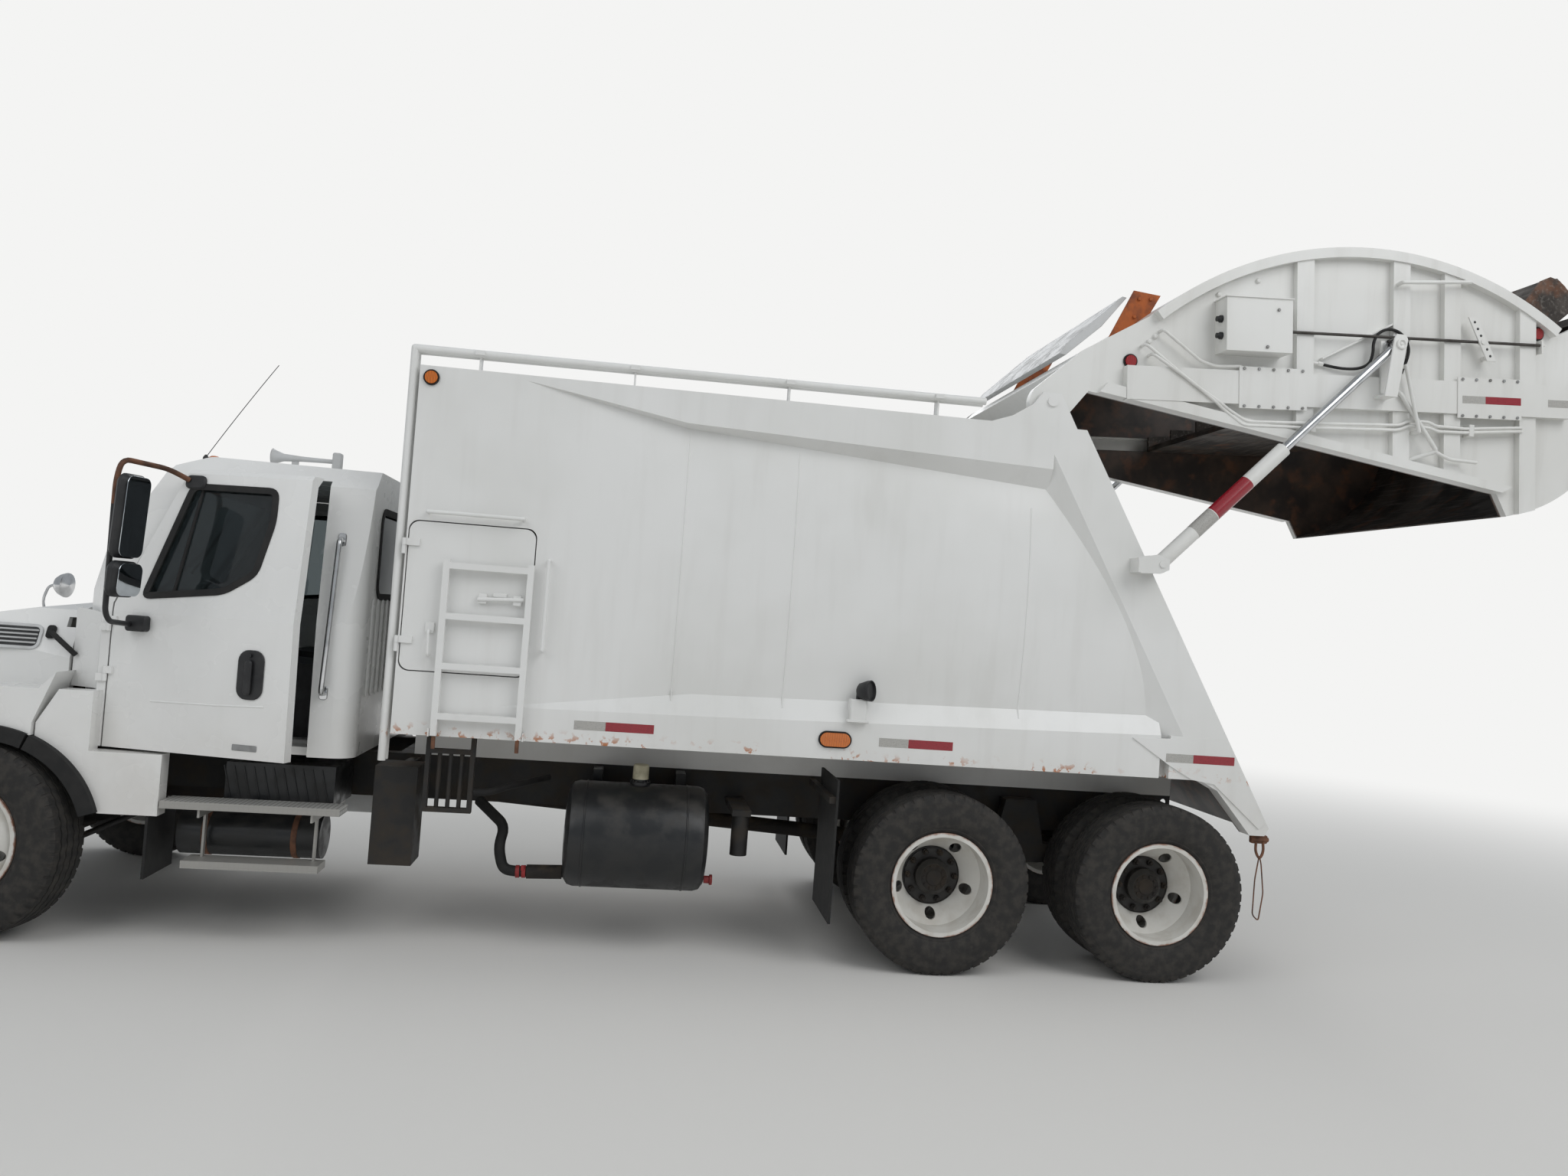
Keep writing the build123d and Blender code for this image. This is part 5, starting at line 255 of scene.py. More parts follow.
def pressed_tread(name):
    """Aluminium step tread with pressed grip cells about 25 mm apart, worn bright on top."""
    material, tree = blank(name)
    cells = node(tree, "TexVoronoi", {"distance": "CHEBYCHEV"}, Scale=40.0, Randomness=0.0,
                 Vector=node(tree, "TexCoord").outputs["Object"]).outputs["Distance"]
    worn = node(tree, "MapRange", SMOOTH, Value=cells, i1=0.25, i2=0.42)
    return finished(material, Base_Color=lay(tree, "DADAD7", "A3A19C", worn), Metallic=0.35, Roughness=0.42,
                    Normal=node(tree, "Bump", Height=cells, Distance=0.003, Strength=0.7))


# Centre and half the width of the room inside the body, and of the room under the tailgate's hood
BODY_HOLLOW = (at((1.3, 0.0, 2.2)), 1.115)
HOOD_HOLLOW = (at((-2.500, 0.0, 2.289)), 1.115)
# Rust stands between these heights along the body's foot, and how much of it
RUST_BAND = (1.20, 1.29, 0.12)
BODY_WHITE = sprayed_enamel("body_enamel_on_steel", "E8E8E6", "DADAD6", 0.34, 0.07, RUST_BAND, BODY_HOLLOW)
TAIL_WHITE = sprayed_enamel("tailgate_enamel_on_steel", "E6E6E3", "D6D5D0", 0.38, 0.12, None, HOOD_HOLLOW)
CAB_WHITE = sprayed_enamel("cab_enamel_coated", "ECECEA", "E2E2E0", 0.22, 0.04)
TANK_BLACK = dusty_steel("tank_black_enamel", "1C1E20", "57534D", 0.3, 0.0, 0.35)
CHASSIS_BLACK = dusty_steel("chassis_black_paint", "1B1A19", "6A5E50", 0.6, 0.0, 0.5)
AXLE_IRON = dusty_steel("cast_iron_axle", "2A2725", "6F6253", 0.7, 0.3, 0.6)
BUMPER_GREY = dusty_steel("bumper_grey_enamel", "C9CACA", "8C857A", 0.4, 0.0, 0.3)
HOPPER_STEEL = scoured_steel("hopper_plate_scoured")
RUBBER_TYRE = tyre_rubber("tyre_rubber_dusty")
# Extruded rubber is matt black. Moulded polypropylene is half matt with a fine grain, and greyer as cab trim
SEAL_RUBBER = plain_finish("seal_rubber_extruded", "171717", "222120", 0.75)
# The black moulding finish also colours the painted shade discs on the pull lever's holes
BLACK_MOULDING_AND_HOLE_SHADE = plain_finish("polypropylene_moulding", "1B1C1E", "2A2A2B", 0.5, 0.0, 0.004)
CAB_TRIM = plain_finish("cab_trim_moulded", "3A3B3D", "2C2C2E", 0.65, 0.0, 0.003)
# Hard chrome and polished stainless steel mirror the sky; the pull rod's bare steel has gone dark and dull
BRIGHT_ROD = plain_finish("hard_chromed_rod", "C9CACC", "B6B8BA", 0.12, 1.0, 0.02)
POLISHED_TUBE = plain_finish("polished_stainless_tube", "CFD0D1", "B9BABB", 0.16, 1.0, 0.02)
DARK_ROD = plain_finish("weathered_pull_rod", "4A4744", "37332F", 0.5, 0.6)
# Zinc plate is grey with a soft sheen; rusted plate still shows orange primer, rusted rod is brown and rough
GALVANISED = plain_finish("zinc_plated_fastener", "9A9B9B", "7B7A77", 0.42, 0.9, 0.005)
RUSTY_PLATE = plain_finish("rusted_primer_plate", "B2602F", "7A4630", 0.8, 0.1, 0.02)
RUSTY_IRON = plain_finish("weathered_iron_rod", "7C5641", "513B30", 0.8, 0.2, 0.02)
# Brushed-on enamel, half gloss and soiled by hands: cream on the filler cap, red on clamps and drain valve
CAP_CREAM = plain_finish("filler_cap_painted", "CFC9AE", "A9A287", 0.5)
CLAMP_RED = plain_finish("clamp_red_enamel", "9E2B2C", "6D2622", 0.45)
STEP_TREAD = pressed_tread("pressed_aluminium_tread")
GLASS = tinted_glass("grey_tinted_glass")
# Silvered glass gives a sharp picture of what stands round it
MIRROR_SILVER = plain_finish("silvered_mirror_glass", "BFC4C8", "B3B8BC", 0.04, 1.0, 0.05)
RED_LENS = lens_plastic("red_acrylic_lens", "B3151A", "6E0A0E")
AMBER_LENS = lens_plastic("amber_acrylic_lens", "E07A17", "A44E0A")
CLEAR_LENS = lens_plastic("clear_polycarbonate_lens", "D7DCDF", "A9B0B5")
# Slot and finish of each shade of marking tape
TAPE = {"silver": ("clear_lens", marking_tape("silver_marking_tape", "B9B7B2", "9A9893")),
        "red": ("red_lens", marking_tape("red_marking_tape", "A01B2B", "7A1320"))}

NODE_FINISH = {
    BODY_WHITE: ("body_sides", "body_floor", "body_roof", "body_front_wall", "roof_pipes", "side_hatch",
                 "ladder"),
    TAIL_WHITE: ("tailgate_sides", "guide_channels", "tailgate_hood", "lift_barrels", "tail_fittings"),
    CAB_WHITE: ("cab_shell", "door_left", "door_right", "bonnet", "quarter_fenders"),
    TANK_BLACK: ("hydraulic_tank", "battery_box"),
    CHASSIS_BLACK: ("frame_rails", "springs", "tie_rod", "valve_rack"),
    AXLE_IRON: ("engine_block", "front_axle", "rear_axles", "knuckle_left", "knuckle_right"),
    BUMPER_GREY: ("front_bumper", "fuel_tank"),
    HOPPER_STEEL: ("ejector_panel", "hopper_trough", "packer_carriage", "sweep_blade"),
    STEP_TREAD: ("left_steps", "riding_steps"),
    SEAL_RUBBER: ("mud_flaps",),
    GLASS: ("cab_glass", "door_glass_left", "door_glass_right"),
    CAB_TRIM: ("cab_interior",),
    BLACK_MOULDING_AND_HOLE_SHADE: ("mirror_left", "mirror_right", "grille"),
    BRIGHT_ROD: ("lift_rods",),
    RED_LENS: ("tail_lamps",),
    AMBER_LENS: ("marker_lamps",),
    CLEAR_LENS: ("headlamps",),
}


def coat(name, finish):
    """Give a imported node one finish."""
    NODES[name].data.materials.clear()
    NODES[name].data.materials.append(finish)


for finish, names in NODE_FINISH.items():
    for name in names:
        coat(name, finish)

# Surfaces


def grid_faces(rows, columns, close_rows=False, close_columns=False):
    """Quads over a rows by columns grid of points, wrapped round where it closes."""
    row = np.arange(rows if close_rows else rows - 1)
    column = np.arange(columns if close_columns else columns - 1)
    r, c = np.meshgrid(row, column, indexing="ij")
    r, c = r.ravel(), c.ravel()
    r2, c2 = (r + 1) % rows, (c + 1) % columns
    return np.stack([r * columns + c, r * columns + c2, r2 * columns + c2, r2 * columns + c], 1)


def surface(points, close_rows=False, close_columns=False, caps=False):
    """A grid of points as (vertices, face arrays); caps closes the first and last row with a polygon."""
    rows, columns = points.shape[:2]
    faces = [grid_faces(rows, columns, close_rows, close_columns)]
    if caps:
        ring = np.arange(columns)
        faces += [ring[None, ::-1], (ring + (rows - 1) * columns)[None]]
    return points.reshape(-1, 3), faces


def outline_normals(outline):
    """Outward normals of a closed outline that runs anticlockwise."""
    along = np.roll(outline, -1, 0) - np.roll(outline, 1, 0)
    along /= np.linalg.norm(along, axis=1, keepdims=True)
    return np.stack([along[:, 1], -along[:, 0]], 1)


def rounded_rectangle(width, tall, radius, steps=5):
    """Anticlockwise outline of a rectangle with round corners, centred on the origin."""
    corner = np.linspace(0, TAU / 4, steps)
    quarter = np.arange(4)[:, None] * TAU / 4 + corner[None, :]
    middle = np.array([[1, 1], [-1, 1], [-1, -1], [1, -1]]) * (width / 2 - radius, tall / 2 - radius)
    arcs = radius * np.stack([np.cos(quarter), np.sin(quarter)], 2) + middle[:, None, :]
    return arcs.reshape(-1, 2)


def circle(radius, steps=24):
    """Anticlockwise circle about the origin."""
    turn = np.arange(steps) * TAU / steps
    return radius * np.stack([np.cos(turn), np.sin(turn)], 1)


def basis(out, up=UPWARD):
    """Unit vectors right, up and out of a plane that faces out."""
    out = np.array(out, float) / np.linalg.norm(out)
    right = np.cross(up, out)
    if np.linalg.norm(right) < 1e-6:
        right = np.cross(AHEAD, out)
    right /= np.linalg.norm(right)
    return right, np.cross(out, right), out


def drawn(outline, centre, out, up=UPWARD):
    """An outline's points on the plane through centre that faces out."""
    right, upward, _ = basis(out, up)
    return np.asarray(centre) + outline[..., :1] * right + outline[..., 1:] * upward


def plate(outline, centre, out, depth, bevel=0.002, up=UPWARD):
    """A flat piece: its outline swept out of its plane by depth, each end drawn in by the bevel."""
    bevel = min(bevel, depth * 0.45)
    levels = np.array([0, bevel, depth - bevel, depth])[:, None, None]
    drawn_in = np.array([bevel, 0, 0, bevel])[:, None, None]
    ring = outline[None] - drawn_in * outline_normals(outline)[None]
    return surface(drawn(ring, centre, out, up) + levels * basis(out, up)[2], close_columns=True, caps=True)


def pad(size, centre, out, depth, bevel=0.002, up=UPWARD):
    """A flat piece with round corners, from its (width, height, corner radius, steps round a corner)."""
    return plate(rounded_rectangle(*size), centre, out, depth, bevel, up)


def heads(places, out, radius, tall, bevel=0.0015, sides=6):
    """Bolt heads or studs of one size, with six or more sides, at several places."""
    return [plate(circle(radius, sides), place, out, tall, bevel) for place in places]


def lathe(profile, centre, axis, steps=32, close=False):
    """A (radius, distance along the axis) profile turned about the axis."""
    right, upward, outward = basis(axis, UPWARD if abs(axis[2]) < 0.9 else AHEAD)
    profile = np.array(profile, float)[:, None]
    rim = circle(1.0, steps)
    rim = rim[:, :1] * right + rim[:, 1:] * upward
    points = np.array(centre) + profile[..., :1] * rim[None] + profile[..., 1:] * outward
    return surface(points, close_rows=close, close_columns=True)


def band(inner, outer, low, high, bevel, centre, axis, steps, close=False):
    """A ring round an axis, from low to high along it, its outer edges cut back by the bevel."""
    profile = ((inner, low), (outer, low + bevel), (outer, high - bevel), (inner, high))
    return lathe(profile, centre, axis, steps, close)


def bends(start, corner, end, steps=6):
    """Points of quadratic curves that leave start and reach end along the lines to their corner."""
    t = np.linspace(0, 1, steps)[None, :, None]
    curves = (1 - t) ** 2 * start[:, None] + 2 * t * (1 - t) * corner[:, None] + t ** 2 * end[:, None]
    return curves.reshape(-1, corner.shape[1])


def rounded_path(corners, radius):
    """Straight runs between corners, each inner corner rounded by a quadratic curve."""
    corners = np.array(corners, float)
    if len(corners) == 2:
        return corners
    before, corner, after = corners[:-2], corners[1:-1], corners[2:]
    back, ahead = before - corner, after - corner
    back_length = np.linalg.norm(back, axis=1, keepdims=True)
    ahead_length = np.linalg.norm(ahead, axis=1, keepdims=True)
    reach = np.minimum(radius, 0.49 * np.minimum(back_length, ahead_length))
    curves = bends(corner + back / back_length * reach, corner, corner + ahead / ahead_length * reach)
    return np.concatenate([corners[:1], curves, corners[-1:]])


def rounded_loop(corners, radius):
    """A closed outline through corners, each rounded by a quadratic curve."""
    corners = np.asarray(corners, float)
    back, ahead = np.roll(corners, 1, 0) - corners, np.roll(corners, -1, 0) - corners
    start = corners + back / np.linalg.norm(back, axis=1, keepdims=True) * radius
    end = corners + ahead / np.linalg.norm(ahead, axis=1, keepdims=True) * radius
    return bends(start, corners, end)


# The 13 directions from a cube's middle to its corners, edges and faces, without their opposites
LATTICE = np.array([spot for spot in np.ndindex(3, 3, 3) if spot > (1, 1, 1)], float) - 1
LATTICE /= np.linalg.norm(LATTICE, axis=1, keepdims=True)


def tube(path, radius, sides=12):
    """A circle carried along a path and square to it, turned by the fixed direction that the path comes
    least near to."""
    path = np.array(path, float)
    tangent = np.gradient(path, axis=0)
    tangent /= np.linalg.norm(tangent, axis=1, keepdims=True)
    clear = np.linalg.norm(np.cross(tangent[None], LATTICE[:, None]), axis=2).min(1)
    across = np.cross(tangent, LATTICE[np.argmax(clear)])
    across /= np.linalg.norm(across, axis=1, keepdims=True)
    other = np.cross(tangent, across)
    turn = circle(1.0, sides)[None]
    points = path[:, None] + radius * (turn[..., :1] * across[:, None] + turn[..., 1:] * other[:, None])
    return surface(points, close_columns=True, caps=True)


def bent_tube(corners, radius, bend=0.05, sides=12):
    """A tube along straight runs with rounded corners."""
    return tube(rounded_path(corners, bend), radius, sides)


def strip(path, out, inner, outer, depth, closed=True):
    """A section with two bevelled corners, carried along a path: inner to outer across it, depth high."""
    path = np.asarray(path, float)
    ahead = np.roll(path, -1, 0) - np.roll(path, 1, 0) if closed else np.gradient(path, axis=0)
    ahead /= np.linalg.norm(ahead, axis=1, keepdims=True)
    out = np.broadcast_to(np.asarray(out, float), path.shape)
    away = np.cross(ahead, out)
    away /= np.linalg.norm(away, axis=1, keepdims=True)
    edge = min(0.002, depth / 3)
    section = ((inner, 0), (inner, depth - edge), (inner + edge, depth), (outer - edge, depth),
               (outer, depth - edge), (outer, 0))
    points = np.stack([path + a * away + d * out for a, d in section])
    if closed:
        return surface(points, close_rows=True, close_columns=True)
    return surface(points.transpose(1, 0, 2), close_columns=True, caps=True)


def piece(name, parts, body, slot, finish, smooth=35):
    """Join surfaces into one object that rides on a CAD body, with its faces turned outwards."""
    vertices = np.concatenate([part[0] for part in parts])
    offsets = np.cumsum([0] + [len(part[0]) for part in parts[:-1]])
    faces = [(face + offset).tolist() for part, offset in zip(parts, offsets) for face in part[1]]
    mesh = bpy.data.meshes.new(name)
    mesh.from_pydata(vertices.tolist(), [], [one for face in faces for one in face])
    shell = bmesh.new()
    shell.from_mesh(mesh)
    bmesh.ops.recalc_face_normals(shell, faces=shell.faces)
    shell.to_mesh(mesh)
    shell.free()
    mesh.materials.append(finish)
    made = bpy.data.objects.new(name, mesh)
    bpy.context.scene.collection.objects.link(made)
    mesh.shade_smooth()
    mesh.set_sharp_from_angle(angle=np.radians(smooth))
    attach(made, body)
    return made


# Tyres and wheels
TYRE_RADIUS = 0.520
TREAD_HALF = 0.106
SHOULDER_FROM = 0.088
CROWN_DROP = 0.0035
GROOVES = (-0.064, -0.022, 0.022, 0.064)
GROOVE_HALF = 0.0046
GROOVE_FLOOR_HALF = 0.0028
GROOVE_DEPTH = 0.012
ZIGZAG = 0.0038
PITCHES = 52
NOTCH_DEPTH = 0.007
# Where sections stand in one pitch of the tread; the notch lies between the third and the fifth
PITCH_PHASES = np.array([0, 0.345, 0.375, 0.5, 0.625, 0.655])
SIDEWALL = np.array([
    # radius, distance from the tyre's middle
    (0.2858, 0.1040), (0.2990, 0.1046), (0.3100, 0.1150), (0.3180, 0.1205), (0.3240, 0.1205),
    (0.3300, 0.1250), (0.3550, 0.1350), (0.3850, 0.1390), (0.4100, 0.1392), (0.4400, 0.1362),
    (0.4650, 0.1310), (0.4700, 0.1318), (0.4760, 0.1296), (0.4960, 0.1195), (0.5080, 0.1125),
])


def tyre(centre, outboard, offset):
    """A tyre section turned about its axle: round sidewalls, and a crown cut by grooves that zigzag once a
    pitch, with a notch in each shoulder at the same pitch."""
    edges = (-GROOVE_HALF, -GROOVE_FLOOR_HALF, GROOVE_FLOOR_HALF, GROOVE_HALF)
    grooves = np.add.outer(GROOVES, edges).ravel()
    across = np.concatenate([[-TREAD_HALF, -SHOULDER_FROM], grooves, [SHOULDER_FROM, TREAD_HALF]])
    depth = np.pad(np.tile([0, GROOVE_DEPTH, GROOVE_DEPTH, 0], len(GROOVES)), 2)
    crown = TYRE_RADIUS - CROWN_DROP * (across / TREAD_HALF) ** 2 - depth
    radius = np.concatenate([SIDEWALL[:, 0], crown, SIDEWALL[::-1, 0]])
    along = np.concatenate([-SIDEWALL[:, 1], across, SIDEWALL[::-1, 1]])
    tread = radius > 0.5
    moves = (np.abs(along) < 0.08) & tread
    shoulder = (np.abs(along) > 0.1) & tread
    turn = ((np.arange(PITCHES)[:, None] + PITCH_PHASES[None]) * TAU / PITCHES).ravel()
    wave = np.tile(1 - 4 * np.abs(PITCH_PHASES - 0.5), PITCHES)
    notched = np.tile((PITCH_PHASES > 0.36) & (PITCH_PHASES < 0.64), PITCHES)
    right, upward, outward = basis(outboard)
    rim = np.cos(turn)[:, None] * right + np.sin(turn)[:, None] * upward
    r = radius[:, None] - NOTCH_DEPTH * shoulder[:, None] * notched[None]
    a = along[:, None] + ZIGZAG * moves[:, None] * wave[None] + offset
    points = np.array(centre) + r[..., None] * rim[None] + a[..., None] * outward
    return surface(points, close_rows=True, close_columns=True)


STUD_CIRCLE = 0.1429
STUDS = 10
CAP_RADIUS = 0.080
CAP_LIP = 0.0006


def hub_trim(centre, outboard, disc, cap_start, cap_end):
    """Ten studs with their nuts round a hub whose end cap has its own ring of small bolts."""
    ring = drawn(circle(1.0, STUDS), (0, 0, 0), outboard)
    outward = basis(outboard)[2]
    nuts = np.array(centre) + disc * outward + STUD_CIRCLE * ring
    face = cap_end + CAP_LIP
    raised, skirt = cap_end + 0.006, CAP_RADIUS + 0.004
    cap = lathe([(0.001, raised), (CAP_RADIUS * 0.55, raised), (CAP_RADIUS * 0.62, face),
                 (CAP_RADIUS * 0.98, face), (skirt, cap_end - 0.006), (skirt, cap_start)], centre, outward)
    small = np.array(centre) + face * outward + 0.8 * CAP_RADIUS * ring
    return [*heads(nuts, outward, 0.019, 0.022, 0.003),
            *heads(nuts + 0.021 * outward, outward, 0.011, 0.022, 0.002, 10),
            cap, *heads(small, outward, 0.0085, 0.009)]


WHEEL_DISC = 0.168
DUAL_SPACING = 0.343
# Outboard of the wheel's middle: its tyres, the seat of its nuts, the start and the end of its hub's cap
FRONT = ((0.0,), WHEEL_DISC + 0.010, 0.170, WHEEL_DISC + 0.0452)
REAR = ((0.0, -DUAL_SPACING), -WHEEL_DISC + 0.0222, -0.10, -WHEEL_DISC + 0.0952)
WHEELS = (("front", "tyre", FRONT), ("rear_1", "tyres", REAR), ("rear_2", "tyres", REAR))
for axle, tyre_node, (offsets, *hub) in WHEELS:
    for side_name, side in SIDES.items():
        place = f"{axle}_{side_name}"
        joint = JOINTS["spin_" + place]
        body, centre = joint["child"], np.array(joint["pos_m"])
        outboard = side * np.array(joint["axis"], float)
        rubber = piece(f"treaded_{tyre_node}_{place}", [tyre(centre, outboard, one) for one in offsets], body,
                       "tyre", RUBBER_TYRE, 30)
        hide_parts(f"{tyre_node}_{place}")
        coat("wheel_" + place, rim_enamel("wheel_enamel_spin_" + place, centre, outboard))
        piece("studs_wheel_" + place, hub_trim(centre, outboard, *hub), body, "cast_iron", AXLE_IRON)

# Places on the truck's skin
RAY_FROM = 2.2
DOOR_HINGE = np.array(JOINTS["door_left_swing"]["pos_m"]) * (1, 1, 0)
DOOR_AJAR = np.radians(-15.0)
TAIL_HINGE = np.array(JOINTS["tailgate_lift"]["pos_m"])
CHANNEL_ALONG = np.array((-0.9984987, 0.0, 0.0547759))
CHANNEL_UP = np.array((0.0547759, 0.0, 0.9984987))
CHANNEL_MIDDLE = 0.134


def seat(name, x, z, side=1):
    """Where a level ray from one side of the truck meets a node, and the surface's outward normal there."""
    hit, place, normal, _ = NODES[name].ray_cast(at((x, RAY_FROM, z), side), (0, -side, 0))
    if not hit:
        raise ValueError(f"no {name} at {x:.3f}, {z:.3f}")
    return np.array(place), np.array(normal)


def roof_place(x, y):
    """Place on top of the cab's roof."""
    return np.array(NODES["cab_shell"].ray_cast(at((x, y, 3.5)), -UPWARD)[1])


def on_channel(along, across, y):
    """Place at a distance along and across the packer channel, from the tailgate's hinge."""
    point = TAIL_HINGE + along * CHANNEL_ALONG + across * CHANNEL_UP
    return np.array((point[0], y, point[2]))


def turned_by(angle):
    """Rotation matrix about the third axis."""
    c, s = np.cos(angle), np.sin(angle)
    return np.array([(c, -s, 0), (s, c, 0), (0, 0, 1)])


def ajar(points):
    """Points of the left door as it hangs: turned about its hinge to where it was left."""
    return (np.asarray(points, float) - DOOR_HINGE) @ turned_by(DOOR_AJAR).T + DOOR_HINGE


# Body: weld seams, marking tape, lamp grommets, floodlight, hatch furniture
SEAMS = ((1.630, 1.475, 2.99), (1.000, 1.475, 2.93), (-0.386, 1.500, 2.73))  # x, low z, high z
SEAM_RADIUS, SEAM_SUNK = 0.0045, 0.0008
for side_name, side in SIDES.items():
    sunk = (0, side * SEAM_SUNK, 0)
    beads = [tube([seat("body_sides", x, z, side)[0] - sunk for z in np.linspace(low, high, 24)],
                  SEAM_RADIUS, 6) for x, low, high in SEAMS]
    piece("weld_seams_" + side_name, beads, "chassis", "white_paint", BODY_WHITE)

TAPE_RUNS = (
    # x where silver starts, where red starts, where red ends, middle z
    (2.150, 1.978, 1.712, 1.312), (0.437, 0.265, 0.004, 1.318), (-1.284, -1.454, -1.712, 1.330),
)
TAPE_DEPTH = (0.0008, 0.0003)  # thickness, bevel
LAMP_HOLES = ((3.056, 3.145, circle(0.034, 32)), (0.692, 1.318, rounded_rectangle(0.172, 0.077, 0.0384, 10)))
GROMMET = (0.0006, 0.009)  # from just off the lamp to the lip's outer edge
for side_name, side in SIDES.items():
    out = (0, side, 0)
    tapes = {shade: [] for shade in TAPE}
    for x0, x1, x2, z in TAPE_RUNS:
        for shade, start, end in (("silver", x0, x1), ("red", x1, x2)):
            x = (start + end) / 2
            y = max(abs(seat("body_sides", x, z + dz, side)[0][1]) for dz in (-0.02, 0, 0.02))
            tapes[shade].append(pad((start - end, 0.050, 0.001, 2), at((x, y, z), side), out, *TAPE_DEPTH))
    for shade, parts in tapes.items():
        piece(f"{shade}_tape_body_{side_name}", parts, "chassis", *TAPE[shade])
    grommets = [strip(drawn(outline, at((x, BODY_Y, z), side), out), out, *GROMMET, 0.013)
                for x, z, outline in LAMP_HOLES]
    piece("lamp_grommets_body_" + side_name, grommets, "chassis", "rubber", SEAL_RUBBER)
    spots = [(0.692 + dx, BODY_Y + 0.0181, 1.318) for dx in (-0.058, -0.029, 0.0, 0.029, 0.058)]
    diodes = heads(at(spots, side), out, 0.009, 0.002, 0.002, 12)
    piece("lamp_diodes_body_" + side_name, diodes, "chassis", "amber_lens", AMBER_LENS)

LAMP_X = 0.575
ledge = seat("body_sides", 0.56, 1.46)[0][1]
lamp_foot, lamp_top = at([(LAMP_X, ledge + 0.02, 1.545), (LAMP_X, ledge + 0.02, 1.600)])
piece("floodlight_box", [
    pad((0.095, 0.125, 0.008, 3), at((LAMP_X, ledge - 0.02, 1.492)), LEFTWARD, 0.080, 0.006),
    pad((0.125, 0.016, 0.004, 3), at((LAMP_X, ledge - 0.02, 1.432)), LEFTWARD, 0.085, 0.003),
], "chassis", "white_paint", BODY_WHITE)
piece("floodlight_head", [
    lathe([(0.001, 0.0), (0.030, 0.0), (0.044, 0.012), (0.058, 0.060), (0.060, 0.082), (0.055, 0.084),
           (0.052, 0.070), (0.001, 0.066)], lamp_top, (-0.75, 0.60, 0.10), 28),
    tube([lamp_foot, lamp_top], 0.012, 10),
], "chassis", "trim_plastic", BLACK_MOULDING_AND_HOLE_SHADE)

hatch_y = seat("side_hatch", 2.59, 1.967)[0][1]
piece("hatch_latch", [
    *(pad((0.045, 0.055, 0.005, 3), at((x, hatch_y, 1.967)), LEFTWARD, 0.030, 0.003) for x in (2.690, 2.505)),
    tube(at([(2.715, hatch_y + 0.030, 1.962), (2.470, hatch_y + 0.030, 1.974)]), 0.011),
    pad((0.075, 0.024, 0.004, 3), at((2.600, hatch_y, 1.990)), LEFTWARD, 0.018, 0.003),
], "hatch_leaf", "white_paint", BODY_WHITE)
piece("hatch_handle", [
    bent_tube(at([(2.957, hatch_y, 1.775), (2.957, hatch_y + 0.055, 1.775), (2.952, hatch_y + 0.055, 1.640),
                  (2.952, hatch_y + 0.010, 1.640)]), 0.008, 0.02),
    pad((0.050, 0.060, 0.008, 3), at((2.957, hatch_y, 1.790)), LEFTWARD, 0.014, 0.003),
], "hatch_leaf", "white_paint", BODY_WHITE)
shackles = [tube(at([(x, 1.262, 1.240), (x, 1.266, 1.190), (x, 1.262, 1.145)]), 0.011, 8)
            for x in (2.885, 2.444)]
piece("ladder_foot_shackles", shackles, "chassis", "cast_iron", RUSTY_IRON)

# Shackle and wire loop at the foot of the body's rear post
piece("post_foot_shackle", [
    pad((0.105, 0.050, 0.010, 3), at((-1.930, 1.150, 0.872)), LEFTWARD, 0.030, 0.004),
    tube(at([(-1.985, 1.175, 0.872), (-1.875, 1.175, 0.872)]), 0.014, 10),
    bent_tube(at([(-1.952, 1.180, 0.860), (-1.956, 1.185, 0.800), (-1.930, 1.190, 0.755),
                  (-1.904, 1.185, 0.800), (-1.908, 1.180, 0.860)]), 0.008, 0.03),
], "chassis", "cast_iron", RUSTY_IRON)
wire = at([(-1.926, 1.192, 0.775), (-1.904, 1.198, 0.640), (-1.896, 1.206, 0.430), (-1.936, 1.206, 0.395),
           (-1.960, 1.200, 0.560), (-1.940, 1.192, 0.740)])
piece("post_foot_wire", [tube(rounded_loop(wire, 0.020), 0.004, 8)], "chassis", "cast_iron", RUSTY_IRON)

# Tailgate: cover bolts, tape, steel lines, braces, studs, lamp grommets
COVERS = ((1.150, 1.583), (2.575, 3.005))  # along the channel
COVER_FACE = CHANNEL_Y + 0.0063
TAIL_TAPES = (("silver", 2.605, 2.760, COVER_FACE), ("red", 2.760, 3.000, COVER_FACE),
              ("silver", 3.190, 3.340, CHANNEL_Y))
OVER_CHANNEL, ON_RIBS = CHANNEL_Y + 0.0098, TAIL_RIB_Y + 0.0093
PIPE_RUNS = (
    # how many of the (x, z) spots lie over the packer channel, before the line steps down onto the ribs
    (3, ((-0.997, 3.753), (-1.307, 3.547), (-1.486, 3.450), (-1.535, 3.425), (-1.663, 3.358),
         (-2.030, 3.383), (-2.657, 3.430), (-2.711, 3.463), (-2.846, 3.467), (-2.892, 3.447),
         (-3.096, 3.449), (-3.480, 3.492))),
    (3, ((-1.043, 3.700), (-1.284, 3.565), (-1.462, 3.449), (-1.510, 3.419), (-1.645, 3.334),
         (-2.010, 3.355), (-2.648, 3.399), (-2.724, 3.436), (-2.860, 3.430), (-2.905, 3.415),
         (-3.097, 3.425), (-3.480, 3.470))),
    (0, ((-1.106, 3.854), (-1.352, 3.690), (-1.449, 3.668), (-1.619, 3.686))),
)
BRACE_Y = TAIL_Y + 0.075
STUD = ((0.015, 0.0), (0.015, 0.010), (0.011, 0.016), (0.001, 0.017))  # radius, height
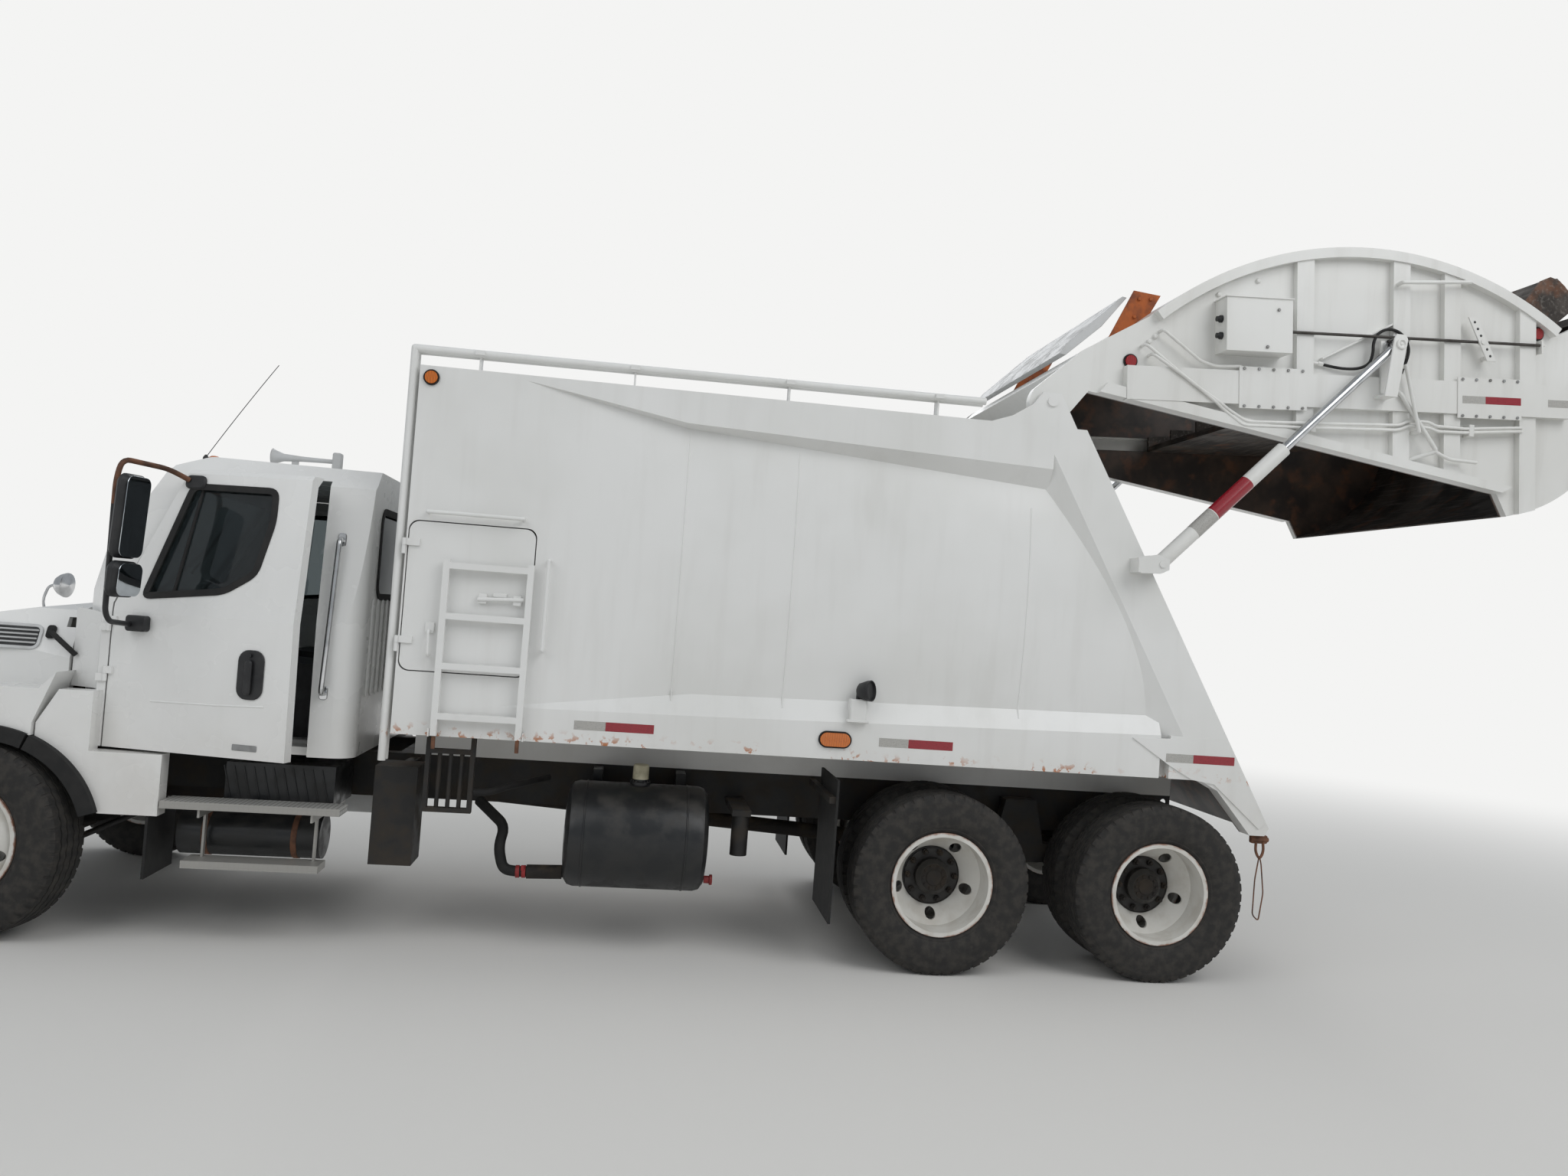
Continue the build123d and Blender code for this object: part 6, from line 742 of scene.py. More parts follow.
for side_name, side in SIDES.items():
    out = (0, side, 0)
    bolts = [on_channel(along, CHANNEL_MIDDLE + row, side * COVER_FACE) for low, high in COVERS
             for along in np.linspace(low + 0.030, high - 0.030, 5) for row in (-0.112, 0.112)]
    piece("cover_bolts_" + side_name, heads(bolts, out, 0.0095, 0.008), "tailgate", "worn_steel", GALVANISED)
    for shade, low, high, y in TAIL_TAPES:
        middle = on_channel((low + high) / 2, CHANNEL_MIDDLE - 0.012, side * y)
        tape = pad((high - low, 0.046, 0.001, 2), middle, out, *TAPE_DEPTH, CHANNEL_UP)
        piece(f"{shade}_tape_tail_{int(low * 1000)}_{side_name}", [tape], "tailgate", *TAPE[shade])

    pipes = []
    for over, run in PIPE_RUNS:
        spots = [(x, OVER_CHANNEL if index < over else ON_RIBS, z) for index, (x, z) in enumerate(run)]
        ends = [(x, TAIL_Y, z) for x, z in (run[0], run[-1])]
        pipes.append(bent_tube(at([ends[0], *spots, ends[1]], side), 0.0095, 0.03, 10))
    clips = [pad((0.034, 0.075, 0.006, 3), at(spot, side), out, 0.0605, 0.003)
             for spot in ((-2.090, TAIL_Y, 3.372), (-3.130, TAIL_Y, 3.440))]
    piece("tail_pipes_" + side_name, pipes + clips, "tailgate", "white_paint", TAIL_WHITE)

    long_brace = at([(-2.609, TAIL_Y + 0.02, 3.650), (-2.630, BRACE_Y, 3.620), (-2.891, BRACE_Y, 3.288),
                     (-2.735, TAIL_Y, 3.222)], side)
    short_brace = at([(-2.880, BRACE_Y, 3.285), (-2.975, BRACE_Y, 3.246), (-3.159, BRACE_Y, 3.243)], side)
    flat_brace = at([(-2.640, TAIL_Y, 4.080), (-2.137, TAIL_Y, 3.790)], side)
    braces = [bent_tube(long_brace, 0.013, 0.02), bent_tube(short_brace, 0.011, 0.03),
              strip(flat_brace, out, -0.006, 0.006, 0.036, closed=False)]
    piece("tail_braces_" + side_name, braces, "tailgate", "white_paint", TAIL_WHITE)
    studs = [lathe(STUD, at((x, TAIL_Y, z), side), out, 16)
             for x, z in ((-1.461, 4.115), (-1.708, 4.225), (-1.041, 3.786), (-1.077, 3.820))]
    piece("tail_studs_" + side_name, studs, "tailgate", "white_paint", TAIL_WHITE)
    loops = [[on_channel(along + c, across + side * s, side * TAIL_Y) for c, s in circle(0.034, 32)]
             for along, across in ((0.490, 0.269), (3.157, 0.565))]
    grommets = [strip(loop, out, *GROMMET, 0.012) for loop in loops]
    piece("lamp_grommets_tail_" + side_name, grommets, "tailgate", "rubber", SEAL_RUBBER)

places = [on_channel(along, across, TAIL_Y + 0.140) for along, across in ((1.350, 0.585), (1.280, 0.362))]
box_bolts = heads(places, LEFTWARD, 0.010, 0.010, 0.002)
piece("control_box_bolts", box_bolts, "tailgate", "worn_steel", GALVANISED)
glands = [lathe([(0.022, 0.0), (0.022, 0.014), (0.016, 0.022), (0.016, 0.034), (0.001, 0.034)],
                on_channel(1.0248, across, TAIL_Y + 0.08), -CHANNEL_ALONG, 16) for across in (0.430, 0.530)]
piece("control_box_glands", glands, "tailgate", "rubber", BLACK_MOULDING_AND_HOLE_SHADE)

# Lift cylinders: marking tape round the barrels
ROD_LINE = np.array(JOINTS["lift_rod_slide"]["axis"])
BARREL_PIVOT = np.array(JOINTS["lift_barrel_swing"]["pos_m"])
BARREL_RADIUS = 0.045
BARREL_TAPE = BARREL_RADIUS + 0.0009
for side_name, side in SIDES.items():
    pivot = BARREL_PIVOT + (0, side * (BODY_Y + 0.055), 0)
    for shade, low, high in (("red", 0.455, 0.745), ("silver", 0.290, 0.450)):
        wrap = band(BARREL_RADIUS, BARREL_TAPE, low, high, 0.001, pivot, ROD_LINE, 40)
        piece(f"{shade}_tape_barrel_{side_name}", [wrap], "lift_barrel_pair", *TAPE[shade])

# Brackets and flap over the hood's front edge, the brackets rusted where they bolt on


def slab(spots, y, thick, bevel=0.002):
    """A flat upright slab through (x, z) spots, centred on y."""
    outline = np.array([(-AXLE_X - x, z) for x, z in spots])
    ahead = np.roll(outline, -1, 0)
    if np.sum(outline[:, 0] * ahead[:, 1] - ahead[:, 0] * outline[:, 1]) < 0:
        outline = outline[::-1]
    return plate(outline, (0, y - thick / 2, 0), LEFTWARD, thick, bevel)


for side_name, side in SIDES.items():
    bracket = slab([(-1.215, 4.150), (-1.040, 4.165), (-0.885, 3.835), (-0.930, 3.800), (-1.100, 3.930)],
                   side * 0.900, 0.012)
    places = at([(-1.150, 0.906, 4.120), (-1.075, 0.906, 4.115), (-0.985, 0.906, 3.900),
                 (-1.050, 0.906, 4.000)], side)
    bolts = heads(places, (0, side, 0), 0.012, 0.012, 0.002)
    piece("hood_bracket_" + side_name, [bracket, *bolts], "tailgate", "cast_iron", RUSTY_PLATE)
flap = slab([(-1.010, 4.125), (-0.985, 4.132), (-0.640, 3.800), (-0.600, 3.735), (-0.640, 3.728),
             (-0.860, 3.930)], 0.0, 1.74, 0.003)
piece("hood_flap", [flap], "tailgate", "grey_paint", BUMPER_GREY)

# Lift clevises: outer cheek, web, pin head, and the jumper hose that loops round the eye
EYE_X, EYE_Z = -2.553, 3.892
CHEEK = np.array([(-0.044, 0.030), (-0.030, 0.058), (0.030, 0.058), (0.044, 0.030), (0.088, -0.322),
                  (0.004, -0.322)]) + (EYE_X, EYE_Z)
# Profiles of (radius, distance outwards)
PIN_HEAD = ((0.033, 0.0), (0.033, 0.008), (0.029, 0.011), (0.021, 0.011), (0.019, 0.004), (0.010, 0.003),
            (0.008, 0.007), (0.001, 0.008))
NUT = ((0.009, 0.0), (0.0135, 0.001), (0.0135, 0.030), (0.0095, 0.034))
CHEEK_Y = BODY_Y + 0.094
CHEEK_THICK = 0.014
WEB_DEPTH = CHEEK_Y - CHANNEL_Y - 0.0005
HOSE_DIAMETER = 0.018
HOSE_ROUTE = (
    (-2.150, 1.1790, 3.757), (-2.220, 1.1815, 3.747), (-2.300, 1.1920, 3.742), (-2.375, 1.2040, 3.750),
    (-2.435, 1.2095, 3.785), (-2.452, 1.2105, 3.850), (-2.449, 1.2105, 3.915), (-2.475, 1.2105, 3.975),
    (-2.535, 1.2105, 4.010), (-2.605, 1.2105, 4.005), (-2.660, 1.2105, 3.965), (-2.687, 1.2105, 3.905),
    (-2.680, 1.2105, 3.840), (-2.655, 1.2085, 3.780), (-2.642, 1.2060, 3.722),
)
for side_name, side in SIDES.items():
    out = (0, side, 0)
    web_foot, pin_head = at([(EYE_X + 0.046, CHANNEL_Y + 0.0003, EYE_Z - 0.313),
                             (EYE_X, CHEEK_Y + CHEEK_THICK, EYE_Z)], side)
    clevis = [slab(CHEEK, side * (CHEEK_Y + CHEEK_THICK / 2), CHEEK_THICK, 0.003),
              pad((0.078, 0.014, 0.002, 2), web_foot, out, WEB_DEPTH), lathe(PIN_HEAD, pin_head, out)]
    piece("lift_clevis_" + side_name, clevis, "tailgate", "white_paint", TAIL_WHITE)

    route = at(HOSE_ROUTE, side)
    feed = at([(-1.985, TAIL_Y, 3.768), (-2.000, 1.179, 3.766), (-2.130, 1.179, 3.760)], side)
    first_nut, last_nut = at([(-2.116, 1.179, 3.761), (-2.642, 1.206, 3.7145)], side)
    fittings = [bent_tube(feed, 0.0085, 0.03, 10), lathe(NUT, first_nut, (-1, 0, -0.10), 6, close=True),
                lathe(NUT, last_nut, UPWARD, 6, close=True)]
    piece("hose_fittings_" + side_name, fittings, "tailgate", "white_paint", TAIL_WHITE)

    curve = bpy.data.curves.new("jumper_hose_" + side_name, "CURVE")
    curve.dimensions = "3D"
    curve.bevel_depth = HOSE_DIAMETER / 2
    curve.bevel_resolution = 4
    curve.use_fill_caps = True
    spline = curve.splines.new("NURBS")
    spline.points.add(len(HOSE_ROUTE) - 1)
    spline.points.foreach_set("co", np.pad(route, ((0, 0), (0, 1)), constant_values=1.0).ravel())
    spline.order_u = 3
    spline.use_endpoint_u = True
    curve.materials.append(SEAL_RUBBER)
    hose = bpy.data.objects.new("jumper_hose_" + side_name, curve)
    bpy.context.scene.collection.objects.link(hose)
    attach(hose, "tailgate")

# The pull rod's bare steel, and thin dark discs on the lever's face that are painted shade where its holes
# are
ROD_Y = TAIL_Y + 0.052
LEVER = np.linspace((2.680, 0.600), (2.785, 0.395), 6)
rod = tube([on_channel(along, 0.482, ROD_Y) for along in (1.4475, 3.134)], 0.0092)
piece("pull_rod_steel", [rod], "tailgate", "worn_steel", DARK_ROD)
# Painted shade: flat dark discs where the lever's holes show their shaded insides
hole_shade_discs = heads([on_channel(*spot, ROD_Y + 0.0162) for spot in LEVER], LEFTWARD, 0.008, 0.0008, 0.0002, 12)
piece("lever_holes", hole_shade_discs, "tailgate", "rubber", BLACK_MOULDING_AND_HOLE_SHADE)

# Doors: window seal, handle, blank plate, swage line
BELT_Z, UPPER_Z = 1.82, 2.45
belt_y, upper_y = (abs(seat("door_right", 3.72, z, -1)[0][1]) for z in (BELT_Z, UPPER_Z))
door_y = abs(seat("door_right", 3.82, 1.47, -1)[0][1])
LEAN = (upper_y - belt_y) / (UPPER_Z - BELT_Z)
WINDOW_OUT = np.array((0, 1.0, -LEAN)) / np.hypot(1, LEAN)
WINDOW = ((3.800, 2.470), (3.790, 2.290), (3.850, 2.000), (4.020, 1.890), (4.490, 1.835), (4.300, 2.470))


def door_skin(x, z):
    """Place on the closed left door's skin: upright below the belt, leaning in above it."""
    return at((x, belt_y + LEAN * (z - BELT_Z) if z > BELT_Z else door_y, z))


def hang(parts, side):
    """Put trim made for the closed left door on either door; the left one hangs ajar."""
    hung = [(vertices * (1, side, 1), faces) for vertices, faces in parts]
    return [(ajar(vertices), faces) for vertices, faces in hung] if side == 1 else hung


window_loop = [door_skin(x, z) for x, z in rounded_loop(WINDOW, 0.055)]
window_bar = [door_skin(x, z) - (0, 0.018, 0) for x, z in ((4.243, 2.46), (4.322, 1.868))]
swage_line = [door_skin(x, z) - (0, 0.004, 0) for x, z in ((3.730, 1.312), (4.000, 1.300), (4.380, 1.292))]
grip_seat, lock_seat = (door_skin(3.822, z) + (0, 0.008, 0) for z in (1.462, 1.578))
DOOR_TRIM = (
    ("window_seal_", "rubber", SEAL_RUBBER,
     [strip(window_loop, WINDOW_OUT, -0.006, 0.030, 0.007), tube(window_bar, 0.009, 8)]),
    ("door_handle_", "trim_plastic", BLACK_MOULDING_AND_HOLE_SHADE,
     [pad((0.150, 0.262, 0.058, 6), door_skin(3.818, 1.475), LEFTWARD, 0.010, 0.005),
      pad((0.040, 0.185, 0.018, 5), grip_seat, LEFTWARD, 0.026, 0.008),
      lathe([(0.010, 0), (0.010, 0.014), (0.001, 0.015)], lock_seat, LEFTWARD, 16)]),
    ("door_plate_", "grey_paint", GALVANISED,
     [pad((0.140, 0.032, 0.004, 3), door_skin(3.820, 1.090), LEFTWARD, 0.004, 0.0015)]),
    ("door_swage_", "cab_paint", CAB_WHITE, [tube(swage_line, 0.007, 8)]),
)
for side_name, side in SIDES.items():
    for name, slot, finish, parts in DOOR_TRIM:
        piece(name + side_name, hang(parts, side), "door_leaf_" + side_name, slot, finish)

# Cowl sides between the doors and the bonnet
COWL_FOOT_Z = 1.335
COWL_TOP = np.array([(4.682, 1.034, 1.735), (4.700, 1.030, 1.742), (4.760, 1.000, 1.752),
                     (4.820, 0.968, 1.758), (4.862, 0.948, 1.760)])
COWL_FOOT = COWL_TOP * (1, 1, 0) + (0, 0, COWL_FOOT_Z)
COWL_THICK = (0, 0.012, 0)
for side_name, side in SIDES.items():
    panel = at(np.stack([COWL_FOOT, COWL_TOP, COWL_TOP - COWL_THICK, COWL_FOOT - COWL_THICK], 1), side)
    cowl = surface(panel, close_columns=True, caps=True)
    piece("cowl_side_" + side_name, [cowl], "chassis", "cab_paint", CAB_WHITE)

# Mirrors: two shells with their glass on a bracket whose upper arm has rusted
MIRROR_X, MIRROR_Y = 4.325, 1.360
MIRROR_HEADS = ((2.250, 0.430, 0.075), (1.930, 0.184, 0.085))  # middle z, height, depth
MIRROR_WIDTH, GLASS_INSET = 0.190, 0.018
MIRROR_OUT = np.array((1, 0, 0.05))
shells, glass, stubs = [], [], []
for z, tall, depth in MIRROR_HEADS:
    middle = at((MIRROR_X, MIRROR_Y, z))
    shells.append(pad((MIRROR_WIDTH, tall, 0.045, 6), middle, MIRROR_OUT, depth, 0.030))
    outline = (MIRROR_WIDTH - GLASS_INSET, tall - GLASS_INSET, 0.040, 6)
    glass.append(pad(outline, middle, -MIRROR_OUT, 0.004, 0.001))
    stubs.append(tube(at([(4.375, MIRROR_Y, z), (4.440, MIRROR_Y + 0.012, z)]), 0.013, 10))
upper_arm = bent_tube(at([(4.315, 0.975, 2.490), (4.380, 1.060, 2.535), (4.430, 1.350, 2.545),
                          (4.435, 1.375, 2.440), (4.435, 1.375, 2.300)]), 0.014, 0.06)
lower_arm = bent_tube(at([(4.435, 1.375, 2.310), (4.430, 1.378, 1.760), (4.440, 1.330, 1.712),
                          (4.520, 1.045, 1.690)]), 0.014, 0.07)
mounts = [pad((0.118, 0.075, 0.028, 5), at((4.280, 0.9545, 2.480)), (0, 1, -LEAN), 0.024, 0.008),
          pad((0.120, 0.085, 0.018, 5), at((4.475, 1.044, 1.700)), LEFTWARD, 0.050, 0.008)]
for side_name, side in SIDES.items():
    body = "door_leaf_" + side_name
    moulded = hang([*shells, lower_arm, *mounts, *stubs], side)
    shell = piece("mirror_shells_" + side_name, moulded, body, "trim_plastic", BLACK_MOULDING_AND_HOLE_SHADE)
    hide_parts("mirror_" + side_name)
    piece("mirror_upper_arm_" + side_name, hang([upper_arm], side), body, "cast_iron", RUSTY_IRON)
    piece("mirror_glass_" + side_name, hang(glass, side), body, "chrome_rod", MIRROR_SILVER)

# Cab shell: grab bars, rear ribs, rear window and windscreen seals, wipers
for side_name, side in SIDES.items():
    stand_off = (0, side * 0.060, 0)
    high, low = (seat("cab_shell", x, z, side)[0] for x, z in ((3.505, 2.235), (3.523, 1.385)))
    bar = bent_tube([high, high + stand_off, low + stand_off, low], 0.015, 0.05, 14)
    pads = [pad((0.046, 0.075, 0.016, 4), root - (0, side * 0.004, 0), (0, side, 0), 0.012, 0.004)
            for root in (high, low)]
    piece("cab_grab_bar_" + side_name, [bar] + pads, "chassis", "chrome_rod", POLISHED_TUBE)

REAR_X = 3.350
ribs = [pad((0.045, 0.560, 0.022, 6), at((REAR_X + 0.001, y, 1.640)), -AHEAD, 0.012, 0.005)
        for y in np.arange(-0.84, 0.85, 0.12)]
piece("cab_rear_ribs", ribs, "chassis", "cab_paint", CAB_WHITE)
rear_loop = drawn(rounded_rectangle(1.500, 0.480, 0.070, 6), at((REAR_X, 0, 2.180)), -AHEAD)
piece("rear_window_seal", [strip(rear_loop, -AHEAD, -0.010, 0.028, 0.008)], "chassis", "rubber", SEAL_RUBBER)

SCREEN_LOW, SCREEN_HIGH = at([(4.880, 0, 1.790), (4.440, 0, 2.580)])
SCREEN_MIDDLE = (SCREEN_LOW + SCREEN_HIGH) / 2
SCREEN_UP = (SCREEN_HIGH - SCREEN_LOW) / np.linalg.norm(SCREEN_HIGH - SCREEN_LOW)
SCREEN_OUT = np.array((SCREEN_UP[2], 0, -SCREEN_UP[0]))
screen_loop = drawn(rounded_rectangle(1.600, 0.720, 0.090, 6), SCREEN_MIDDLE, SCREEN_OUT)
screen_seal = strip(screen_loop, SCREEN_OUT, -0.010, 0.026, 0.008)
piece("windscreen_seal", [screen_seal], "chassis", "rubber", SEAL_RUBBER)
wipers = []
for y in (0.62, -0.12):
    root = SCREEN_LOW + (0.012, y, -0.012)
    tip = SCREEN_MIDDLE - 0.05 * SCREEN_UP + (0, y - 0.30, 0)
    half_blade = np.array((0, -0.24, 0.18 * SCREEN_UP[2]))
    blade = np.array([tip - half_blade, tip + half_blade]) + 0.016 * SCREEN_OUT
    arm = [root, root + 0.035 * SCREEN_OUT + 0.03 * SCREEN_UP, tip + 0.030 * SCREEN_OUT]
    wipers += [bent_tube(arm, 0.008, 0.03, 8), tube(blade, 0.009, 8)]
piece("windscreen_wipers", wipers, "chassis", "trim_plastic", BLACK_MOULDING_AND_HOLE_SHADE)

# Cab roof: marker lamps on their gaskets, both as (radius, height) profiles, horn, aerial
DOME = ((0.001, 0.036), (0.018, 0.034), (0.032, 0.024), (0.040, 0.008), (0.040, 0.0))
GASKET = ((0.046, 0.0), (0.046, 0.005), (0.0405, 0.009), (0.0405, 0.0))
lamp_seats = [roof_place(4.315, y) - (0, 0, 0.001) for y in (-0.70, -0.20, 0.0, 0.20, 0.70)]
domes = [lathe(DOME, place, UPWARD, 24) for place in lamp_seats]
piece("roof_marker_lamps", domes, "chassis", "amber_lens", AMBER_LENS)
gaskets = [lathe(GASKET, place, UPWARD, 24, close=True) for place in lamp_seats]
piece("roof_lamp_gaskets", gaskets, "chassis", "rubber", SEAL_RUBBER)

HORN_Z = 2.715
roof_at_horn = roof_place(3.86, 0.5)[2]
horn_rise, horn_foot_z = HORN_Z - roof_at_horn, (HORN_Z + roof_at_horn) / 2 - 0.012
piece("roof_air_horn", [
    lathe([(0.001, -0.372), (0.013, -0.372), (0.013, -0.300), (0.016, -0.160), (0.023, -0.060), (0.046, 0.0),
           (0.050, 0.002), (0.048, 0.004), (0.042, -0.006), (0.020, -0.058), (0.001, -0.080)],
          at((4.058, 0.500, HORN_Z)), AHEAD, 28),
    pad((0.052, 0.115, 0.010, 3), at((3.690, 0.474, HORN_Z - 0.004)), LEFTWARD, 0.052, 0.006),
    pad((0.040, horn_rise, 0.004, 3), at((3.930, 0.494, horn_foot_z)), LEFTWARD, 0.012, 0.003),
    pad((0.050, horn_rise, 0.004, 3), at((3.690, 0.490, horn_foot_z)), LEFTWARD, 0.020, 0.003),
], "chassis", "grey_paint", BUMPER_GREY)
aerial_root = roof_place(4.330, 0.790)
t = np.linspace(0, 1, 24)[:, None]
whip = aerial_root + (0, 0, 0.02) + t * (-0.330, 0.0, 0.560) + t ** 2 * (-0.020, 0, 0)
piece("roof_aerial", [
    tube(whip, 0.0022, 8),
    lathe([(0.017, 0), (0.015, 0.020), (0.006, 0.034), (0.001, 0.036)], aerial_root, UPWARD, 16),
], "chassis", "trim_plastic", BLACK_MOULDING_AND_HOLE_SHADE)

# Bonnet: side louvres, rubber latches, wheel-arch flares, fender mirror
LOUVRE = (0.250, 0.120, 0.028, 5)
ARCH_X, ARCH_Z, ARCH_RADIUS = 5.170, 0.520, 0.607
FLARES = (
    # body, degrees up from straight ahead where it starts and ends, distance out, depth
    ("bonnet_flare_", "bonnet_shell", 16, 111, 1.140, 0.052),
    ("quarter_flare_", "chassis", 112.5, 163, 1.120, 0.072),
)
for side_name, side in SIDES.items():
    place, normal = seat("bonnet", 5.180, 1.580, side)
    _, upward, outward = basis(normal)
    back_plate = pad(LOUVRE, place, normal, 0.004, 0.001)
    piece("bonnet_louvre_" + side_name, [back_plate], "bonnet_shell", "trim_plastic", BLACK_MOULDING_AND_HOLE_SHADE)
    surround = strip(drawn(rounded_rectangle(*LOUVRE), place, normal), outward, -0.004, 0.013, 0.010)
    slats = [pad((0.236, 0.009, 0.003, 2), place + dz * upward + 0.003 * outward, normal, 0.012, 0.003)
             for dz in (-0.036, -0.012, 0.012, 0.036)]
    piece("bonnet_louvre_frame_" + side_name, [surround] + slats, "bonnet_shell", "grey_paint", BUMPER_GREY)

    high, high_out = seat("bonnet", 5.000, 1.610, side)
    low, low_out = seat("bonnet", 4.890, 1.530, side)
    span = low - high
    strap = [high + 0.020 * high_out, high + 0.45 * span + 0.045 * high_out, low + 0.040 * low_out,
             high + 1.45 * span + 0.020 * low_out]
    latch = [pad((0.045, 0.075, 0.015, 4), high, high_out, 0.022, 0.006), bent_tube(strap, 0.014, 0.05, 10)]
    piece("bonnet_latch_" + side_name, latch, "bonnet_shell", "rubber", SEAL_RUBBER)

    for name, body, start, end, y, depth in FLARES:
        turn = np.radians(np.linspace(start, end, 40))
        arch = np.stack([np.cos(turn), 0 * turn, np.sin(turn)], 1) * ARCH_RADIUS + (ARCH_X, y, ARCH_Z)
        flare = strip(at(arch, side), (0, side, 0), -0.004 * side, 0.078 * side, depth, closed=False)
        piece(name + side_name, [flare], body, "rubber", SEAL_RUBBER)

bowl = at((5.800, -0.960, 1.845))
piece("fender_mirror", [
    lathe([(0.001, 0.078), (0.030, 0.073), (0.055, 0.058), (0.074, 0.033), (0.086, 0.0), (0.086, -0.008),
           (0.080, -0.010), (0.001, -0.022)], bowl, (1.0, -0.15, 0.05)),
    bent_tube([*(bowl + [(0.070, -0.010, 0), (0.120, -0.015, -0.015), (0.160, -0.020, -0.13)]),
               at((5.800, -1.060, 1.32))], 0.009, 0.06),
], "bonnet_shell", "chrome_rod", POLISHED_TUBE)

# Oil tank with domed ends, its neck, cap, bands and pipework
TANK_Y, TANK_Z, TANK_R = 0.835, 0.652, 0.302
TANK_START = at((1.3450, TANK_Y, TANK_Z))
NECK = at((1.758, TANK_Y, TANK_Z))
barrel = lathe([(0.001, 0.0), (0.190, 0.004), (0.262, 0.014), (0.292, 0.036), (TANK_R, 0.070),
                (TANK_R, 0.757), (0.292, 0.791), (0.262, 0.813), (0.190, 0.823), (0.001, 0.827)],
               TANK_START, AHEAD, 72)
hoops = [band(TANK_R - 0.004, TANK_R + 0.0035, low, low + 0.015, 0.003, TANK_START, AHEAD, 72)
         for low in (0.128, 0.706)]
neck = lathe([(0.060, TANK_R - 0.01), (0.060, TANK_R + 0.012), (0.040, TANK_R + 0.014), (0.040, 0.370)],
             NECK, UPWARD, 28)
neck_bolts = heads([NECK + (c, s, TANK_R + 0.011) for c, s in circle(0.050, 6)], UPWARD, 0.008, 0.008)
hangers = [pad((0.060, 0.230, 0.004, 2), at((x, 0.600, 0.875)), -LEFTWARD, 0.167, 0.003)
           for x in (1.510, 2.010)]
tank = piece("oil_tank", [barrel, *hoops, neck, *neck_bolts, *hangers], "chassis", "black_paint", TANK_BLACK)
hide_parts("hydraulic_tank")
filler_cap = lathe([(0.001, 0.4145), (0.040, 0.4145), (0.0455, 0.408), (0.0465, 0.372), (0.0465, 0.330),
                    (0.030, 0.328)], NECK, UPWARD)
piece("oil_tank_cap", [filler_cap], "chassis", "clear_lens", CAP_CREAM)

SUCTION_START, SUCTION_LINE = at((2.170, 0.840, 0.420)), (1, 0, -0.03)
suction = at([(2.160, 0.840, 0.420), (2.420, 0.840, 0.412), (2.505, 0.835, 0.420), (2.545, 0.800, 0.540),
              (2.520, 0.740, 0.650), (2.700, 0.560, 0.760)])
piece("suction_pipe", [bent_tube(suction, 0.031, 0.11, 16)], "chassis", "rubber", SEAL_RUBBER)
flange = band(0.031, 0.040, 0.0, 0.200, 0.0, SUCTION_START, SUCTION_LINE, 24, close=True)
piece("suction_flange", [flange], "chassis", "cast_iron", AXLE_IRON)
clamps = [band(0.032, 0.036, low, low + 0.022, 0.0, SUCTION_START, SUCTION_LINE, 24, close=True)
          for low in (0.205, 0.240)]
screw = pad((0.020, 0.030, 0.004, 3), at((2.392, 0.862, 0.440)), LEFTWARD, 0.016, 0.003)
piece("suction_clamps", clamps + [screw], "chassis", "red_lens", CLAMP_RED)
drain = lathe([(0.022, 0), (0.022, 0.030), (0.030, 0.032), (0.030, 0.048), (0.001, 0.050)],
              at((1.347, 0.870, 0.420)), -AHEAD, 20)
piece("drain_valve", [drain], "chassis", "red_lens", CLAMP_RED)
back_line = at([(2.700, 1.060, 0.890), (2.600, 1.020, 0.885), (2.510, 0.900, 0.905), (2.420, 0.780, 0.915),
                (2.300, 0.620, 0.930)])
piece("return_pipe", [bent_tube(back_line, 0.020, 0.06)], "chassis", "rubber", SEAL_RUBBER)

# Straps round the air tank, and the ribs of the battery box's cover
straps = [band(0.1255, 0.1285, 0.0, 0.032, 0.002, at((x, 0.850, 0.565)), AHEAD, 48) for x in (3.620, 4.090)]
piece("air_tank_straps", straps, "chassis", "cast_iron", RUSTY_IRON)
cover_ribs = [tube(at([(x, 0.922, 0.760), (x + 0.045, 0.922, 0.945)]), 0.004, 6)
              for x in np.arange(3.480, 4.020, 0.052)]
piece("battery_cover_ribs", cover_ribs, "chassis", "black_paint", TANK_BLACK)

# Stage, light and camera
BACKDROP_WHITE = "F4F4F3"


def seen_by(tree, *rays):
    """1 where any of these kinds of ray looks, and 0 for the light that falls on the truck."""
    outputs = node(tree, "LightPath").outputs
    seen = outputs[rays[0]]
    for ray in rays[1:]:
        seen = node(tree, "Math", {"operation": "MAXIMUM"}, i0=seen, i1=outputs[ray]).outputs[0]
    return seen


def pale_ground(name, colour, near, far):
    """A pale floor that keeps the truck's shadow near it and turns to the backdrop's white further out."""
    material, tree = blank(name)
    paint = node(tree, "BsdfPrincipled", Base_Color=colour, Roughness=0.9)
    white = node(tree, "Emission", Color=BACKDROP_WHITE, Strength=1.0)
    distance = node(tree, "VectorMath", {"operation": "LENGTH"}, i0=node(tree, "TexCoord").outputs["Object"])
    faded = node(tree, "MapRange", SMOOTH, Value=distance.outputs["Value"], i1=near, i2=far)
    seen = seen_by(tree, "Is Camera Ray", "Is Glossy Ray", "Is Transmission Ray")
    amount = node(tree, "Math", {"operation": "MULTIPLY"}, i0=faded, i1=seen)
    node(tree, "OutputMaterial", Surface=node(tree, "MixShader", i0=amount, i1=paint, i2=white))
    return material


FLOOR_REACH = 200
floor_mesh = bpy.data.meshes.new("studio_floor")
corners = FLOOR_REACH * np.array([(-1, -1, 0), (1, -1, 0), (1, 1, 0), (-1, 1, 0)])
floor_mesh.from_pydata(corners.tolist(), [], [(0, 1, 2, 3)])
floor_mesh.materials.append(pale_ground("studio_floor_paint", "E4E2DE", 5.5, 16.0))
floor = bpy.data.objects.new("studio_floor", floor_mesh)
bpy.context.scene.collection.objects.link(floor)

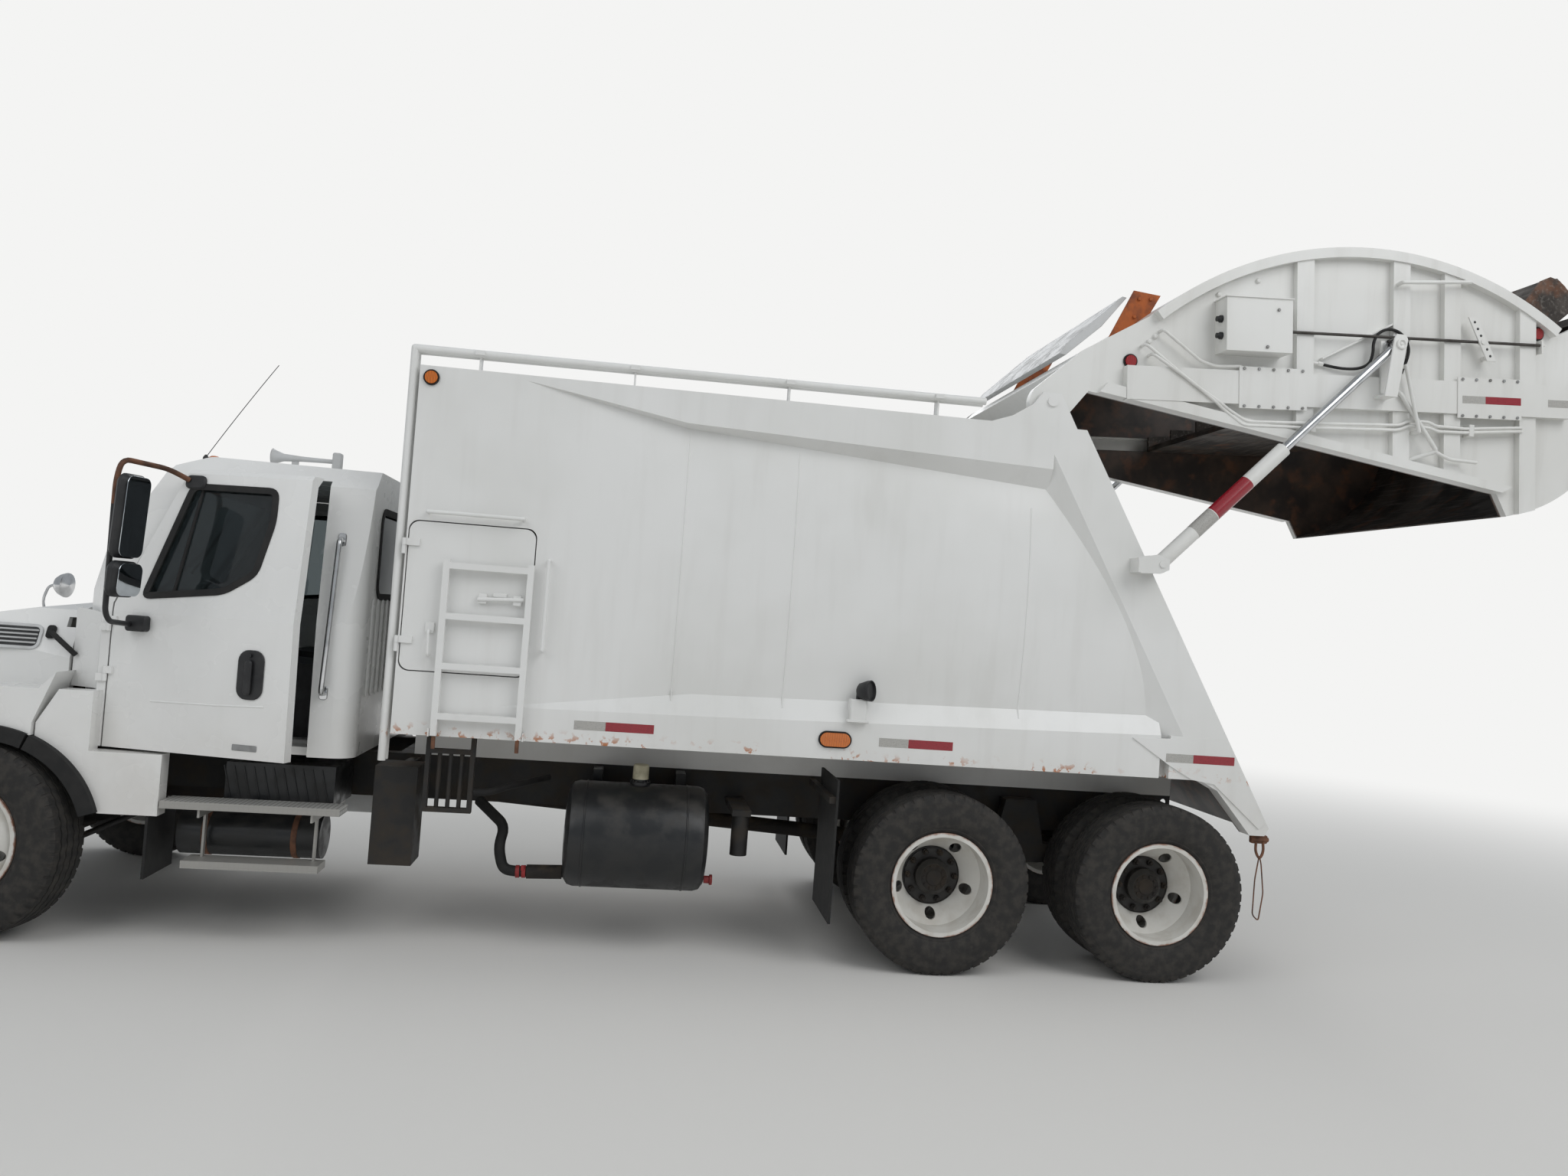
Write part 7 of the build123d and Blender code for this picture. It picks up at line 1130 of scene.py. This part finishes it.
world = bpy.data.worlds.new("studio")
bpy.context.scene.world = world
world.use_nodes = True
sky = world.node_tree
sky.nodes.clear()
lighting = node(sky, "Background", Color="E8EDF2", Strength=0.50)
backdrop = node(sky, "Background", Color=BACKDROP_WHITE, Strength=1.0)
seen = seen_by(sky, "Is Camera Ray", "Is Transmission Ray")
node(sky, "OutputWorld", Surface=node(sky, "MixShader", i0=seen, i1=lighting, i2=backdrop))


def stand(name, data, place, axes):
    """Put a lamp or camera at a place, with its right, up and back along the given axes."""
    made = bpy.data.objects.new(name, data)
    turned = Matrix(np.stack(axes, 1).tolist()).to_4x4()
    turned.translation = place
    made.matrix_world = turned
    bpy.context.scene.collection.objects.link(made)
    return made


def soft_lamp(name, place, target, size, power):
    """A large square lamp aimed at a point."""
    lamp = bpy.data.lights.new(name, "AREA")
    lamp.size = size
    lamp.energy = power
    stand(name, lamp, place, basis(np.subtract(place, target)))


soft_lamp("lamp_over_left_rear", (-7.0, 9.0, 11.0), (0, 0, 1.5), 9.0, 620)
soft_lamp("lamp_over_left_front", (8.0, 8.0, 9.0), (1, 0, 1.5), 8.0, 260)
soft_lamp("lamp_over_right", (0.0, -11.0, 10.0), (0, 0, 1.5), 9.0, 420)

CAMERA_PLACE = at((1.8787, 7.6375, 1.9732))
CAMERA_YAW = 0.1292
CAMERA_PITCH = -0.0275
CAMERA_ROLL = 0.0736
FOCAL_PIXELS = 1499.7
PICTURE_WIDTH = 2048
SENSOR_WIDTH = 36.0

# Rows right, down and ahead of the camera: level and facing the truck's side, then turned by yaw about the
# upright, by pitch about its own right, and by roll about its line of sight
facing_side = np.array([(-1, 0, 0), (0, 0, -1), (0, -1, 0)], float)
pitched = np.roll(turned_by(CAMERA_PITCH), (1, 1), (0, 1))
right, down, ahead = turned_by(CAMERA_ROLL) @ pitched @ facing_side @ turned_by(CAMERA_YAW)
camera_data = bpy.data.cameras.new("camera")
camera_data.sensor_width = SENSOR_WIDTH
camera_data.lens = FOCAL_PIXELS / PICTURE_WIDTH * SENSOR_WIDTH
bpy.context.scene.camera = stand("camera", camera_data, CAMERA_PLACE, (right, -down, -ahead))
bpy.context.scene.view_settings.view_transform = "Standard"
